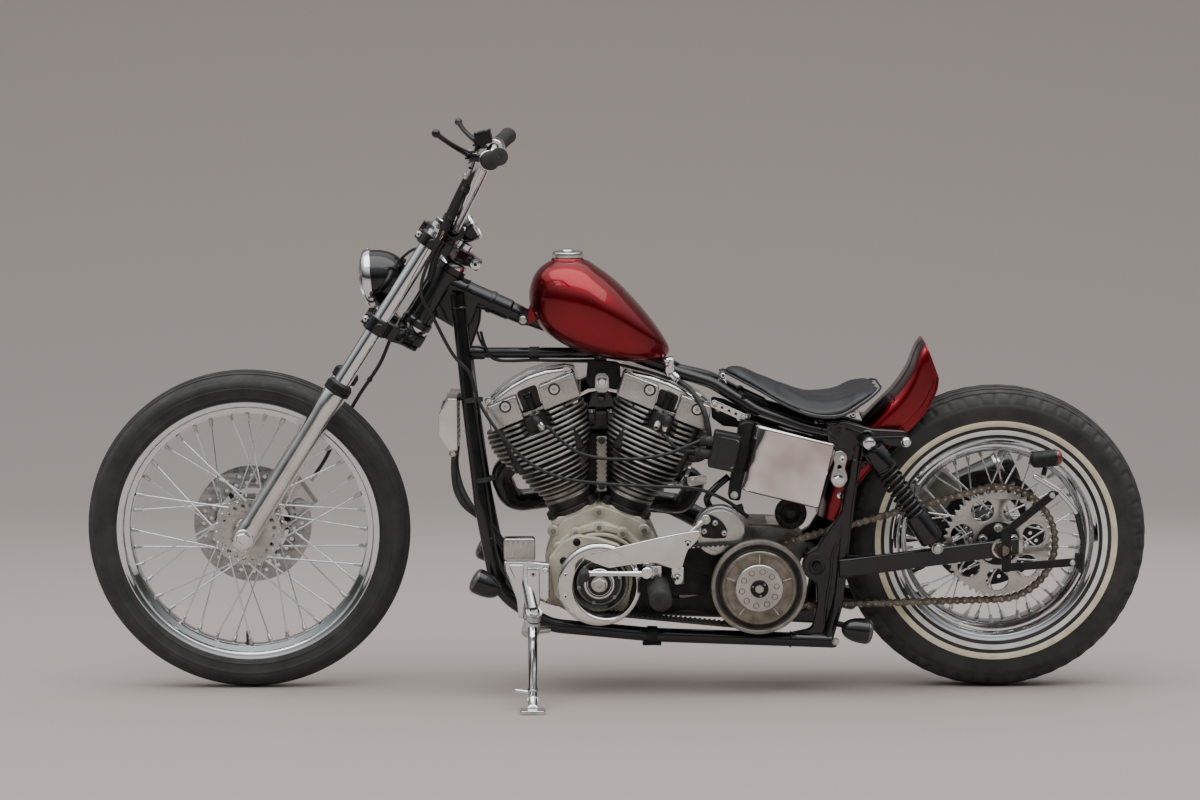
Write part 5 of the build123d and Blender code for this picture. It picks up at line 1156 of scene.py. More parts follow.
g = Geo()
for s in (-1, 1):
    g.tube(rounded_path([(890, s * 16, 690), (985, s * 44, 664), (1082, s * 64, 606), (1180, s * 82, 574), (1250, s * 100, 562)], [90, 120, 200], 10),
           12.5, "black_gloss", 26)
    bead(g, (1216, s * 91, 567.4), (70, s * 18, -12), 12.8)
    cast = [(1222, 588), (1262, 592), (1318, 576), (1388, 572), (1396, 556), (1388, 543), (1330, 540), (1312, 522), (1268, 504), (1246, 520), (1226, 552)]
    g.plate(round_poly(cast, [8, 14, 30, 10, 9, 10, 20, 16, 20, 16, 12], 5), [], s * 98, s * 117, "black_gloss", 5, res=4)
    g.plate(round_poly([(1238, 580), (1262, 582), (1300, 568), (1296, 548), (1262, 530), (1244, 540)], 8, 3), [], s * 117, s * 119.6, "black_gloss", 1.2)
    g.tube(rounded_path([(1290, s * 108, 540), (1268, s * 110, 405), (1250, s * 112, 205), (1228, s * 120, 128)], [600, 300], 10), 13.0, "black_gloss", 26)
    bead(g, (1285, s * 108.4, 510), (22, 0, 135), 13.2)
    low = [(1150, 112), (1256, 106), (1237, 141), (1243, 204), (1255, 267), (1259, 305), (1269, 334), (1279, 371), (1284, 413), (1290, 466), (1277, 466), (1263, 413), (1245, 384),
           (1221, 351), (1206, 326), (1182, 312), (1178, 268), (1204, 246), (1206, 205), (1196, 150), (1150, 140)]
    g.plate(round_poly(low, [6, 12, 20, 30, 30, 20, 20, 30, 30, 6, 6, 20, 16, 16, 16, 14, 14, 16, 30, 20, 6], 5), [], s * 104, s * 119.8, "black_gloss", 4.6, res=4)
    # raised rib on the casting, and weight holes drawn as shallow dark discs: painted shade for their depth
    g.tube(smooth_path([(1222, s * 119, 160), (1226, s * 119.6, 210), (1234, s * 119.6, 262), (1238, s * 119.6, 310), (1256, s * 119.6, 356), (1271, s * 119, 410)], 6), 3.2, "black_gloss", 10)
    g.lathe((1247, s * 110, 571), (0, s, 0), [(0, 0), (0, 17.5), (8, 17.5), (10, 15.8), (10, 9), (8.4, 8.4), (8.4, 0)], "black_gloss", 36)
    g.bolt((1247, s * 118.2, 571), (0, s, 0), 5.0, 4.6, "dark", "allen", False)
    for q, zz in ((1228, 184), (1236, 232)):
        g.lathe((q, s * 119.7, zz), (0, s, 0), [(0, 7.2), (0.6, 6.8), (0.2, 5.6), (0.2, 0)], "dark", 24)
    g.lathe((1205, s * 96, 283), (0, s, 0), [(0, 11.4), (0, 28.5), (1.6, 30), (22.4, 30), (24, 28.5), (24, 11.4)], "black_gloss", 44)
    for q in ((1190, 127), (1246, 122)):
        g.bolt((q[0], s * 119.8, q[1]), (0, s, 0), 5.6, 5, "zinc", "hex", True)
    # top shock bolt boss and the bar behind it
    g.lathe((1307, s * 98, 554), (0, s, 0), [(0, 0), (0, 20), (19, 20), (21.5, 17.5), (21.5, 0)], "black_gloss", 36)
    g.plate(round_poly([(1300, 560), (1300, 544), (1386, 538), (1398, 545), (1398, 556), (1388, 562)], 6, 4), [], s * 117.6, s * 124.6, "black_gloss", 1.8)
    g.lathe((1388, s * 124.6, 549.6), (0, s, 0), [(0, 0), (0, 10.4), (2.6, 10.4), (3.0, 9.4), (7.0, 8.6), (9.2, 6.4), (9.8, 0)], "chrome", 28)
    # seat mount bracket: bright clevis behind the seat
    g.box((1276, s * 68, 596), (40, 8, 40), "polished", 2.4, 2, x=(0.9, 0, 0.35), z=(-0.35, 0, 0.9))
    g.box((1268, s * 68, 608), (24, 16, 7), "polished", 2, 2)
    g.bolt((1282, s * 72.4, 600), (0, s, 0), 5.4, 5, "chrome", "allen", True)
g.tube([(1212, -97, 560), (1212, 97, 560)], 10, "black_gloss", 20)
g.box((1011, 0, 659), (14, 30, 34), "black_gloss", 3, 2)
# bright front seat pivot with its bolts, then the two spring hinges
for s in (-1, 1):
    g.box((1010, s * 17, 668), (15, 6, 34), "chrome", 2, 2)
    g.bolt((1010, s * 20, 676), (0, s, 0), 5.2, 5.0, "chrome", "allen", True)
    g.bolt((1003, s * 20, 656), (0, s, 0), 4.4, 5.4, "zinc", "hex", True)
    pts = []
    for k in range(0, 97):
        a = 2 * pi * k / 12
        pts.append(Vector((1050 + 7.2 * cos(a), s * (30 + k * 0.36), 634 + 7.2 * sin(a))))
    g.tube(pts, 2.1, "black_satin", 8)
    g.box((1078, s * 40, 628), (56, 16, 4), "black_satin", 1, 2, x=(0.9, 0, -0.42), z=(0.42, 0, 0.9))
g.tube([(1050, -68, 634), (1050, 68, 634)], 4.4, "black_satin", 16)
# five-hole strap from the left rail down to the engine
sx = Vector((1057 - 983, 0, 593 - 627)).normalized()
c = Vector((1020, -82, 610))
ol = [(-41, -5), (-38, -8), (38, -8), (41, -5), (41, 5), (38, 8), (-38, 8), (-41, 5)]
g.plate(round_poly(ol, 3, 3), [('c', q, 0, 3.0) for q in (-33, -16, 0, 16, 33)], -2.2, 2.2, "polished", 0.7, origin=c, x=sx, n=(0, -1, 0))
for q in (-33, 33):
    g.bolt(c + sx * q + Vector((0, -2.2, 0)), (0, -1, 0), 4.4, 4.6, "zinc", "hex", True)
g.build("frame_rear_section", "chassis", ["frame_rear"], slot="black_frame")

# ------------------------------------------------------------------ engine
KX, KZ = 747.0, 258.0
VC, VS = cos(radians(22.5)), sin(radians(22.5))


def cyl_axes(s):
    return Vector((s * VS, 0, VC)), Vector((VC, 0, -s * VS))


def on(s, t, q=0.0, y=-8.0):
    """Point t along cylinder s (-1 front, 1 rear), q towards the other cylinder."""
    v, h = cyl_axes(s)
    return Vector((KX, y, KZ)) + v * t - h * (s * q)


# crankcase: three stacked castings with a deep bevel, ribs, bosses and through bolts
case_out = [(632, 284), (650, 340), (668, 372), (712, 392), (747, 407), (786, 392), (834, 372), (862, 345),
            (890, 280), (880, 205), (840, 172), (700, 168), (655, 190)]
inner_out = [(660, 290), (690, 352), (747, 378), (806, 356), (850, 300), (846, 220), (800, 182), (700, 182), (664, 215)]
g = Geo()
g.plate(round_poly(case_out, [30, 16, 20, 26, 20, 26, 20, 24, 34, 30, 24, 24, 30], 6), [], -66, 62, "case", 5, res=4)
g.plate(round_poly(case_out, [30, 16, 20, 26, 20, 26, 20, 24, 34, 30, 24, 24, 30], 6), [], -72, -64, "case", 2.5, res=3)
g.plate(round_poly(inner_out, 34, 8), [], -84, -60, "case", 4, res=4)
# parting line of the case halves
big = [((x - KX) * 1.008 + KX, (z - KZ) * 1.008 + KZ) for x, z in case_out]
g.plate(round_poly([(min(max(x, 630.5), 891.5), z) for x, z in big], [30, 16, 20, 26, 20, 26, 20, 24, 34, 30, 24, 24, 30], 6), [], -9, -6.4, "cast", 0.6)
# radial ribs on the left face
for a in (200, 232, 264, 296, 328, 20, 52, 84, 128, 158):
    d = Vector((cos(radians(a)), 0, sin(radians(a))))
    c = Vector((KX, -76, KZ)) + d * 74
    g.box(c, (44, 13, 7), "case", 2.4, 2, x=d, z=(0, 0, 1) if abs(d.z) < 0.7 else (1, 0, 0))
# rounded flange that carries the primary side, with its step
for r0, r1, y0, y1 in ((98, 112, -92, -70), (86, 94, -96, -70)):
    out = arc_pts(KX, KZ, r1, 24, 156, 26) + arc_pts(KX, KZ, r0, 156, 24, 26)
    g.plate(out, [], y0, y1, "cream_case", 2.6, res=3)
for a in (36, 62, 90, 118, 144):
    d = Vector((cos(radians(a)), 0, sin(radians(a))))
    c = Vector((KX, 0, KZ)) + d * 105
    g.lathe((c.x, 0, c.z), (0, -1, 0), [(80, 0), (80, 12), (93, 11.6), (94.6, 10.2), (94.6, 0)], "cream_case", 28)
    g.bolt((c.x, -94.2, c.z), (0, -1, 0), 5.0, 4.6, "cast", "hex", False)
# main bearing boss and seal behind the pulley
g.lathe((KX, 0, KZ), (0, -1, 0), [(82, 0), (82, 58), (86, 58), (88, 56), (88, 47), (91, 45), (97, 44.5), (98.6, 43), (98.6, 34), (95, 33), (95, 27)], "case", 72)
g.lathe((KX, 0, KZ), (0, -1, 0), [(94.6, 33.4), (96.4, 33.4), (96.4, 27.4), (94.6, 27.4)], "rubber", 60)
# through bolts round the seam
for x, z in ((650, 352), (842, 356), (669, 322), (662, 208), (700, 178), (800, 178), (858, 214), (868, 296), (747, 392), (747, 363)):
    y0 = -72 if (x < 664 or x > 846 or z > 380 or z < 180) else -84
    g.lathe((x, 0, z), (0, -1, 0), [(-y0 - 6, 0), (-y0 - 6, 12.5), (-y0 + 0.6, 12.2), (-y0 + 2.2, 10.6), (-y0 + 2.2, 0)], "case", 28)
    g.bolt((x, y0 - 2, z), (0, -1, 0), 5.4, 5.6, "cast", "hex", False)
# cylinder decks with the barrel nuts
for s in (-1, 1):
    v, h = cyl_axes(s)
    g.box(on(s, 135, 0, -8), (104, 108, 20), "cream_case", 6, 3, x=h, z=v)
    for q in (-44, 44):
        for yy in (-46, 46):
            g.bolt(on(s, 146, q, -8 + yy), v, 7.4, 15, "dark", "hex", True)
# tappet blocks on the right, with their guides
for s in (-1, 1):
    for k in (-26, 26):
        fx = KX + (k + s * 62) * 0.9
        g.lathe((fx, 84, 352), (0, 0, 1), [(0, 15), (18, 15), (20, 13.6), (24, 13.6), (24, 9.4)], "chrome_dull", 32)
    g.box((KX + s * 56, 82, 352), (76, 26, 26), "case", 4, 2)
    for k in (-38, 0, 38):
        g.bolt((KX + s * 56 + k, 90, 364), (0, 0, 1), 3.6, 4, "zinc", "allen", True)
# timing cover: polished, stepped, with a round points cover
cam_out = [(640, 300), (680, 372), (760, 388), (862, 352), (872, 262), (820, 196), (700, 190), (652, 230)]
g.plate(round_poly(cam_out, [24, 26, 40, 30, 34, 30, 26, 24], 7), [], 60, 84, "polished", 3, res=3)
g.plate(round_poly([(KX + (x - KX) * 0.93, KZ + (z - KZ) * 0.93) for x, z in cam_out], [24, 26, 40, 30, 34, 30, 26, 24], 7), [], 80, 96, "polished", 5, res=4)
g.lathe((KX, 0, KZ), (0, 1, 0), [(94, 46), (97, 46), (98, 43), (107, 42.4), (110.6, 39), (111.6, 30), (112, 0)], "chrome", 72)
for a in (60, 180, 300):
    g.bolt((KX + 36 * cos(radians(a)), 110.4, KZ + 36 * sin(radians(a))), (0, 1, 0), 3.4, 1.4, "zinc", "allen", False)
for x, z in ((664, 302), (686, 356), (757, 374), (846, 340), (852, 266), (812, 208), (706, 202), (668, 238)):
    g.bolt((KX + (x - KX) * 0.985, 84, KZ + (z - KZ) * 0.985), (0, 1, 0), 4.6, 5.0, "zinc", "allen", True)
# oil pump at the back of the case, with its two bolts
g.box((862, 70, 244), (34, 44, 58), "cast", 5, 3)
for z in (226, 262):
    g.bolt((880, 84, z), (0, 1, 0), 4, 5, "zinc", "hex", True)
# drain plug, front motor lugs
g.bolt((742, -20, 169.4), (0, 0, -1), 9, 0.9, "zinc", "hex", False)
for y in (-58, 40):
    g.box((650, y, 214), (26, 20, 46), "case", 5, 3)
g.build("crankcase_castings", "chassis", ["crankcase"], slot="cast_engine")

# barrels: round fins widening upwards, flattened where the two meet
g = Geo()
for s in (-1, 1):
    v, h = cyl_axes(s)
    lim = KX + (-1.5 if s < 0 else 1.5)
    o0 = len(g.v)
    prof = [(142.4, 0), (142.4, 57), (144, 58.4), (151, 58.4), (152.6, 57), (152.6, 50.5)]
    g.lathe(on(s, 0), v, prof, "dark", 88)
    prof = [(152, 49.8), (170, 49.8)]
    keys = ["dark"]
    for i, r in enumerate((46, 52, 58, 64, 69, 73, 76, 79)):
        t = 172 + 11.5 * i
        if r < 51:
            r = 51.6
        prof += [(t - 0.9, 50), (t - 0.2, 50.8), (t + 0.6, r - 1.2), (t + 1.7, r - 0.1), (t + 3.2, r), (t + 4.4, r - 1.2), (t + 5.4, 50.8), (t + 6.2, 50)]
        keys += ["dark", "fins", "fins", "fins", "fins", "fins", "fins", "fins"]
    prof += [(262, 50), (262, 0)]
    keys += ["dark", "dark"]
    g.lathe(on(s, 0), v, prof, None, 88, keys=keys)
    for p in g.v[o0:]:
        if (s < 0 and p.x > lim) or (s > 0 and p.x < lim):
            p.x = lim
g.build("barrels", "chassis", ["cylinders"], slot="cast_engine", sharp=38)

# heads: squared fins with a gap for the plug, exhaust flanges, plugs
g = Geo()
for s in (-1, 1):
    v, h = cyl_axes(s)
    g.lathe(on(s, 0), v, [(262.3, 0), (262.3, 51.6), (365, 51.6), (365, 0)], "dark", 56)
    for i, w in enumerate((90, 98, 104, 108, 111, 112, 112, 111, 108)):
        t = 262 + 3 + 11.5 * i
        w = w - 0.3
        droop = (7.0 * (1 - i / 8.0), 4.0 * (1 - i / 8.0))
        out = []
        for j in range(96):
            an = 2 * pi * j / 96
            ca, sa = cos(an), sin(an)
            e = 2 / (2.15 if sa < 0 else 2.9)
            q, yy = w * math.copysign(abs(ca) ** e, ca), 67.6 * math.copysign(abs(sa) ** e, sa)
            if i >= 6 and yy < -34 and -26 < q < 36:
                yy = -34 if -19 < q < 29 else (yy - 34) / 2
            if yy > 48 and -26 < q < 26:
                yy = 48 if abs(q) < 20 else (yy + 48) / 2
            out.append((-s * q, yy))
        if s > 0:
            out = out[::-1]
        v0 = len(g.v)
        g.plate(out, [], t + 0.2, t + 6.0, "fins", 2.0, origin=on(s, 0), x=h, n=v, res=3)
        base = on(s, 0)
        for kk in range(v0, len(g.v)):
            q = (g.v[kk] - base).dot(h) * -s
            lift = droop[0] if q < 0 else droop[1]
            far = max(0.0, (abs(q) - 40.0) / 72.0)
            g.v[kk] = g.v[kk] + v * (lift * far * far)
    # head bolts down between the fins, plug seat
    for q in (-70, 66):
        for yy in (-44, 44):
            g.lathe(on(s, 262.4, q, -8 + yy), v, [(2, 10.5), (102, 10.5)], "dark", 20)
    pl = on(s, 352, 6, -42)
    pd = (Vector((0, -1, 0)) * 0.86 - v * 0.50 + h * (-s) * 0.08).normalized()
    g.lathe(pl, pd, [(-10, 17), (2, 17), (4, 15)], "fins", 32)
    g.lathe(pl, pd, [(0, 12), (4, 12.2), (5, 11.4), (9, 11.4), (10, 10), (10, 8)], "zinc", 6)
    g.lathe(pl, pd, [(9, 8), (12, 7.2), (27, 6.0), (33, 5.4)], "white_band", 24)
    # intake and exhaust port stubs
    if s < 0:
        g.lathe((584, 30, 512), (-0.80, 0.44, -0.1), [(-40, 30), (2, 30), (4, 28), (8, 28)], "fins", 40)
    else:
        g.lathe((872, 36, 448), (0.72, 0.68, -0.1), [(-40, 28), (-8, 28)], "fins", 40)
g.build("cylinder_head_fins", "chassis", ["cylinder_heads"], slot="cast_engine", sharp=34)

# rocker boxes: a polished crown over two satin lobes
CROWN = {-1: [(-90, 366), (112, 366), (119, 424), (100, 436), (60, 446), (20, 449), (-20, 444), (-60, 434), (-84, 424)],
         1: [(-90, 366), (112, 366), (118, 420), (100, 427), (60, 433), (20, 435), (-20, 433), (-60, 428), (-84, 420)]}
g = Geo()
for s in (-1, 1):
    v, h = cyl_axes(s)

    def face(outline):
        pts = [(on(s, t, q).x, on(s, t, q).z) for q, t in outline]
        return pts if s < 0 else pts[::-1]

    def rr(n, base):
        return base if s < 0 else base[::-1]

    crown = CROWN[s]
    base_rail = [(-91, 366.2), (112.5, 366.2), (113.5, 376), (-91.5, 376)]
    g.plate(round_poly(face(base_rail), 2.5, 3), [], -41, 95, "satin", 2.0, res=2)
    g.plate(round_poly(face([(-89, 375.2), (111.5, 375.2), (111.8, 377.4), (-89, 377.4)]), 0.8, 2), [], -40, 94, "dark", 0.4)
    body = [(-90, 376.6), (112.5, 376.6), (118, 422), (100, 433 if s < 0 else 424), (60, 443 if s < 0 else 430), (20, 446 if s < 0 else 432),
            (-20, 441 if s < 0 else 430), (-60, 431 if s < 0 else 425), (-84, 420 if s < 0 else 416)]
    g.plate(round_poly(face(body), rr(9, [5, 5, 14, 20, 40, 60, 60, 30, 14]), 6), [], -41.5, 95.5, "polished", 8.5, res=5)
    # raised spine along the top and its cover line
    top = [(q, t - 0.2) for q, t in crown[2:]]
    ridge = top + [(q * 0.985, t - 14) for q, t in top[::-1]]
    g.plate(round_poly(face(ridge), 3, 3), [], 4, 52, "polished", 3.0, res=3)
    # lobes on the left, each an angular satin boss with a sunk socket screw
    for outline, bolts in (([(-93, 367.5), (-17, 367.5), (-15, 421), (-83, 421)], ((-44.6, 407),) if s < 0 else ((-56.5, 404.4),)),
                           ([(27, 367.5), (111.5, 367.5), (116, 420), (35, 420)], ((64.7, 401.8),) if s < 0 else ((51.9, 405),))):
        g.plate(round_poly(face(outline), rr(4, [5, 5, 7, 8]), 6), [], -67.6, -36, "satin", 3.4, res=4)
        mq, mt = sum(q for q, t in outline) / 4, 394.0
        inset = [((q - mq) * 0.84 + mq, (t - mt) * 0.74 + mt) for q, t in outline]
        g.plate(round_poly(face(inset), rr(4, [6, 6, 7, 8]), 6), [], -67.9, -60, "satin", 2.4, res=3)
        for q, t in bolts:
            c = on(s, t, q, -67.6)
            # dark ring round each screw: painted shade of the counterbore it is sunk in
            g.lathe(c, (0, -1, 0), [(-2, 13.2), (0.2, 13.2), (0.35, 12.6), (0.35, 9.4)], "dark", 40)
            g.lathe(c, (0, -1, 0), [(-1, 8.8), (0.3, 8.6), (0.38, 7.6), (0.38, 4.4), (-1.5, 4.2), (-1.5, 0)], "chrome_dull", 32)
    # painted shade between the lobes: a dark plate stands in for the recess's shadow, with a black stud standing in it
    q0, q1, t1 = (-14, 26, 424 if s < 0 else 414)[0:3]
    g.plate(round_poly(face([(q0, 379), (q1, 379), (q1 + 6, t1), (q0 + 1, t1)]), rr(4, [3, 3, 8, 8]), 5), [], -44.0, -40, "dark", 1.2)
    g.tube([on(s, 379, 6, -52), on(s, 404, 7, -52)], 7.4, "black_satin", 20)
    g.lathe(on(s, 404, 7, -52), v, [(0, 7.6), (2, 9.6), (9, 9.6), (11, 8.4), (11, 0)], "black_gloss", 6)
    # top corner notch screws on the crown's left face
    for q in (-74, 104):
        c = on(s, 428 if s < 0 else 418, q, -41)
        g.lathe(c, (0, -1, 0), [(0, 8.6), (1.0, 8.4), (1.6, 7.4), (1.6, 4.0), (0.4, 3.8), (0.4, 0)], "chrome_dull", 28)
    # cover bolts along the lower rail
    for q in (-82, -56, 60, 96):
        g.bolt(on(s, 377, q, -38.5), v, 4.0, 5.0, "zinc", "allen", True)
    for q in (-78, 0, 98):
        g.bolt(on(s, 386, q, 95.2), (0, 1, 0), 4.6, 0.8, "zinc", "allen", False)
    # oil fitting and rocker shaft ends on the right
    for q in (-52, 72):
        g.lathe(on(s, 404, q, 92), (0, 1, 0), [(0, 14), (2.6, 14), (3.6, 12.6), (3.6, 7.5), (1.8, 7), (1.8, 0)], "polished", 36)
g.build("rocker_covers", "chassis", ["rocker_boxes"], slot="polished_aluminium", sharp=34)

# pushrod tubes with keepers and seals
g = Geo()
for s in (-1, 1):
    for k in (-26, 26):
        foot = Vector((KX + (k + s * 62) * 0.9, 84.0, KZ + 122))
        top = on(s, 142 + 228, -s * k * 0.7, 80)
        top = Vector((top.x, 80.0, top.z))
        d = (top - foot).normalized()
        Lp = (top - foot).length
        g.lathe(foot, d, [(0, 6), (0, 8.4), (3, 8.8), (6, 8.8), (8, 7.4), (Lp * 0.48, 7.4), (Lp * 0.48 + 1, 8.8), (Lp * 0.48 + 9, 8.8),
                          (Lp * 0.48 + 10, 8.2), (Lp - 8, 8.2), (Lp - 6, 8.8), (Lp - 1, 8.8), (Lp - 1, 6)], "chrome", 32)
        g.lathe(foot + d * (Lp * 0.48 + 11), d, [(0, 8.2), (0, 8.8), (3, 8.8), (3, 8.2)], "rubber", 28)
g.build("pushrod_covers", "chassis", ["pushrod_tubes"], slot="chrome")

# manifold, carburettor and round air cleaner
g = Geo()
g.lathe((700, -2, 588), (1, 0, 0), [(0, 19), (96, 19)], "dark", 40)
for x in (732, 772):
    g.lathe((x - 8, -2, 588), (1, 0, 0), [(0, 19), (0, 25), (1.4, 26.4), (14.6, 26.4), (16, 25), (16, 19)], "black_gloss", 48)
    g.box((x, -31, 592), (14, 12, 16), "black_gloss", 3, 3)
    g.bolt((x, -36, 600), (0, 0, 1), 3.6, 6, "zinc", "hex", True)
g.plate(round_poly([(722, 608), (784, 608), (776, 634), (764, 648), (742, 648), (730, 634)], [6, 6, 8, 7, 7, 8], 5), [('c', 753, 631, 7)], -26, -8, "black_gloss", 3.4, res=3)
g.lathe((753, 0, 631), (0, -1, 0), [(22, 7.6), (26.4, 7.6), (27.2, 9.2), (27.2, 10.4), (26, 11)], "dark", 6)
g.box((752, 10, 576), (70, 60, 34), "dark", 10, 4)
g.lathe((750, 60, 575), (0, 1, 0), [(-10, 24), (0, 24), (2, 32), (10, 33.6), (12, 30), (56, 30), (58, 33.6), (66, 33.6), (68, 30)], "cast", 56)
g.box((750, 96, 536), (46, 46, 28), "cast", 6, 3)
g.lathe((750, 96, 526), (0, 0, -1), [(0, 12), (8, 12), (10, 9), (10, 0)], "zinc", 28)
g.lathe((750, 0, 575), (0, 1, 0), [(128, 30), (128, 79), (130, 81.4), (134, 82), (134.6, 80.6), (136, 80.6), (136.6, 82), (170, 82), (172, 81), (177, 78.5), (181, 73),
                                   (183.6, 62), (184.4, 40), (185.6, 22), (186, 0)], "black_satin", 96,
        keys=["black_satin"] * 3 + ["dark"] * 3 + ["chrome"] * 8)
for i in range(40):
    a = 2 * pi * i / 40
    d = Vector((cos(a), 0, sin(a)))
    g.box(Vector((750, 153, 575)) + d * 80.6, (1.6, 26, 5.0), "dark", 0.4, 1, x=d, z=d.cross(Vector((0, 1, 0))))
g.bolt((750, 184.2, 575), (0, 1, 0), 6.5, 1.7, "zinc", "allen", False)
# flat stay hanging in the V with its two screws
left, rightp = [], []
for i in range(12):
    z = 432 + 10.0 * i
    for dz, wd in ((0, 8.6), (3.2, 11.2), (6.4, 11.2), (8.6, 8.6)):
        left.append((753 - wd, z + dz))
        rightp.append((753 + wd, z + dz))
g.plate(left[::-1] + rightp, [], -50, -44, "cast", 1.2)
for z in (444, 542):
    g.bolt((753, -50, z), (0, -1, 0), 5.2, 5.2, "dark", "hex", True)
g.tube(smooth_path([(752, 40, 556), (752, -20, 530), (750, -30, 470), (748, -30, 412)], 8), 4.2, "rubber", 12)
# painted shade: a dark block fills the V between the barrels behind the stay
g.box((747, 28, 486), (64, 40, 128), "dark", 6, 2)
g.build("carburettor_and_cleaner", "chassis", ["carburettor"], slot="chrome")

# engine mounts: top stay with its arch, front plates, and the long left plate
g = Geo()
g.plate(round_poly([(728, 640), (772, 640), (776, 700), (728, 704)], 7, 4), [], -21, -11, "black_satin", 2)
g.plate(round_poly([(724, 712), (792, 706), (794, 652), (768, 640), (734, 642), (720, 664)], [8, 12, 14, 12, 12, 12], 5), [], -25.5, -20, "black_satin", 1.8, res=3)
g.box((751, 0, 721), (26, 44, 40), "black_satin", 4, 3)
for s in (-1, 1):
    g.bolt((751, s * 22, 724), (0, s, 0), 6, 5, "chrome", "hex", True)
arch = [(686, 620), (700, 637), (725, 649), (755, 653), (786, 647), (812, 633), (826, 617), (822, 613), (808, 627), (784, 640), (755, 646), (727, 642), (704, 631), (691, 616)]
g.plate(round_poly(arch, 2, 3), [], -30.5, -24, "polished", 1.4)
g.plate(round_poly([(739, 676), (747, 684), (761, 684), (769, 676), (770, 652), (763, 641), (745, 641), (738, 652)], 7, 5), [], -33, -25, "satin", 2.0, res=3)
g.bolt((754, -33, 664), (0, -1, 0), 8.4, 8, "chrome", "hex", True)
for x, z in ((695, 624), (818, 620)):
    g.bolt((x, -30.5, z), (0, -1, 0), 5.4, 6, "chrome", "hex", True)
# front mount: a thick plate on a cross tube, bolted on both faces
g.plate(round_poly([(540, 262), (636, 262), (650, 232), (640, 205), (565, 205)], [10, 10, 14, 14, 22], 5), [('c', 596, 234, 12)], -14, 14, "black_satin", 2.5)
g.tube([(552, -97, 236), (552, 97, 236)], 9.8, "black_satin", 20)
for s in (-1, 1):
    for x in (628, 570):
        g.bolt((x, s * 14, 234), (0, s, 0), 6, 5.6, "zinc", "hex", True)
# long left plate between engine and gearbox
plate_out = [(640, 300), (700, 352), (780, 330), (905, 316), (1010, 330), (1108, 300), (1112, 214), (1060, 170),
             (930, 190), (850, 172), (700, 176), (650, 222)]
g.plate(round_poly(plate_out, [18, 26, 40, 60, 40, 36, 36, 24, 60, 40, 26, 22], 6),
        [('c', KX, KZ, 45), ('c', 1080.0, 251.0, 42), round_poly([(860, 268), (930, 274), (984, 262), (976, 224), (925, 214), (868, 222)], 14, 5)[::-1]],
        -111.8, -104.2, "black_satin", 1.6, res=3)
g.plate(round_poly([(640, 300), (668, 336), (700, 352), (748, 344), (790, 330), (812, 300), (818, 250), (806, 190), (760, 176), (700, 176), (650, 222)],
                   [14, 18, 24, 24, 24, 24, 24, 24, 20, 22, 22], 6), [('c', KX, KZ, 50)], -114.2, -98, "cream_case", 4, res=4)
g.lathe((KX, 0, KZ), (0, -1, 0), [(100, 50.4), (114.4, 50.4), (115.6, 48.6), (115.6, 38), (108, 37)], "cream_case", 64)
g.lathe((1080, 0, 251), (0, -1, 0), [(100, 43), (112.2, 43), (113.4, 41.6), (113.4, 33), (108, 32)], "satin", 64)
for x, z in ((672, 296), (700, 336), (668, 228), (708, 190), (806, 318), (836, 190), (1012, 312), (1090, 290), (1096, 222), (1050, 184), (1000, 200), (905, 300)):
    g.bolt((x, -113.6 if x < 815 else -111.6, z), (0, -1, 0), 5.6, 5.4, "black_satin", "hex", True)
g.build("engine_mount_plates", "chassis", ["engine_mounts"], slot="black_frame")

# gearbox: ribbed case, end cover with bolts, top cover, kick-side boss, and a bolted plate on the left with two small
# castings
g = Geo()
gear_out = [(1010, 335), (1060, 362), (1150, 358), (1192, 322), (1168, 262), (1190, 205), (1160, 168), (1030, 168), (1000, 230)]
g.plate(round_poly(gear_out, [22, 24, 26, 24, 30, 22, 20, 22, 30], 6), [], -59.5, 69.5, "cast", 6, res=4)
for y in (-40, -14, 12, 38):
    g.plate(round_poly([(1014, 334), (1062, 359), (1149, 355), (1188, 321), (1165, 262), (1186, 206), (1158, 171), (1032, 171), (1003, 230)],
                       [22, 24, 26, 24, 30, 22, 20, 22, 30], 5), [], y - 2.4, y + 2.4, "cast", 1.5)
g.lathe((1085, 0, 250), (0, 1, 0), [(68, 62), (72, 62), (74, 60), (88, 59), (93, 55), (96, 46), (96, 0)], "polished", 80)
for i in range(6):
    a = radians(30 + 60 * i)
    g.bolt((1085 + 53 * cos(a), 91, 250 + 53 * sin(a)), (0, 1, 0), 4.6, 4.2, "zinc", "allen", True)
g.box((1104, 4, 356), (80, 96, 8), "polished", 2.5, 2, x=(1, 0, -0.06))
for x in (1074, 1134):
    for y in (-34, 42):
        g.bolt((x, y, 357.6), (0, 0, 1), 4, 4, "zinc", "allen", True)
g.lathe((1052, 0, 214), (0, -1, 0), [(58, 0), (58, 28), (66, 28), (68, 26), (76, 24), (77, 0)], "cast", 40)
g.plate(round_poly([(872, 300), (900, 306), (1000, 300), (1004, 210), (960, 196), (884, 196), (870, 240)], 8, 4), [], -106, -99, "black_satin", 1.4, res=2)
for x, z in ((884, 288), (884, 210), (960, 204), (905, 262)):
    g.bolt((x, -106, z), (0, -1, 0), 4.6, 4.4, "zinc", "hex", True)
g.box((938, -106.6, 216), (44, 2.4, 9), "cast", 1.0, 2)
g.box((916, -107.0, 262), (20, 4, 36), "cast", 1.6, 2)
g.build("gearbox_case", "chassis", ["gearbox"], slot="cast_engine")

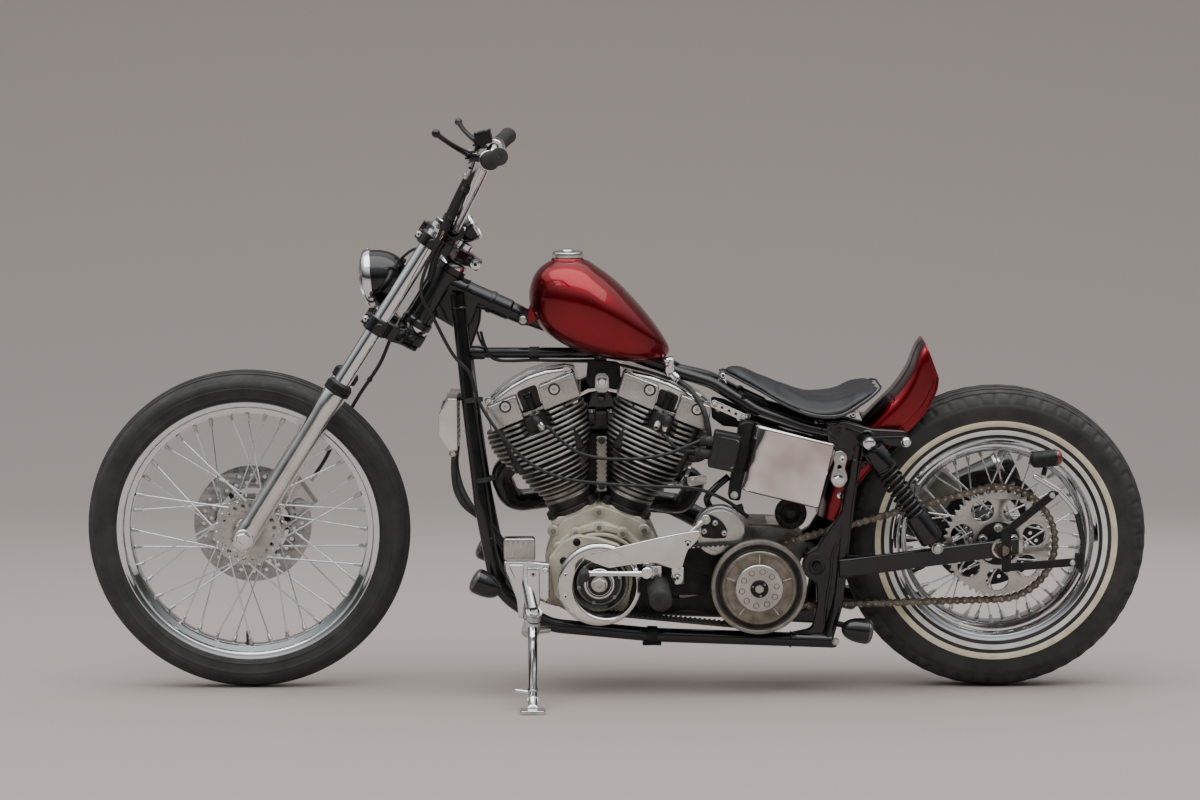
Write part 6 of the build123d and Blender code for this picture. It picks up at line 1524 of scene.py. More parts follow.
# ------------------------------------------------------------------ tank, seat and fender
def hermite(table, x):
    """Smooth values between the rows of a table whose first column rises."""
    n = len(table)
    i = 0
    while i < n - 2 and x > table[i + 1][0]:
        i += 1
    r0, r1 = table[i], table[i + 1]
    u = (x - r0[0]) / (r1[0] - r0[0])
    out = []
    for k in range(1, len(r0)):
        d = (r1[k] - r0[k]) / (r1[0] - r0[0])
        m0 = d if i == 0 else 0.5 * (d + (r0[k] - table[i - 1][k]) / (r0[0] - table[i - 1][0]))
        m1 = d if i == n - 2 else 0.5 * (d + (table[i + 2][k] - r1[k]) / (table[i + 2][0] - r1[0]))
        h = r1[0] - r0[0]
        out.append((2 * u ** 3 - 3 * u ** 2 + 1) * r0[k] + (u ** 3 - 2 * u ** 2 + u) * h * m0
                   + (-2 * u ** 3 + 3 * u ** 2) * r1[k] + (u ** 3 - u ** 2) * h * m1)
    return out


def closed_path(pts, n=12):
    w = list(pts[-2:]) + list(pts) + list(pts[:3])
    q = smooth_path(w, n)
    return q[2 * n: (2 + len(pts)) * n + 1]


def crossings(loop, x):
    out = []
    for a, b in zip(loop, loop[1:]):
        if (a[0] - x) * (b[0] - x) <= 0 and abs(a[0] - b[0]) > 1e-9:
            out.append(a[1] + (b[1] - a[1]) * (x - a[0]) / (b[0] - a[0]))
    return out


# side outline of the tank, over the top and back underneath, then half-widths and the height of the widest line
TANK_SIDE = [(600, 848), (604, 870), (612, 889), (625, 905), (645, 918), (668, 924.5), (700, 924.5), (724, 918.5), (742, 907), (785, 875), (828, 831),
             (862, 790), (884, 758), (894, 740), (897, 731), (894, 720), (884, 712), (868, 707), (845, 705), (790, 709), (730, 722), (685, 738), (645, 761),
             (622, 783), (608, 808), (601.5, 828)]
TANK_HALF = [(600, 0), (602, 20), (607, 37), (615, 52), (630, 71), (650, 86), (672, 97), (700, 105), (730, 108), (762, 107), (792, 100), (820, 88), (845, 73),
             (866, 56), (882, 39), (892, 22), (896, 9), (897, 0)]
TANK_WIDEST = [(600, 848), (640, 842), (690, 836), (740, 824), (790, 800), (845, 766), (880, 745), (897, 731)]


def tunnel_z(x):
    pts = [(560, 842), (600, 824), (770, 763), (915, 713)]
    for a, b in zip(pts, pts[1:]):
        if x <= b[0]:
            return a[1] + (b[1] - a[1]) * (x - a[0]) / (b[0] - a[0])
    return 713


g = Geo()
side = closed_path(TANK_SIDE, 14)
half_loop = closed_path(TANK_HALF + [(x, -w) for x, w in TANK_HALF[::-1][1:-1]], 14)
x_lo = max(min(p[0] for p in side), min(p[0] for p in half_loop))
x_hi = min(max(p[0] for p in side), max(p[0] for p in half_loop))
NX, NU, ring = 78, 24, []
for i in range(NX + 1):
    u = 0.006 + 0.988 * i / NX
    x = x_lo + (x_hi - x_lo) * (1 - cos(pi * u)) / 2
    zz = crossings(side, x)
    zb, zt = min(zz), max(zz)
    w = max(crossings(half_loop, x))
    zs = min(max(hermite(TANK_WIDEST, x)[0], zb + 0.42 * (zt - zb)), zb + 0.72 * (zt - zb))
    hu, hl = zt - zs, zs - zb
    tw = min(20.0, w * 0.4)
    tz = max(zb + 0.8, min(tunnel_z(x), zt - 12)) if w > 24 and zt - zb > 30 else zb + 0.8
    row = []
    for k in range(NU + 1):                      # from the top to the side, right half
        a = pi / 2 * k / NU
        row.append((w * sin(a) ** 0.96, zs + hu * cos(a)))
    for k in range(1, NU + 1):                   # down the side and under
        a = pi / 2 * k / NU
        e = 2 / 3.1
        yy, z1 = w * cos(a) ** e if a < pi / 2 - 1e-6 else 0.0, zs - hl * sin(a) ** e
        row.append((max(yy, tw), z1 if yy > tw else zb))
    row.append((tw, tz))
    full = row + [(-y, z) for y, z in row[::-1][:-1]]
    ring.append([Vector((x, y, z)) for y, z in full])
n = len(ring[0])
faces = []
for i in range(len(ring) - 1):
    for k in range(n):
        k2 = (k + 1) % n
        faces.append([i * n + k, i * n + k2, (i + 1) * n + k2, (i + 1) * n + k])
faces.append(list(range(n))[::-1])
faces.append([(len(ring) - 1) * n + k for k in range(n)])
g.add([p for r in ring for p in r], faces, "candy")
# front tab beside the frame bolt
tab = [(592, 785), (606, 789), (622, 800), (630, 818), (622, 834), (606, 834), (598, 812)]
for s in (-1, 1):
    g.plate(round_poly(tab, [5, 8, 9, 10, 9, 9, 8], 5), [], s * 22.0, s * 27.0, "candy", 1.6, res=3)
    g.lathe((588, s * 24.6, 796), (0, s, 0), [(0, 0), (0, 12.0), (2.2, 12.0), (2.6, 11.4), (2.6, 8.8)], "rubber", 32)
    g.lathe((588, s * 24.6, 796), (0, s, 0), [(2.4, 9.0), (3.2, 9.0), (8, 8.6), (9.4, 7.4), (9.8, 4.6), (6.4, 4.2), (6.4, 0)], "zinc", 32)
# rear tab and its bolt
g.plate(round_poly([(878, 716), (906, 703), (912, 698), (910, 692), (888, 700), (876, 706)], 4, 4), [], -13, 13, "candy", 1.5)
g.bolt((900, 0, 706), (0.33, 0, 0.94), 4.6, 5, "chrome", "allen", True)
# filler boss under the cap
g.lathe((682, 0, 905), (0, 0, 1), [(0, 38), (17.0, 35), (19.6, 32.6), (20.4, 30.6), (20.4, 26)], "candy", 64)
g.build("tank_shell", "chassis", ["fuel_tank"], slot="candy_red", sharp=60)

g = Geo()
g.lathe((682, 0, 914), (0, 0, 1), [(9.4, 0), (9.4, 28.5), (10.2, 30.4), (11.6, 31.9), (13.2, 32.6), (21.0, 32.6), (22.6, 32.0), (23.6, 30.8), (24.2, 28.4), (24.8, 24.0), (25.6, 17),
                                   (26.4, 13), (28.4, 11.4), (29.4, 8.0), (29.8, 3.4), (29.8, 0)], "chrome_dull", 96)
for i in range(48):
    a = 2 * pi * i / 48
    d = Vector((cos(a), sin(a), 0))
    g.tube([Vector((682, 0, 927.6)) + d * 32.4, Vector((682, 0, 934.4)) + d * 32.4], 0.6, "chrome_dull", 6)
g.build("filler_cap", "chassis", ["fuel_cap"], slot="chrome")

# petcock and its hose
g = Geo()
g.lathe((894, -30, 716), (0.10, 0, -1), [(0, 11), (3, 13.6), (8, 13.6), (10, 11.2), (16, 10.4), (18, 12.4), (31, 12.4), (33, 11), (36, 8.4), (40, 7.6), (40, 0)], "chrome", 32)
g.lathe((897, -41, 694), (0, -1, 0), [(0, 9.6), (7, 9.6), (8.4, 8.6), (9, 5), (9, 0)], "chrome", 28)
g.box((899, -49.5, 703), (9, 5, 24), "chrome", 2.2, 3, x=(1, 0, -0.2), z=(0.2, 0, 1))
g.lathe((899, -30, 684), (0.72, -0.12, -0.68), [(0, 9), (10, 8.6), (12, 9.6), (19, 9.6), (21, 7.4), (24, 7)], "chrome", 28)
g.tube(smooth_path([(910, -32, 673), (922, -36, 663), (942, -54, 648), (960, -76, 624), (972, -90, 596), (978, -94, 566), (978, -88, 540), (972, -72, 514), (950, -52, 500), (880, -30, 520),
                    (806, 6, 560), (780, 30, 580)], 8), 5.6, "rubber", 16)
g.build("petcock_and_hose", "chassis", [], slot="chrome")

# seat: a thin padded pan with a raised nose and tail
SEAT = [(1010, 681, 696, 692, 26), (1040, 668, 699, 690, 46), (1085, 646, 680, 668, 66), (1140, 618, 654, 642, 98),
        (1195, 600, 634, 628, 124), (1250, 601, 634, 634, 132), (1300, 628, 652, 656, 122), (1340, 652, 665, 668, 92)]


def seat_row(x):
    zb, zm, ze, w = hermite(SEAT, min(max(x, 1010), 1340))
    if x < 1046:
        k = sqrt(max(0.0, 1 - ((1046 - x) / 36.5) ** 2))
        w = w * (0.34 + 0.66 * k)
    if x < 1030:
        k = sqrt(max(0.0, 1 - ((1030 - x) / 20.3) ** 2))
        zm, ze = zb + (zm - zb) * (0.38 + 0.62 * k), zb + (ze - zb) * (0.38 + 0.62 * k)
    if x > 1310:
        k = sqrt(max(0.0, 1 - ((x - 1310) / 30.0) ** 2))
        w = w * (0.66 + 0.34 * k)
        zm, ze = zb + (zm - zb) * (0.5 + 0.5 * k), zb + (ze - zb) * (0.5 + 0.5 * k)
    return zb, zm, ze, w


def seat_mesh(name, shrink):
    g = Geo()
    xs = [1010.5, 1012, 1014.5, 1018, 1022, 1027] + [1033 + 6.9 * i for i in range(0, 41)] + [1320, 1326, 1331, 1335, 1338, 1339.5]
    rows = []
    for x in xs:
        zb, zm, ze, w = seat_row(x)
        w -= shrink
        zb += 1.0
        row = []
        m = 16
        for i in range(m + 1):                   # across the top, right to left
            q = 1 - 2 * i / m
            yy = w * 0.93 * q
            z = ze - 3 + (zm - ze) * (1 - abs(q) ** 2.2) - 2.6 * abs(q) ** 6 - shrink * 0.6
            row.append((yy, z))
        zt = row[-1][1]
        for a, b in ((0.985, 0.80), (1.0, 0.55), (0.99, 0.28), (0.95, 0.07)):
            row.append((-w * a, zb + (zt - zb) * b))
        for i in range(1, 8):
            q = i / 8
            row.append((-w * 0.90 * (1 - 2 * q), zb + shrink * 0.4))
        for a, b in ((0.95, 0.07), (0.99, 0.28), (1.0, 0.55), (0.985, 0.80)):
            row.append((w * a, zb + (zt - zb) * b))
        rows.append([Vector((x, y, z)) for y, z in row])
    n = len(rows[0])
    faces = []
    for i in range(len(rows) - 1):
        for k in range(n):
            k2 = (k + 1) % n
            faces.append([i * n + k, i * n + k2, (i + 1) * n + k2, (i + 1) * n + k])
    faces.append(list(range(n))[::-1])
    faces.append([(len(rows) - 1) * n + k for k in range(n)])
    g.add([p for r in rows for p in r], faces, "leather")
    return g


# swell the pad with a short cloth run, each point held to a few millimetres
seat = seat_mesh("seat_cover", 3.6).build("seat_cover", "chassis", [], slot="black_leather", sharp=60, ride=False)
bpy.context.view_layer.objects.active = seat
rm = seat.modifiers.new("remesh", 'REMESH')
rm.mode = 'VOXEL'
rm.voxel_size = 0.0052
dg = bpy.context.evaluated_depsgraph_get()
me = bpy.data.meshes.new_from_object(seat.evaluated_get(dg))
seat.modifiers.clear()
old = seat.data
seat.data = me
bpy.data.meshes.remove(old)
rest = [v.co.copy() for v in me.vertices]
# the pan under it stays where it is
vg = seat.vertex_groups.new(name="pan")
inv = M.inverted()
held = []
for v in me.vertices:
    p = inv @ v.co
    zb = seat_row(p.x)[0]
    if p.z < zb + 5.5:
        held.append(v.index)
vg.add(held, 1.0, 'REPLACE')
cm = seat.modifiers.new("cloth", 'CLOTH')
cs = cm.settings
cs.quality = 5
cs.mass = 0.4
cs.tension_stiffness = 28
cs.compression_stiffness = 28
cs.shear_stiffness = 12
cs.bending_stiffness = 1.2
cs.use_pressure = True
cs.uniform_pressure_force = 4.0
cs.vertex_group_mass = "pan"
cs.effector_weights.gravity = 0.0
cm.point_cache.frame_start = 1
cm.point_cache.frame_end = 20
for f in range(1, 21):
    bpy.context.scene.frame_set(f)
dg = bpy.context.evaluated_depsgraph_get()
moved = bpy.data.meshes.new_from_object(seat.evaluated_get(dg))
seat.modifiers.clear()
seat.vertex_groups.clear()
for v, r in zip(moved.vertices, rest):
    d = v.co - r
    if d.length > 0.0055:
        v.co = r + d.normalized() * 0.0055
seat.data = moved
bpy.data.meshes.remove(me)
bpy.context.scene.frame_set(1)
soft = seat.modifiers.new("soft", 'SMOOTH')
soft.factor = 0.5
soft.iterations = 14
sub = seat.modifiers.new("sub", 'SUBSURF')
sub.levels = sub.render_levels = 1
dg = bpy.context.evaluated_depsgraph_get()
fine = bpy.data.meshes.new_from_object(seat.evaluated_get(dg))
seat.modifiers.clear()
seat.data = fine
bpy.data.meshes.remove(moved)
fine.polygons.foreach_set("use_smooth", [True] * len(fine.polygons))
seat.name = "seat_cover"
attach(seat, "chassis")
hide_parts("seat")

# hem and stitching round the lower edge of the seat
g = Geo()
loop = []
xs = [1013 + 7 * i for i in range(0, 47)]
for s in (-1, 1):
    side = []
    for x in xs:
        zb, zm, ze, w = seat_row(x)
        side.append(Vector((x, s * (w * 0.985 + 0.2), zb + 3.6)))
    loop.append(side)
zb, zm, ze, w = seat_row(1011)
front = [Vector((1010.2, -w * q, zb + 4.0)) for q in (0.6, 0.3, 0.0, -0.3, -0.6)]
zb, zm, ze, w = seat_row(1339)
back = [Vector((1341.0, w * q, zb + 4.0)) for q in (0.75, 0.4, 0.0, -0.4, -0.75)]
hem = loop[1][::-1] + [Vector((p.x, -p.y, p.z)) for p in front] + loop[0] + [Vector((p.x, -p.y, p.z)) for p in back]
hem = hem + [hem[0]]
g.tube(smooth_path(hem, 3), 2.3, "leather", 10, caps=False)
g.build("seat_hem", "chassis", [], slot="black_leather")
g = Geo()
run = []
for s in (-1, 1):
    pts = []
    for x in [1166 + 5 * i for i in range(0, 34)]:
        zb, zm, ze, w = seat_row(x)
        pts.append(Vector((x, s * (w * 1.0 + 0.6), zb + 8.6)))
    run.append(smooth_path(pts, 2))
for line in run:
    dist, last = 0.0, line[0]
    cur = [line[0]]
    for p in line[1:]:
        seg = (p - last).length
        dist += seg
        last = p
        cur.append(p)
        if dist > 5.0:
            a, b = cur[0], cur[-1]
            g.tube([a + (b - a) * 0.14, (a + b) / 2 + Vector((0, 0.5 if a.y > 0 else -0.5, 0)), a + (b - a) * 0.86], 0.55, "thread", 5)
            cur, dist = [p], 0.0
g.build("seat_stitching", "chassis", [], slot="black_leather")

# fender: crowned top panel, side skirts, rolled bead and a flared tip
FENDER = [(110.5, 456.4, 374, 72), (112, 450.4, 356, 74), (114, 436.2, 343.6, 76), (116.5, 417.4, 331.4, 77), (120, 401.4, 319.4, 77), (124.5, 389.4, 311.4, 77), (130, 384.4, 307.6, 77), (137, 382.4, 309.4, 76),
          (148, 382.6, 312, 75), (160, 381.6, 324, 74), (172, 380.6, 326, 74)]
g = Geo()
angs = [110.5 + 61.5 * i / 108 for i in range(109)]


def fender_row(a, t):
    rc, re, w = hermite(FENDER, a)
    q = []
    pts = [(0.0, rc + 0.6), (0.12, rc + 0.5), (0.22, rc + 0.3), (0.28, rc), (0.315, rc - 0.7), (0.345, rc - 2.0), (0.38, rc - 2.8), (0.44, rc - 3.3), (0.56, rc - 4.6),
           (0.68, rc - 6.4), (0.78, rc - 8.6), (0.86, rc - 11.2), (0.92, rc - 14.6), (0.962, rc - 19), (0.988, rc - 24.5), (1.0, rc - 31)]
    m = 7
    for i in range(1, m + 1):
        pts.append((1.0 + 0.012 * sin(pi * i / m), rc - 31 + (re - rc + 31) * i / m))
    return [(w * y - t * (1.0 if i > 11 else 0.0), r - t * (1.0 if i <= 14 else 0.0)) for i, (y, r) in enumerate(pts)]


def fender_pt(a, y, r):
    a = radians(a)
    return Vector((RX + r * cos(a), y, RZ + r * sin(a)))


for t, flip in ((0.0, False), (2.6, True)):
    rows = []
    for a in angs:
        h = fender_row(a, t)
        full = [(-y, r) for y, r in h[::-1]] + h[1:]
        rows.append([fender_pt(a, y, r) for y, r in full])
    n = len(rows[0])
    faces = []
    for i in range(len(rows) - 1):
        for k in range(n - 1):
            f = [i * n + k, i * n + k + 1, (i + 1) * n + k + 1, (i + 1) * n + k]
            faces.append(f[::-1] if flip else f)
    # the strip along the crown gets the near-black material: a painted dark reflection, not a second paint
    if t == 0:
        mid = n // 2
        top = [f for i, f in enumerate(faces) if abs((i % (n - 1)) + 0.5 - mid) < 10.0]
        rest = [f for i, f in enumerate(faces) if abs((i % (n - 1)) + 0.5 - mid) >= 10.0]
        P = [p for r in rows for p in r]
        g.add(P, rest, "candy")
        g.add(P, top, "painted_crown_reflection")
    else:
        g.add([p for r in rows for p in r], faces, "black_satin")
# rolled edges
for s in (-1, 1):
    pts = []
    for a in angs:
        y, r = fender_row(a, 0)[-1]
        pts.append(fender_pt(a, s * (y - 0.6), r + 0.6))
    g.tube(pts, 2.9, "candy", 10)
    pts = []
    for a in angs[2:]:
        y, r = fender_row(a, 0)[-1]
        pts.append(fender_pt(a, s * (y + 0.9), r + 15))
    g.tube(pts, 1.5, "candy", 8)
for a in (110.5, 172):
    h = fender_row(a, 1.3)
    full = [(-y, r) for y, r in h[::-1]] + h[1:]
    g.tube([fender_pt(a, y, r) for y, r in full], 2.5, "candy", 8)
# fixing bolts on the skirts
for s in (-1, 1):
    for a, r in ((150, 345), (163, 348)):
        g.bolt(fender_pt(a, s * 75.6, r), (0, s, 0), 5.2, 5.6, "chrome", "allen", True)
g.build("fender_shell", "chassis", ["rear_fender"], slot="candy_red", sharp=40, recalc=False)

# fender support strut from the frame castings
g = Geo()
for s in (-1, 1):
    g.tube(rounded_path([(1384, s * 106, 551), (1352, s * 96, 520), (1300, s * 82, 500)], [30], 6), 6.0, "black_gloss", 16)
    g.box((1296, s * 79.5, 500), (30, 7, 22), "black_gloss", 2, 2)
g.build("fender_struts", "chassis", [], slot="black_frame")

# ------------------------------------------------------------------ side box, coil, horn, cooler
g = Geo()
X1 = Vector((171, 0, -42)).normalized()
N1 = Vector((-X1.z, 0, X1.x))
org = Vector((1071, 0, 589))
# the wavy chrome carries painted pinkish reflections in its colour
g.plate(round_poly([(1.5, -129.6), (175.6, -129.6), (175.6, 95.6), (1.5, 95.6)], [40, 9, 9, 26], 12), [], -143.5, -1.2, "chrome_wave_painted_reflection", 6.5, origin=org, x=X1, n=N1, res=6)
g.build("chrome_side_box", "chassis", ["side_box"], slot="chrome", sharp=50)

# waisted bracket behind the box with a small and a large bolt
g = Geo()
g.plate(round_poly([(1240, 529), (1253, 532), (1267, 522), (1265, 508), (1261, 495), (1266, 482), (1267, 469), (1259, 456), (1249, 452), (1238, 456), (1231, 469), (1233, 482),
                    (1236, 493), (1239, 505), (1236, 517)], [8, 9, 9, 8, 12, 8, 9, 9, 9, 9, 9, 8, 8, 8, 8], 5), [('c', 1250, 497, 4.2)], -120, -126.5, "satin", 2.2, res=3)
g.bolt((1255, -126.5, 514), (0, -1, 0), 4.6, 5, "chrome", "allen", True)
g.bolt((1247, -126.5, 470), (0, -1, 0), 8.4, 8, "chrome", "hex", True)
# black frame plate along the front of the box, with its foot and stay
g.plate(round_poly([(1040, 584), (1056, 590), (1072, 588), (1047, 447), (1044, 420), (1018, 424), (1021, 450)], [8, 8, 4, 6, 8, 10, 8], 5), [('c', 1030, 432, 4.5)], -104, -70, "black_satin", 4, res=3)
g.box((1040, -92, 500), (16, 20, 96), "black_gloss", 6, 3, x=(0.978, 0, -0.208), z=(0.208, 0, 0.978))
g.bolt((1031, -104, 434), (0, -1, 0), 5.6, 5, "zinc", "hex", True)
g.tube(smooth_path([(1020, -84, 470), (990, -92, 446), (974, -96, 424), (986, -92, 402), (1018, -84, 396), (1050, -76, 404)], 8), 7.5, "black_gloss", 16)
g.plate(round_poly([(930, 468), (972, 474), (976, 455), (936, 448)], [7, 7, 8, 8], 4), [], -86, -82, "satin", 1.2)
g.bolt((946, -86, 461), (0, -1, 0), 5.4, 5, "zinc", "hex", True)
# dark hanger plate between the seat rail and the coil
g.plate(round_poly([(984, 634), (1012, 628), (1074, 598), (1077, 580), (1052, 566), (1010, 570), (986, 588)], [6, 8, 8, 8, 10, 10, 8], 5), [('c', 1044, 586, 5.5)], -38, -32, "black_satin", 2.0, res=3)
g.bolt((1000, -38, 606), (0, -1, 0), 4.6, 4.6, "zinc", "hex", True)
g.bolt((1062, -38, 592), (0, -1, 0), 4.6, 4.6, "zinc", "hex", True)
g.build("box_bracket", "chassis", [], slot="satin_aluminium")

# coil with two towers, strap and terminals
g = Geo()
cx_, cz_ = Vector((0.978, 0, -0.208)), Vector((0.208, 0, 0.978))
cc = Vector((1009, -109, 530))
g.box(cc, (56, 44, 78), "black_plastic", 6, 4, x=cx_, z=cz_)
g.box(cc + cx_ * 4, (40, 46.4, 62), "black_plastic", 3, 3, x=cx_, z=cz_)
for q in (-24, 24):
    g.box(cc + cz_ * q + cx_ * 4 - Vector((0, 22.6, 0)), (44, 1.6, 4), "black_plastic", 0.6, 2, x=cx_, z=cz_)
for a, b in (((986, -109, 548), (958.5, -108, 552)), ((984, -109, 521), (946.5, -108, 528))):
    a, b = Vector(a), Vector(b)
    u = (b - a).normalized()
    Lt = (b - a).length
    g.lathe(a, u, [(0, 12), (Lt * 0.35, 11.6), (Lt - 12, 10.6), (Lt - 10, 11.8), (Lt - 8, 10.4), (Lt - 6, 11.4), (Lt - 4, 10.0), (Lt - 2, 9.0), (Lt, 6.4), (Lt, 4)], "rubber", 28)
g.box(cc + cz_ * 36 + cx_ * 12 - Vector((0, 10, 0)), (22, 20, 5), "black_gloss", 2, 2, x=cx_, z=cz_)
for q in (-27, 27):
    g.bolt(cc + cz_ * q + cx_ * 20 - Vector((0, 22.4, 0)), (0, -1, 0), 3.6, 0.6, "zinc", "allen", False)
g.build("coil", "chassis", ["ignition_coil"], slot="lamp_black")

# horn: black satin trumpet face over a black body
g = Geo()
g.lathe((1151, 0, 392), (0, -1, 0), [(60.4, 0), (60.4, 21.5), (72, 25.6), (84, 33.4), (86, 33.8), (92, 33.8), (93.6, 33.0), (94, 31.4), (90, 29.5), (89, 22), (93, 17), (96, 12), (99.6, 9), (100, 0)],
        "black_satin", 64)
for i in range(6):
    a = 2 * pi * (i + 0.5) / 6
    g.bolt((1151 + 29.6 * cos(a), -92.8, 392 + 29.6 * sin(a)), (0, -1, 0), 2.8, 2.6, "black_satin", "hex", False)
for i in range(8):
    a = 2 * pi * i / 8
    d = Vector((cos(a), 0, sin(a)))
    g.box(Vector((1151, -90.6, 392)) + d * 23, (14, 2, 3), "black_satin", 0.6, 1, x=d, z=(0, 1, 0))
g.build("horn_unit", "chassis", ["horn"], slot="lamp_black")

# oil cooler: finned core, end tanks, two hoses
g = Geo()
for s in (-1, 1):
    g.plate(round_poly([(410.4, 556), (410.4, 604), (430, 635.4), (449.6, 635.4), (449.6, 524.6), (430, 524.6)], 3, 3), [], s * 63.2, s * 74.6, "polished", 2.2, res=3)
for k in (-1, 1):
    g.box((439, 0, 580 + k * 53.4), (20, 132, 4.4), "polished", 1.4, 2)
for i in range(9):
    z = 580 - 46 + 11.5 * i
    g.box((431 if abs(z - 580) < 30 else 436, 0, z), (36 if abs(z - 580) < 30 else 26, 128, 3.6), "satin", 1.2, 2)
for i in range(44):
    y = -62 + 124 * i / 43
    g.box((430, y, 580), (33, 0.9, 62), "satin", 0, 1)
    g.box((438, y, 580), (18, 0.9, 101), "satin", 0, 1)
for s in (-1, 1):
    g.lathe((438, s * 62, 527), (0.2, 0, -1), [(0, 7), (6, 7), (7, 9), (13, 9), (14, 7), (17, 6)], "zinc", 6)
hoseA = smooth_path([(442, -62, 511), (441, -64, 480), (446, -68, 440), (462, -74, 410), (487, -72, 388), (512, -60, 368), (540, -42, 326), (580, -22, 268), (630, -12, 222)], 8)
hoseB = smooth_path([(442, 62, 511), (440, 42, 480), (450, 6, 440), (468, -26, 408), (490, -44, 380), (514, -42, 352), (546, -28, 306), (592, -14, 248), (640, -10, 212)], 8)
for h in (hoseA, hoseB):
    g.tube(h, 6.4, "rubber", 16)
g.box((456, 0, 628), (34, 60, 7), "black_satin", 2, 2)
g.build("finned_oil_cooler", "chassis", ["oil_cooler"], slot="satin_aluminium", sharp=40)

# spark leads with their boots
g = Geo()
lead1 = smooth_path([(631, -96, 576), (640, -104, 580), (664, -110, 556), (700, -112, 529), (745, -115, 516), (790, -116, 513), (840, -116, 515), (890, -115, 524),
                     (930, -111, 539), (962, -108, 552)], 8)
lead2 = smooth_path([(881, -96, 561), (884, -103, 562), (896, -109, 548), (910, -111, 535), (928, -110, 530), (950, -108, 528)], 8)
g.tube(lead1, 3.7, "cable", 12)
g.tube(lead2, 3.7, "cable", 12)
for s, (bx, bz), (tx, tz) in ((-1, (615, 593), (631, 576)), (1, (891, 593), (881, 561))):
    a = on(s, 352, 6, -44)
    b = Vector((bx, -92, bz))
    c = Vector((tx, -98, tz))
    g.tube(smooth_path([a + (b - a) * 0.34, a + (b - a) * 0.7, b, b + (c - b) * 0.45], 5), 8.6, "rubber", 20,
           radii=[7.4 + 1.2 * min(1, i / 4) for i in range(16)])
    dd = (c - b).normalized()
    g.lathe(b + dd * 6, dd, [(0, 8.4), (4, 8.6), (5, 7.4), (12, 7.0), (13, 6.2), (20, 5.4), (20, 3.8)], "chrome_dull", 24)
g.build("spark_lead_pair", "chassis", ["spark_leads"], slot="black_rubber")

# ------------------------------------------------------------------ primary drive
def lobe(c, r, y0, y1, key, n=64, dish=None):
    prof = [(-y0, 0), (-y0, r), (-y1, r), (-y1, 0)]
    return prof


CLX, CLZ = 1080.0, 251.0


def belt_line(c1, r1, c2, r2, n=900):
    """Points and outward normals round two pulleys, evenly spaced."""
    dx, dz = c2[0] - c1[0], c2[1] - c1[1]
    L = hypot(dx, dz)
    base = atan2(dz, dx)
    ph = math.acos((r1 - r2) / L)
    a1, a2 = base + ph, base - ph
    p1 = (c1[0] + r1 * cos(a1), c1[1] + r1 * sin(a1))
    p2 = (c2[0] + r2 * cos(a1), c2[1] + r2 * sin(a1))
    p3 = (c2[0] + r2 * cos(a2), c2[1] + r2 * sin(a2))
    p4 = (c1[0] + r1 * cos(a2), c1[1] + r1 * sin(a2))
    run = hypot(p2[0] - p1[0], p2[1] - p1[1])
    arc2 = r2 * 2 * ph
    arc1 = r1 * (2 * pi - 2 * ph)
    total = 2 * run + arc2 + arc1
    out = []
    for i in range(n):
        t = total * i / n
        if t < run:
            q = t / run
            out.append((p1[0] + (p2[0] - p1[0]) * q, p1[1] + (p2[1] - p1[1]) * q, a1))
        elif t < run + arc2:
            a = a1 - (t - run) / r2
            out.append((c2[0] + r2 * cos(a), c2[1] + r2 * sin(a), a))
        elif t < 2 * run + arc2:
            q = (t - run - arc2) / run
            out.append((p3[0] + (p4[0] - p3[0]) * q, p3[1] + (p4[1] - p3[1]) * q, a2))
        else:
            a = a2 - (t - 2 * run - arc2) / r1
            out.append((c1[0] + r1 * cos(a), c1[1] + r1 * sin(a), a))
    return out, total


# toothed belt
g = Geo()
loop, total = belt_line((KX, KZ), 62.0, (CLX, CLZ), 88.0, 1120)
teeth = 112
per = len(loop) // teeth
outer, inner = [], []
for i, (x, z, a) in enumerate(loop):
    ph = (i % per) / per
    lift = 0.2 if ph < 0.42 else 2.9 if 0.5 < ph < 0.92 else 1.4
    outer.append((x + 6.6 * cos(a), z + 6.6 * sin(a)))
    inner.append((x + lift * cos(a), z + lift * sin(a)))
n = len(loop)
verts, faces = [], []
for y in (-159.2, -121.0):
    verts += [(x, y, z) for x, z in outer]
    verts += [(x, y, z) for x, z in inner]
for i in range(n):
    j = (i + 1) % n
    faces += [[i, j, 2 * n + j, 2 * n + i], [n + i, 3 * n + i, 3 * n + j, n + j], [i, n + i, n + j, j], [2 * n + i, 2 * n + j, 3 * n + j, 3 * n + i]]
g.add(verts, faces, "rubber")
g.build("toothed_belt", "chassis", ["primary_belt"], slot="black_rubber", sharp=28)

# front pulley: black dished ring, bright middle ring and bolt
g = Geo()
g.lathe((KX, 0, KZ), (0, -1, 0), [(98, 24), (121, 24)], "zinc", 40)
prof = [(120.4, 24), (120.4, 61), (121, 61.4), (158.6, 61.4), (160.2, 60.4), (161, 57.5), (160.2, 55), (154, 49), (151.6, 40), (153, 33), (158, 32.5)]
g.lathe((KX, 0, KZ), (0, -1, 0), prof, "black_gloss", 112)
g.lathe((KX, 0, KZ), (0, -1, 0), [(159.6, 60.9), (161.2, 60.2), (161.6, 58.0), (161.0, 56.4), (159.2, 55.4)], "bronze", 112)
g.lathe((KX, 0, KZ), (0, -1, 0), [(153.4, 47.6), (155.4, 47.2), (155.6, 44.2), (152.6, 43.4)], "cast", 96)
prof = [(156, 33.5), (170, 32.4), (171.6, 31), (172, 28), (170.4, 26.4), (168, 25.5), (168, 22)]
g.lathe((KX, 0, KZ), (0, -1, 0), prof, "polished", 88)
g.lathe((KX, 0, KZ), (0, -1, 0), [(162, 24.5), (168.6, 24.5), (169.4, 23.5), (169.4, 0)], "dark", 48)
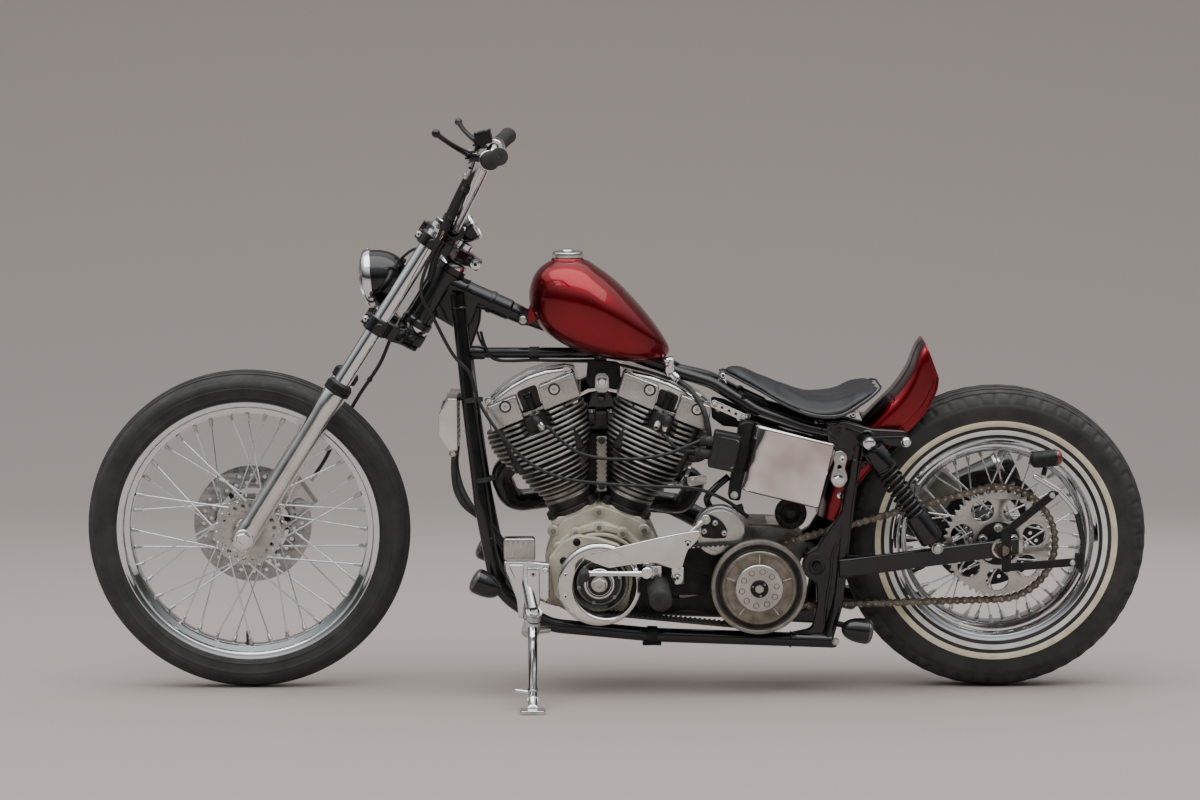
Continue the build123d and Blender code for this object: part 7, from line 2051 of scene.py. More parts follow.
g.lathe((KX, 0, KZ), (0, -1, 0), [(169, 17), (172, 17), (172.4, 16), (172.4, 13)], "zinc", 40)
g.lathe((KX, 0, KZ), (0, -1, 0), [(172, 15.6), (182.4, 15.6), (184.6, 13.6), (184.6, 6), (180, 5.6), (180, 0)], "zinc", 6)
for i in range(6):
    a = radians(15 + 60 * i)
    g.bolt((KX + 44.5 * cos(a), -152.4, KZ + 44.5 * sin(a)), (0, -1, 0), 3.6, 3.4, "zinc", "allen", False)
for i in range(44):
    a = 2 * pi * (i + 0.5) / 44
    d = Vector((cos(a), 0, sin(a)))
    g.box(Vector((KX, -140.0, KZ)) + d * 61.4, (2.2, 37.0, 3.4), "black_gloss", 0.5, 1, x=d, z=d.cross(Vector((0, 1, 0))))
g.build("front_pulley", "chassis", ["primary_pulley"], slot="clutch_bronze")

# clutch: toothed basket, bright ring, bronze spoked face, dimpled hub plate and cap
g = Geo()
C = (CLX, 0, CLZ)
g.lathe(C, (0, -1, 0), [(102.4, 24), (121, 24)], "zinc", 40)
g.lathe(C, (0, -1, 0), [(120.4, 24), (120.4, 87.2), (121, 87.6), (158.8, 87.6), (160, 87)], "black_satin", 128)
for i in range(62):
    a = 2 * pi * (i + 0.5) / 62
    d = Vector((cos(a), 0, sin(a)))
    g.box(Vector((CLX, -140.0, CLZ)) + d * 87.4, (2.2, 37.0, 3.4), "black_satin", 0.5, 1, x=d, z=d.cross(Vector((0, 1, 0))))
g.lathe(C, (0, -1, 0), [(160.2, 80), (160.2, 98.6), (161.4, 99.8), (175.4, 99.8), (177.4, 98.8), (178, 97), (178, 92.6), (177, 91.4), (172, 90.8), (170, 89)], "cast", 128)
g.lathe(C, (0, -1, 0), [(170.2, 89.4), (169.6, 86), (170.4, 83.6), (172, 82)], "dark", 112)
g.lathe(C, (0, -1, 0), [(168, 82.6), (175, 82.4), (177, 80.6), (177.4, 77.8), (176, 75.6), (173, 74.6)], "dark", 112)
g.lathe(C, (0, -1, 0), [(172, 78.5), (180.6, 78), (182.6, 76.4), (183.4, 73.4), (182.6, 70.6), (181.0, 69.6), (180.6, 52), (181, 46), (181, 0)], "bronze", 112)
for i in range(5):
    a = radians(90 - 72 * i)
    d = Vector((cos(a), 0, sin(a)))
    g.box(Vector((CLX, -182.0, CLZ)) + d * 61.5, (19, 3.6, 3.2), "satin", 1.0, 2, x=d, z=d.cross(Vector((0, 1, 0))))
g.lathe(C, (0, -1, 0), [(181, 50.4), (185.6, 50.2), (187.4, 48.6), (187.8, 46), (187.4, 26), (188.4, 22), (188.4, 0)], "satin", 96)
for i in range(10):
    a = radians(36 * i + 8)
    c = Vector((CLX + 36.5 * cos(a), -187.7, CLZ + 36.5 * sin(a)))
    g.lathe(c, (0, -1, 0), [(0.1, 6.6), (0.7, 6.2), (0.6, 5.0), (-2.4, 3.2), (-2.4, 0)], "bronze", 24)
g.lathe(C, (0, -1, 0), [(188, 19), (189.2, 19), (190.6, 17.8), (191.2, 15), (191.2, 9)], "black_satin", 56)
g.lathe(C, (0, -1, 0), [(189.6, 9.2), (191.6, 9.2), (192, 8.2), (192, 3.6), (190, 3.4), (190, 0)], "zinc", 6)
for i in range(3):
    a = radians(120 * i + 40)
    g.bolt((CLX + 14.6 * cos(a), -190.6, CLZ + 14.6 * sin(a)), (0, -1, 0), 1.9, 1.2, "zinc", "allen", False)
g.build("clutch_pack", "chassis", ["clutch"], slot="clutch_bronze")

# polished guard: a crescent round the pulley and a long arm over the upper run
g = Geo()
arm = [(702, 322), (707, 327), (750, 336), (791, 345), (828, 354), (862, 362), (905, 371), (945, 377.6), (954, 377), (957.6, 368), (946, 352), (931, 338), (925, 322), (919, 299),
       (898, 296), (862, 308.5), (814, 306.5), (767, 299)]
g.plate(round_poly(arm, [6, 6, 40, 40, 40, 40, 40, 8, 5, 6, 20, 18, 20, 7, 7, 30, 40, 10], 5), [], -204.8, -195.2, "polished", 2.8, res=4)
# crescent cover: a dished disc with an opening set to the rear
GX, GZ, HX, HZ = KX, KZ + 5.0, KX + 15.0, KZ + 5.0
outer_ring, layers = 128, [(190.4, 86.4, 70.4), (191.0, 87.6, 69.6), (196.0, 87.8, 69.3), (199.4, 86.8, 69.6), (202.2, 84.2, 70.6), (204.2, 80.8, 72.6), (204.9, 78.6, 74.4)]
verts, faces = [], []
for (yy, ro, rh) in layers:
    for k in range(outer_ring):
        a = 2 * pi * k / outer_ring
        po = Vector((GX + ro * cos(a), -yy, GZ + ro * sin(a)))
        verts.append(po)
    for k in range(outer_ring):
        a = 2 * pi * k / outer_ring
        # same direction, on the opening's circle
        ph = Vector((HX + rh * cos(a), -yy, HZ + rh * sin(a)))
        verts.append(ph)
for li in range(len(layers)):
    for k in range(outer_ring):
        po, ph = verts[li * 2 * outer_ring + k], verts[li * 2 * outer_ring + outer_ring + k]
        co, ch = Vector((GX, po.y, GZ)), Vector((HX, ph.y, HZ))
        thick = (po - ph).length
        if (ph - co).length > (po - co).length - 1.2:
            verts[li * 2 * outer_ring + outer_ring + k] = co + (po - co) * (1 - 1.2 / (po - co).length)
for li in range(len(layers) - 1):
    b0, b1 = li * 2 * outer_ring, (li + 1) * 2 * outer_ring
    for k in range(outer_ring):
        k2 = (k + 1) % outer_ring
        faces.append([b0 + k, b0 + k2, b1 + k2, b1 + k])
        faces.append([b0 + outer_ring + k2, b0 + outer_ring + k, b1 + outer_ring + k, b1 + outer_ring + k2])
for b in (0, (len(layers) - 1) * 2 * outer_ring):
    for k in range(outer_ring):
        k2 = (k + 1) % outer_ring
        faces.append([b + k, b + outer_ring + k, b + outer_ring + k2, b + k2])
g.add(verts, faces, "polished")
# hanging tab
g.plate(round_poly([(896, 300), (922, 300), (921, 274), (915, 264), (903, 264), (898, 274)], [2, 2, 10, 8, 8, 10], 5), [], -204.2, -196.2, "polished", 2.0, res=3)
for x, z in ((930, 350), (908.5, 279)):
    g.lathe((x, 0, z), (0, -1, 0), [(112.4, 7), (195.4, 7)], "zinc", 24)
    g.bolt((x, -204.2, z), (0, -1, 0), 6.2, 6.4, "chrome", "allen", True)
for a in (198, 162):
    r = 74
    g.bolt((KX + r * cos(radians(a)), -203.6, KZ + 5 + r * sin(radians(a))), (0, -1, 0), 4.2, 4.6, "chrome", "allen", True)
g.build("belt_guard_arm", "chassis", ["belt_guard"], slot="polished_aluminium", sharp=38)

# ------------------------------------------------------------------ exhaust
g = Geo()
p1 = rounded_path([(690, 20, 520), (588, 48, 508), (534, 96, 445), (556, 122, 378), (660, 142, 388), (905, 156, 368), (1030, 162, 300), (1240, 166, 260)], [50, 45, 42, 60, 80, 150], 12)
g.tube(p1, 23.8, "exhaust", 40)
p2 = rounded_path([(890, 30, 474), (962, 70, 432), (930, 110, 374), (850, 146, 378)], [34, 34], 12)
g.tube(p2, 21.8, "exhaust", 36)
a, b = Vector((1225, 166, 258)), Vector((1660, 172, 448))
d = (b - a).normalized()
Lm = (b - a).length
g.lathe(a, d, [(-6, 21), (-6, 24.6), (10, 25.2), (14, 24.2), (30, 25.6), (120, 29.8), (260, 35.0), (Lm - 40, 39.4), (Lm - 26, 40.4), (Lm - 10, 40.8), (Lm - 3, 39.6), (Lm, 37.4),
               (Lm, 34.4), (Lm - 6, 33.4), (Lm - 60, 32), (Lm - 60, 0)], "exhaust", 72)
for t in (14, Lm - 34):
    g.lathe(a, d, [(t - 7, 24 + t * 0.035), (t - 7, 26.4 + t * 0.035), (t - 6, 27.2 + t * 0.035), (t + 6, 27.6 + t * 0.035), (t + 7, 26.8 + t * 0.035), (t + 7, 24 + t * 0.035)],
            "chrome_dull", 60)
# flange rings and clamps at the ports
for c, dd in (((620, 39, 511.5), (-0.97, 0.25, -0.11)), ((922, 48, 456), (0.80, 0.44, -0.46))):
    g.lathe(c, dd, [(-5, 23), (-5, 29.8), (-3.6, 31), (3.6, 31), (5, 29.8), (5, 23)], "chrome_dull", 48)
    for k in (0, 180):
        u = Vector(dd).normalized()
        w = u.cross(Vector((0, 1, 0))).normalized()
        g.bolt(Vector(c) + w * (34 if k else -34) * 0.72 + u * 4, u, 4.2, 7, "zinc", "hex", True)
g.box((1236, 150, 266), (44, 8, 30), "black_satin", 2, 2)
g.bolt((1244, 146, 274), (0, -1, 0), 4.4, 1.2, "zinc", "hex", False)
g.build("exhaust_pipes", "chassis", ["exhaust"], slot="exhaust_black", sharp=40)

# ------------------------------------------------------------------ foot controls
g = Geo()


def peg(a, b, r):
    a, b = Vector(a), Vector(b)
    u = (b - a).normalized()
    L = (b - a).length
    prof = [(0.4, 0), (0.8, r * 0.46), (2.4, r * 0.74), (5.6, r * 0.92), (10, r - 0.3)]
    t = 12.0
    while t < L - 14:
        prof += [(t, r - 0.2), (t + 1.4, r - 0.2), (t + 2.6, r - 1.8), (t + 4.4, r - 1.8), (t + 5.6, r - 0.2)]
        t += 8.6
    prof += [(L - 6, r - 0.3), (L - 2, r - 2.4), (L, r - 7), (L, 10)]
    g.lathe(a, u, prof, "rubber", 48)


peg((873, -283, 245), (868, -165, 258), 24)
g.box((865, -186, 285), (22, 15, 32), "polished", 3, 3)
g.bolt((865, -193.5, 292), (0, -1, 0), 4.6, 4.4, "zinc", "hex", False)
g.lathe((868, -165, 258), Vector((-1, 53, 1)), [(-3, 14), (0, 15), (5, 15), (7, 11), (52, 11)], "chrome", 32)
g.bolt((870.6, -282.6, 245.2), (0.03, -1, 0.1), 5, 0.4, "dark", "allen", False)
# left shift: pivot disc, fan plate with three bolts, rod with ball joints, lever with a rubber tip
g.lathe((998, 0, 365), (0, -1, 0), [(118.2, 0), (118.2, 51.4), (120.4, 53.6), (141, 53.8), (144, 52.6), (145.6, 49.8), (146, 46), (146, 0)], "satin", 112)
g.lathe((998, 0, 365), (0, -1, 0), [(145.8, 44.6), (146.7, 44), (146.7, 42.6), (145.8, 42)], "satin", 96)
fan = [(960, 401), (972, 402), (983, 399), (995, 393), (1004, 385), (1011, 375), (1015, 364), (1012, 351), (986, 350), (960, 353)]
g.plate(round_poly(fan, [7, 6, 8, 8, 8, 8, 8, 8, 6, 8], 5), [], -151.6, -146.2, "black_satin", 1.6, res=3)
for x, z in ((989, 384), (966, 366), (1008, 362)):
    g.bolt((x, -151.6, z), (0, -1, 0), 4.0, 4.2, "zinc", "allen", True)
ra, rb = Vector((969, -154.0, 391.5)), Vector((847, -188, 299))
u = (rb - ra).normalized()
g.tube([ra + u * 14, rb - u * 14], 4.0, "chrome", 16)
for c, k in ((ra, 1), (rb, -1)):
    g.lathe(c + u * k * 8, u * k, [(0, 5.0), (3, 6.2), (10, 6.2), (10, 4)], "zinc", 6)
    g.lathe(c, (0, -1, 0), [(-4, 4), (-4, 9.2), (-3, 10), (3, 10), (4, 9.2), (4, 4)], "zinc", 32)
    g.ball(c, 6.2, "zinc", 20)
    g.bolt(c + Vector((0, -4, 0)), (0, -1, 0), 4.6, 4.6, "zinc", "hex", False)
la, lb = Vector((845, -214, 289)), Vector((719, -222, 292))
u = (lb - la).normalized()
L = (lb - la).length
g.lathe(la, u, [(-12, 0), (-12, 5.4), (-10, 7), (6, 7), (L * 0.4, 5.2), (L - 14, 6.0), (L - 4, 6.6), (L + 2, 6.2), (L + 5, 3.4), (L + 5.4, 0)], "chrome", 28)
g.lathe((845, 0, 292), (0, -1, 0), [(112.4, 7.8), (200, 7.8), (202, 12), (222, 12), (223.4, 10.6), (223.4, 0)], "chrome", 36)
g.lathe((716, 0, 291.6), (0, -1, 0), [(205.4, 0), (206, 8.4), (207.6, 10.4), (212, 10.9), (213, 9.8), (216, 9.8), (217, 10.8), (222, 10.8), (223, 9.8), (226, 9.8), (227, 10.8), (232, 10.8),
                                      (233, 9.8), (236, 9.8), (237, 10.8), (242, 10.8), (243, 9.8), (246, 9.8), (247, 10.8), (257, 10.6), (260, 9.2), (261.6, 6), (261.8, 0)], "rubber", 36)
# right peg and brake pedal
g2 = Geo()
g2, g = g, g
peg((873, 270, 245), (868, 205, 252), 24)
g.tube(smooth_path([(868, 206, 252), (867, 190, 240), (866, 150, 190), (866, 132, 156)], 8), 10.4, "chrome", 22)
g.tube(smooth_path([(850, 144, 142), (820, 158, 146), (756, 192, 168), (706, 216, 194), (690, 226, 204)], 8), 6.8, "chrome", 18)
g.lathe((850, 128, 142), (0, 1, 0), [(0, 9), (0, 14), (28, 14), (30, 12), (30, 0)], "chrome", 32)
g.lathe((690, 0, 205), (0, 1, 0), [(206, 0), (206.6, 9), (209, 11.8), (214, 11.8), (215, 10.8), (219, 10.8), (220, 11.8), (226, 11.8), (227, 10.8), (231, 10.8), (232, 11.8), (238, 11.8),
                                   (239, 10.8), (243, 10.8), (244, 11.8), (257, 11.6), (260.4, 9.6), (262, 5), (262, 0)], "rubber", 36)
g.build("foot_control_set", "chassis", ["foot_controls"], slot="chrome")

# ------------------------------------------------------------------ swingarm, axle, shocks
PVX, PVZ = 1205.0, 283.0
g = Geo()
for s in (-1, 1):
    ends = [(-6, -20), (-6, 20)]
    arm = [(1250, 301.6), (1268, 303), (1610, 344.5), (1626, 346), (1638, 340), (1640, 322), (1634, 313), (1612, 309), (1271, 263.5), (1250, 263.2)]
    g.plate(round_poly(arm, [3, 60, 6, 6, 8, 6, 6, 6, 60, 3], 5), [], s * 123, s * 137.6, "black_gloss", 4.4, res=4)
    g.plate(round_poly([(1192, 296), (1205, 302), (1300, 302), (1300, 270), (1205, 263), (1192, 270)], [12, 10, 6, 6, 10, 12], 5), [], s * 84, s * 94, "black_gloss", 3, res=3)
    g.box((1280, s * 108, 286), (44, 34, 30), "black_gloss", 5, 3)
    # adjuster window, bright axle plate and adjuster bolt at the end
    g.plate(round_poly([(1566, 336), (1622, 342), (1624, 315), (1568, 309)], 5, 4), [], s * 137.6, s * 140.2, "black_gloss", 0.8)
    g.box((1631, s * 130, 326), (10, 17, 37), "zinc", 2, 2, x=(0.98, 0, 0.12))
    g.lathe((1632, s * 130, 326), (1, 0, 0.1), [(-30, 3.6), (12, 3.6), (12, 0)], "zinc", 16)
    g.bolt((1636, s * 130, 326.4), (1, 0, 0.1), 5.4, 6.6, "zinc", "hex", True)
    g.lathe((PVX, s * 119.9, PVZ), (0, s, 0), [(0, 0), (0, 17), (2.2, 17), (2.8, 16)], "black_gloss", 40)
    g.bolt((PVX, s * 122, PVZ), (0, s, 0), 6.0, 6, "black_gloss", "hex", False)
g.tube([(PVX, -136, PVZ), (PVX, 136, PVZ)], 10.6, "black_satin", 24)
g.lathe((PVX, 0, PVZ), (0, 1, 0), [(-94, 11), (-94, 12.4), (94, 12.4), (94, 11)], "dark", 32)
g.tube(rounded_path([(1300, -124, 286), (1318, -60, 290), (1318, 60, 290), (1300, 124, 286)], 30, 6), 0.01, "dark", 3)
g.build("swingarm_rails", "chassis", ["swingarm"], slot="black_frame")

g = Geo()
g.lathe((RX, 0, RZ), (0, 1, 0), [(-151.6, 0), (-151.6, 9.6), (-150.4, 10.6), (150.4, 10.6), (151.6, 9.6), (151.6, 0)], "zinc", 28)
for s in (-1, 1):
    g.lathe((RX, s * 140.3, RZ), (0, s, 0), [(0, 12), (0, 20.8), (2.4, 20.8), (2.8, 20), (2.8, 12)], "zinc", 44)
    g.lathe((RX, s * 142.6, RZ), (0, s, 0), [(0, 12), (0, 17.4), (1, 18.6), (7.6, 18.6), (9.0, 17.2), (9.0, 10.6)], "chain", 6, ref=(1, 0, 0.2))
g.build("rear_axle_bolt", "chassis", ["rear_axle"], slot="disc_steel")

g = Geo()
SA, SB = Vector((1307.0, 0, 554.0)), Vector((1452.0, 0, 331.0))
d = (SB - SA).normalized()
L = (SB - SA).length
side = d.cross(Vector((0, 1, 0))).normalized()
for s in (-1, 1):
    a = SA + Vector((0, s * 152, 0))
    # eyes
    for c in (a, a + d * L):
        g.lathe(c - Vector((0, 12 * s, 0)), (0, s, 0), [(0, 8.6), (0, 11.4), (1.2, 12.6), (22.8, 12.6), (24, 11.4), (24, 8.6)], "black_satin", 36)
        g.lathe(c - Vector((0, 14 * s, 0)), (0, s, 0), [(0, 4), (0, 8.6), (28, 8.6), (28, 4)], "rubber", 28)
    g.lathe(a, d, [(4, 12.6), (14, 12.6), (15.6, 19), (17.6, 23.4), (21, 24.6), (58, 25.6), (61, 25.2), (62.4, 23.6), (63, 19)], "black_gloss", 56)
    g.lathe(a, d, [(62.6, 13.5), (190, 13.5)], "dark", 32)
    # spring: a round-wire helix
    turns, t0, t1, R = 9.4, 67.0, 184.0, 20.6
    pts = []
    u0 = side
    w0 = d.cross(u0).normalized()
    nn = int(turns * 26)
    for i in range(nn + 1):
        an = 2 * pi * turns * i / nn
        q = i / nn
        edge = min(1.0, q * turns / 0.8, (1 - q) * turns / 0.8)
        t = t0 + (t1 - t0) * q
        pts.append(a + d * t + (u0 * cos(an) + w0 * sin(an)) * R)
    g.tube(pts, 3.5, "black_gloss", 14)
    g.lathe(a, d, [(62, 20), (62, 25.0), (66.6, 25.0), (66.6, 20)], "black_gloss", 48)
    g.lathe(a, d, [(183, 19), (183, 24.4), (186, 25.2), (246, 25.2), (249, 22.6), (252, 13), (L - 8, 12.6)], "black_gloss", 56)
    # studs and nuts
    g.lathe((1307, s * 124.6, 554), (0, s, 0), [(-7, 8.8), (44, 8.8)], "zinc", 24)
    g.lathe((1307, s * 164.4, 554), (0, s, 0), [(0, 8), (0, 12.8), (1.6, 12.8), (2, 11.6)], "chrome", 36)
    g.lathe((1307, s * 166, 554), (0, s, 0), [(0, 11.0), (3.6, 10.8), (5, 9.0), (5.8, 5), (6, 0)], "chrome", 6)
    g.lathe((1452, s * 138.4, 331), (0, s, 0), [(0, 8.8), (27, 8.8)], "zinc", 24)
    g.lathe((1452, s * 164.4, 331), (0, s, 0), [(0, 8), (0, 12.0), (1.6, 12.0), (2, 10.6)], "zinc", 36)
    g.lathe((1452, s * 166, 331), (0, s, 0), [(0, 9.8), (3.6, 9.6), (5, 8.4), (5.8, 5), (6, 0)], "zinc", 6)
g.build("shock_pair", "chassis", ["shock_absorbers"], slot="black_frame", sharp=40)

# ------------------------------------------------------------------ chain
GCX, GCZ = 1082.0, 250.0
R1, R2 = 60.8, 121.4
loop, total = belt_line((GCX, GCZ), R1, (RX, RZ), R2, 4000)
pitch_n = int(round(total / 15.875 / 2) * 2)
pins = []
for i in range(pitch_n):
    x, z, a = loop[int(round(i * 4000 / pitch_n)) % 4000]
    pins.append((x, z))
g = Geo()
YC = -84.0


def link_plate(p, q, y0, y1, r, waist):
    p, q = Vector((p[0], 0, p[1])), Vector((q[0], 0, q[1]))
    u = (q - p).normalized()
    w = Vector((0, 1, 0)).cross(u)
    L = (q - p).length
    out = []
    for i in range(7):
        an = pi / 2 + pi * i / 6
        out.append((r * cos(an), r * sin(an)))
    out.append((L * 0.5, -waist))
    for i in range(7):
        an = -pi / 2 + pi * i / 6
        out.append((L + r * cos(an), r * sin(an)))
    out.append((L * 0.5, waist))
    n = len(out)
    verts, faces = [], []
    for y in (y0, y1):
        verts += [p + u * a + w * b + Vector((0, y, 0)) for a, b in out]
    faces.append(list(range(n))[::-1])
    faces.append([n + k for k in range(n)])
    for k in range(n):
        k2 = (k + 1) % n
        faces.append([k, k2, n + k2, n + k])
    g.add(verts, faces, "chain")


for i in range(pitch_n):
    p, q = pins[i], pins[(i + 1) % pitch_n]
    if i % 2:
        for y0, y1 in ((YC - 5.8, YC - 4.4), (YC + 4.4, YC + 5.8)):
            link_plate(p, q, y0, y1, 7.1, 4.6)
    else:
        for y0, y1 in ((YC - 7.6, YC - 6.0), (YC + 6.0, YC + 7.6)):
            link_plate(p, q, y0, y1, 7.1, 4.2)
    g.lathe((p[0], YC, p[1]), (0, 1, 0), [(-4.3, 3.4), (-4.3, 5.0), (4.3, 5.0), (4.3, 3.4)], "zinc", 14)
    g.lathe((p[0], YC, p[1]), (0, 1, 0), [(-8.9, 0), (-8.9, 2.2), (-8.4, 2.7), (8.4, 2.7), (8.9, 2.2), (8.9, 0)], "cast", 12)
# gearbox sprocket
k = 24
out = []
for i in range(k):
    a = 2 * pi * i / k
    for da, r in ((-0.10, 54.5), (-0.05, 57.6), (0.05, 57.6), (0.10, 54.5)):
        an = a + da
        out.append((GCX + r * cos(an), GCZ + r * sin(an)))
g.plate(out, [('c', GCX, GCZ, 20)], YC - 3.6, YC + 3.6, "dark", 0.8)
g.lathe((GCX, YC, GCZ), (0, 1, 0), [(4, 20), (23.6, 20)], "zinc", 36)
g.lathe((GCX, YC, GCZ), (0, -1, 0), [(4, 20), (12, 20), (13, 18), (17, 17)], "zinc", 6)
g.build("roller_chain", "chassis", ["drive_chain"], slot="chain_steel", weld=False, recalc=False)

# ------------------------------------------------------------------ rear caliper
g = Geo()
u = Vector((-0.6, 0, -0.8))
w = Vector((-0.8, 0, 0.6))
cc = Vector((RX - 104, 84, RZ + 78))
for y0, y1, b in ((57.4, 76.4, 5), (91.6, 110.6, 5)):
    g.box(Vector((cc.x, (y0 + y1) / 2, cc.z)), (86, 58, y1 - y0), "cast", b, 3, x=u, z=(0, 1, 0))
g.box(cc + w * 24, (84, 11, 40), "cast", 3, 2, x=u, z=(0, 1, 0))
for q in (-17, 17):
    g.lathe(cc + w * q + Vector((0, 26.4, 0)), (0, 1, 0), [(-1, 13.5), (0.4, 13.5), (1.2, 12.4), (1.2, 8), (0.4, 7.6), (0.4, 0)], "cast", 32)
for q in (-36, 36):
    g.bolt(cc + u * q * 0.9 + Vector((0, 26.4, 0)), (0, 1, 0), 4.6, 1.4, "zinc", "allen", False)
g.tube([(RX - 110, 108, RZ + 60), (RX - 40, 122.4, RZ + 8)], 8.6, "cast", 18)
g.tube(smooth_path([(RX - 142, 100, RZ + 92), (RX - 170, 104, RZ + 78), (RX - 250, 106, RZ + 20), (RX - 320, 104, RZ - 20), (1240, 100, 282)], 8), 3.2, "cable", 10)
g.build("rear_caliper_body", "chassis", ["rear_caliper"], slot="satin_aluminium")

# ------------------------------------------------------------------ plate holder and tail light
g = Geo()
g.lathe((1592, -152.4, 325.5), (0, -1, 0), [(0, 9), (0, 13.4), (2, 13.8), (6.4, 13.8), (6.4, 0)], "bronze", 36)
g.lathe((1592, -158.6, 325.5), (0, -1, 0), [(0, 13.9), (5.4, 13.6), (7.0, 11.4), (7.2, 8.0), (5.0, 7.4), (5.0, 0)], "bronze", 6)


def strap(a, b, w, th, key):
    a, b = Vector(a), Vector(b)
    d = (b - a).normalized()
    L = (b - a).length
    nn = Vector((0, -1, 0))
    out = [(-w, 0)] + [(w * -cos(radians(q)), w * sin(radians(q))) for q in range(20, 90, 20)] + [(0, w), (L, w)] \
        + [(L + w * sin(radians(q)), w * cos(radians(q))) for q in range(20, 180, 20)] + [(L, -w), (0, -w)] \
        + [(-w * sin(radians(q)), -w * cos(radians(q))) for q in range(20, 90, 20)]
    g.plate(out, [('c', 0, 0, w * 0.42), ('c', L, 0, w * 0.42)], -th / 2, th / 2, key, 0.8, origin=a, x=d, n=nn)


strap((1592, -165, 363), (1688, -175, 446), 8.4, 5, "black_satin")
strap((1596, -165, 290), (1734, -175, 303), 8.4, 5, "black_satin")
g.plate(round_poly([(1586.4, 373.6), (1605.6, 373.6), (1606.6, 280.4), (1587.4, 280.4)], 6, 4), [('c', 1592, 325.5, 14.2)], -167.4, -160.4, "black_satin", 1.2)
arc = rounded_path([(1652, -176, 485), (1700, -176, 456), (1738, -176, 414), (1755, -176, 345), (1752, -176, 285)], [60, 60, 60], 14)
cut = int(len(arc) * 0.56)
g.tube(arc[:cut + 1], 5.8, "chrome", 22)
g.tube(arc[cut:], 5.9, "black_gloss", 22)
g.ball(arc[0], 5.8, "chrome", 16)
g.ball(arc[-1], 5.8, "black_gloss", 16)
g.tube([(1690, -176, 446), (1704, -176, 456)], 5.4, "black_satin", 16)
for c in ((1688, -177.8, 446), (1734, -177.8, 303)):
    g.bolt(c, (0, -1, 0), 4.6, 4.6, "zinc", "hex", True)
g.box((1745, -176, 306), (12, 22, 30), "black_satin", 2, 2)
g.build("plate_holder_arms", "chassis", ["plate_holder"], slot="black_frame")

g = Geo()
ta, td = Vector((1640, -176, 519)), Vector((0.93, 0, 0.10)).normalized()
g.lathe(ta, td, [(0, 0), (0.4, 6), (2.4, 11.6), (6, 15.4), (10, 16.8), (20, 17.6), (50, 17.7), (52, 17.2)], "black_satin", 56)
for t in (16, 22, 28):
    g.lathe(ta, td, [(t, 17.3), (t + 0.8, 17.8), (t + 2.2, 17.8), (t + 3, 17.4)], "black_satin", 56)
g.lathe(ta, td, [(51.4, 17.8), (53.8, 17.9), (55, 17.2), (55, 16.4)], "black_gloss", 56)
g.lathe(ta, td, [(54, 16.6), (59, 16.2), (63.4, 13.4), (66, 8.2), (66.8, 0)], "lens_red", 56)
g.tube([(1668, -176, 488), (1672, -176, 504)], 5.4, "black_satin", 16)
g.build("tail_lamp", "chassis", ["tail_light"], slot="lamp_black")

# ------------------------------------------------------------------ turn signals
g = Geo()
for x, y, z, d in ((512, -172, 256, (-0.80, 0, 0.42)), (512, 172, 256, (-0.80, 0, 0.42)), (1286, -160, 156, (0.86, 0, -0.12)), (1286, 160, 156, (0.86, 0, -0.12))):
    s = -1 if y < 0 else 1
    d = Vector(d).normalized()
    c = Vector((x, y, z))
    g.lathe(c, d, [(-32, 0), (-31.6, 4), (-29.6, 9.6), (-25, 15.4), (-17, 20.6), (-7, 24.2), (5, 26.2), (17, 26.9), (23, 26.9), (24.4, 26.0), (24.4, 24.6)], "black_gloss", 64)
    g.lathe(c, d, [(23.6, 25.8), (27.0, 25.4), (30.2, 22.8), (32.8, 17.2), (34.4, 9.6), (35, 0)], "lens_smoke", 64)
    a = c + Vector((0, -s * 14, 2))
    b = Vector((x + 18, s * 119, z + 6)) if x < 900 else Vector((1250, s * 119, z + 4))
    g.tube([a, b], 6.4, "black_satin", 16)
    dd = (b - a).normalized()
    g.lathe(a + dd * 8, dd, [(0, 6), (0, 9.6), (6, 9.6), (7, 8.2)], "black_satin", 6)
g.build("turn_signal_set", "chassis", ["turn_signals"], slot="lamp_black")

# ------------------------------------------------------------------ side stand
AP = Vector((606, -170, 176))
FOOT_C = Vector((611, -417, 49))
g = Geo()
blk = [(547, 351), (613, 351), (613, 306), (604, 300), (556, 300), (547, 306)]
g.plate(round_poly(blk, [7, 7, 5, 4, 4, 5], 5), [], -149.6, -118.6, "satin", 3.4, res=3)
for x in (556, 567, 578, 589, 600):
    g.box((x, -149.4, 330), (6.4, 3.6, 34), "satin", 1.6, 2)
g.box((580, -149.6, 308), (58, 3.2, 6), "satin", 1.4, 2)
brk = [(547, 303), (600, 302), (645, 297), (643, 226), (634, 212), (622, 222), (611, 240), (601, 240), (593, 206), (590, 178), (578, 181), (573, 221), (560, 256), (549, 278)]
g.plate(round_poly(brk, [5, 4, 8, 10, 7, 8, 8, 6, 10, 5, 5, 16, 16, 10], 5), [], -149.4, -132, "chrome", 5.2, res=5)
g.plate(round_poly([(556, 296), (590, 296), (588, 262), (572, 262)], [6, 6, 8, 12], 5), [], -152.4, -146, "chrome", 3.0, res=3)
g.box((609, -149, 250), (27, 24, 84), "chrome", 6.5, 4)
g.plate(round_poly([(549, 344), (605, 344), (603, 264), (553, 264)], 5, 4), [], -133.4, -118.6, "chrome_dull", 2)
g.bolt((609, -161, 278), (0, -1, 0), 5.4, 3.4, "zinc", "allen", False)
g.bolt((634, -149.2, 284), (0, -1, 0), 5.2, 5.4, "chrome", "hex", True)
AP = Vector((606.0, -170.0, 176.0))
FZ0 = (-0.5 + 417.0 * sin(radians(LEAN))) / cos(radians(LEAN))
FT = Vector((611.0, -417.0, FZ0))
d0 = (FT - AP).normalized()
HG = d0.cross(Vector((288, -35, -70)).normalized()).normalized()
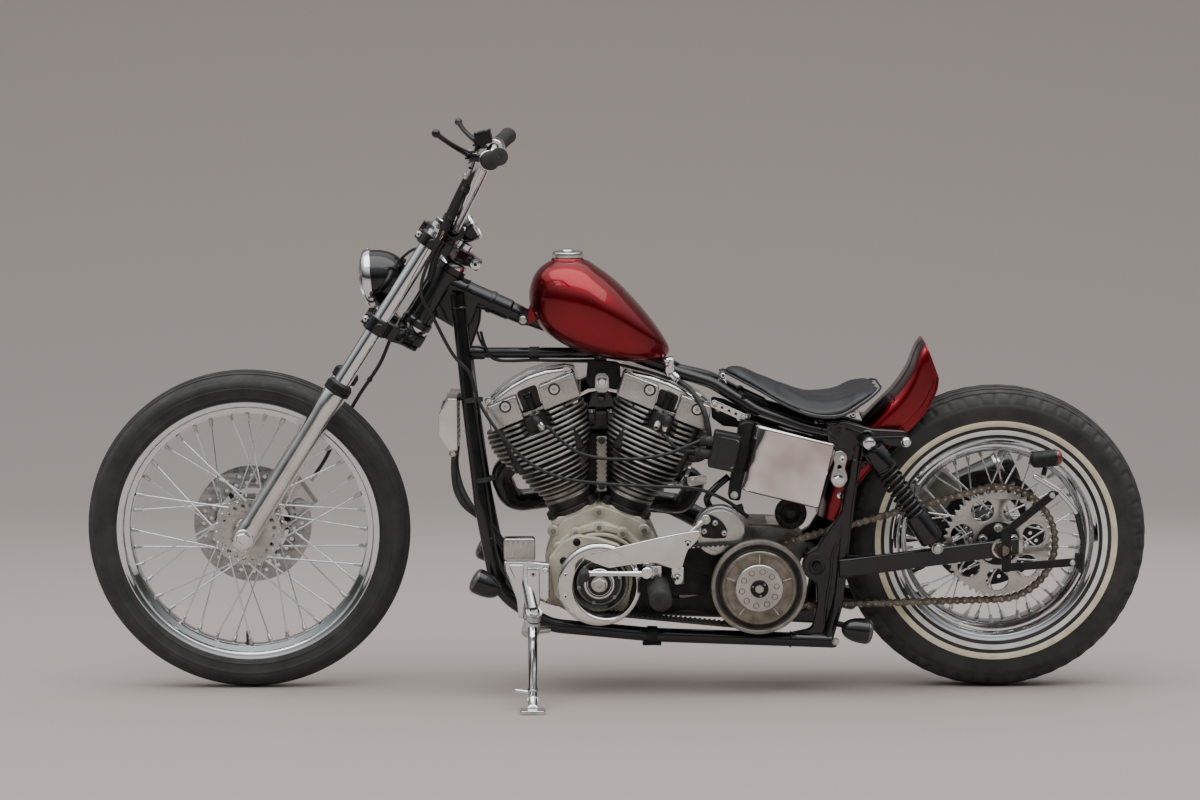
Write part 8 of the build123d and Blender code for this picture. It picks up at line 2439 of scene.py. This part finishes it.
for a, b in ((13.8, 29.6), (-29.6, -13.8)):
    lo_, hi_ = min(a, b), max(a, b)
    g.lathe(AP, HG, [(lo_, 7.9), (lo_, 17.4), (lo_ + 1.6, 18.8), (hi_ - 1.6, 18.8), (hi_, 17.4), (hi_, 7.9)], "chrome_dull", 44)
g.lathe(AP, HG, [(-33.6, 0), (-33.6, 6.4), (-32, 7.6), (32, 7.6), (33.6, 6.4), (33.6, 0)], "zinc", 24)
g.lathe(AP, HG, [(29.6, 7.6), (29.6, 12.4), (30.8, 12.8), (33.6, 12.8), (34, 12)], "chrome", 6)
g.lathe(AP, HG, [(-29.6, 7.6), (-29.6, 12.4), (-30.8, 12.8), (-33.6, 12.8), (-34, 12)], "chrome", 6)
# webs from the ears up to the plate
for a, b, r0, r1 in ((AP + HG * 22, Vector((594, -141, 262)), 12.4, 11.4), (AP - HG * 22, Vector((640, -133, 154)), 8.6, 8.6)):
    dd = (b - a).normalized()
    g.lathe(a, dd, [(12, r0), ((b - a).length, r1), ((b - a).length + 2, r1 - 3), ((b - a).length + 2, 0)], "chrome_dull", 28)
g.build("stand_bracket_castings", "chassis", ["stand_bracket"], slot="satin_aluminium")

g = Geo()
g.lathe(AP, HG, [(-12.9, 8.2), (-12.9, 17.6), (-11.4, 18.9), (11.4, 18.9), (12.9, 17.6), (12.9, 8.2)], "chrome", 48)
elbow = AP + Vector((2, -36, -30))
low = FT + Vector((0, 26, 22))
legp = rounded_path([AP, elbow, low], [30], 10)
g.tube(legp[0:1] + legp[1:], 10.4, "chrome", 32)
dd = (low - elbow).normalized()
g.lathe(low - dd * 30, dd, [(0, 10.4), (2, 12.2), (12, 12.2), (14, 10.6), (30, 10.4)], "chrome", 36)
fu = Vector((0, sin(radians(LEAN)), cos(radians(LEAN))))
g.tube([low - dd * 2, FT + Vector((0, 14, 12)) + fu * 2, FT + Vector((0, 6, 4)) + fu * 6], 9.6, "chrome", 24)
g.plate(round_poly([(-25.9, -21.9), (25.9, -21.9), (25.9, 21.9), (-25.9, 21.9)], 10, 6), [], 0.05, 7.9, "chrome_dull", 2.0, origin=FT, x=(1, 0, 0), n=fu, res=3)
# spring post with a ball end
ta_, tb_ = FT + Vector((0, 40, 32)), FT + Vector((-34, 52, 34))
g.tube([ta_, tb_], 4.3, "chrome", 14)
g.ball(tb_, 4.5, "chrome", 14)
g.build("side_stand_leg", "side_stand", ["side_stand"], slot="chrome")
# ------------------------------------------------------------------ camera, floor and light
CX0, CD, CH, CYAW, CPITCH, CROLL = 750.3, 6089.6, 851.5, 0.337, 2.234, -0.126
cy, cp, cr = radians(CYAW), radians(CPITCH), radians(CROLL)
fwd = Vector((sin(cy) * cos(cp), cos(cy) * cos(cp), -sin(cp)))
right = Vector((cos(cy), -sin(cy), 0.0))
up = right.cross(fwd)
right, up = right * cos(cr) + up * sin(cr), -right * sin(cr) + up * cos(cr)
cam_d = bpy.data.cameras.new("camera")
cam_d.sensor_width = 36.0
cam_d.sensor_fit = 'HORIZONTAL'
cam_d.lens = 2833.0 / 1200.0 * 36.0
cam_d.clip_end = 200.0
cam = bpy.data.objects.new("camera", cam_d)
bpy.context.scene.collection.objects.link(cam)
loc = (Vector((CX0 - CD * sin(cy), -CD * cos(cy), CH)) + SHIFT) / 1000.0
cam.matrix_world = Matrix(((right.x, up.x, -fwd.x, loc.x), (right.y, up.y, -fwd.y, loc.y),
                           (right.z, up.z, -fwd.z, loc.z), (0, 0, 0, 1)))
bpy.context.scene.camera = cam

fm = bpy.data.materials.new("floor_paint")
fm.use_nodes = True
fb = fm.node_tree.nodes["Principled BSDF"]
fb.inputs["Base Color"].default_value = (0.375, 0.325, 0.30, 1)
fb.inputs["Roughness"].default_value = 0.75
fb.inputs["Specular IOR Level"].default_value = 0.25
verts, faces = [], []
# a sheet of floor that curves up far behind the machine
prof = [(-14.0, 0.0), (5.0, 0.0)] + [(5.0 + 5.0 * sin(radians(a)), 5.0 - 5.0 * cos(radians(a))) for a in range(6, 91, 6)] + [(10.0, 12.0)]
for x in (-22.0, 22.0):
    verts += [(x, y, z - 0.0004) for y, z in prof]
k = len(prof)
faces = [[i, i + 1, k + i + 1, k + i] for i in range(k - 1)]
fme = bpy.data.meshes.new("floor")
fme.from_pydata(verts, [], faces)
fme.materials.append(fm)
for p in fme.polygons:
    p.use_smooth = True
floor = bpy.data.objects.new("floor", fme)
bpy.context.scene.collection.objects.link(floor)

world = bpy.data.worlds.new("soft_sky")
bpy.context.scene.world = world
world.use_nodes = True
wn = world.node_tree
bg = wn.nodes["Background"]
tc = wn.nodes.new("ShaderNodeTexCoord")
sep = wn.nodes.new("ShaderNodeSeparateXYZ")
wn.links.new(tc.outputs["Generated"], sep.inputs[0])
rp = wn.nodes.new("ShaderNodeValToRGB")
el = rp.color_ramp.elements
stops = [(0.0, (0.30, 0.27, 0.25)), (0.45, (0.20, 0.18, 0.165)), (0.50, (0.060, 0.060, 0.052)), (0.55, (0.070, 0.074, 0.066)),
         (0.63, (0.26, 0.28, 0.29)), (0.76, (0.95, 0.99, 1.05)), (1.0, (1.45, 1.48, 1.52))]
while len(el) < len(stops):
    el.new(0.5)
for e, (p, c) in zip(el, stops):
    e.position = p
    e.color = (*c, 1)
mr = wn.nodes.new("ShaderNodeMapRange")
mr.inputs["From Min"].default_value = -1.0
mr.inputs["From Max"].default_value = 1.0
wn.links.new(sep.outputs["Z"], mr.inputs["Value"])
wn.links.new(mr.outputs["Result"], rp.inputs["Fac"])
wn.links.new(rp.outputs["Color"], bg.inputs["Color"])
bg.inputs["Strength"].default_value = 0.85


def area(name, loc, target, size, power, colour=(1, 1, 1), size_y=None, glossy=False):
    d = bpy.data.lights.new(name, 'AREA')
    d.energy = power
    d.color = colour
    d.size = size
    if size_y:
        d.shape = 'RECTANGLE'
        d.size_y = size_y
    o = bpy.data.objects.new(name, d)
    o.location = loc
    o.visible_glossy = glossy
    o.rotation_euler = (Vector(target) - Vector(loc)).to_track_quat('-Z', 'Y').to_euler()
    bpy.context.scene.collection.objects.link(o)
    return o


area("key_top", (-0.2, -1.6, 5.4), (0, 0, 0.4), 9.0, 330, (1, 0.985, 0.96), 5.0, True)
area("front_soft", (-2.2, -6.5, 5.2), (0, 0, 0.5), 5.0, 130, (1, 0.99, 0.98), 3.0)
area("back_rim", (1.8, 3.2, 2.8), (0, 0, 0.6), 3.0, 45, (0.96, 0.98, 1.0), 1.8)
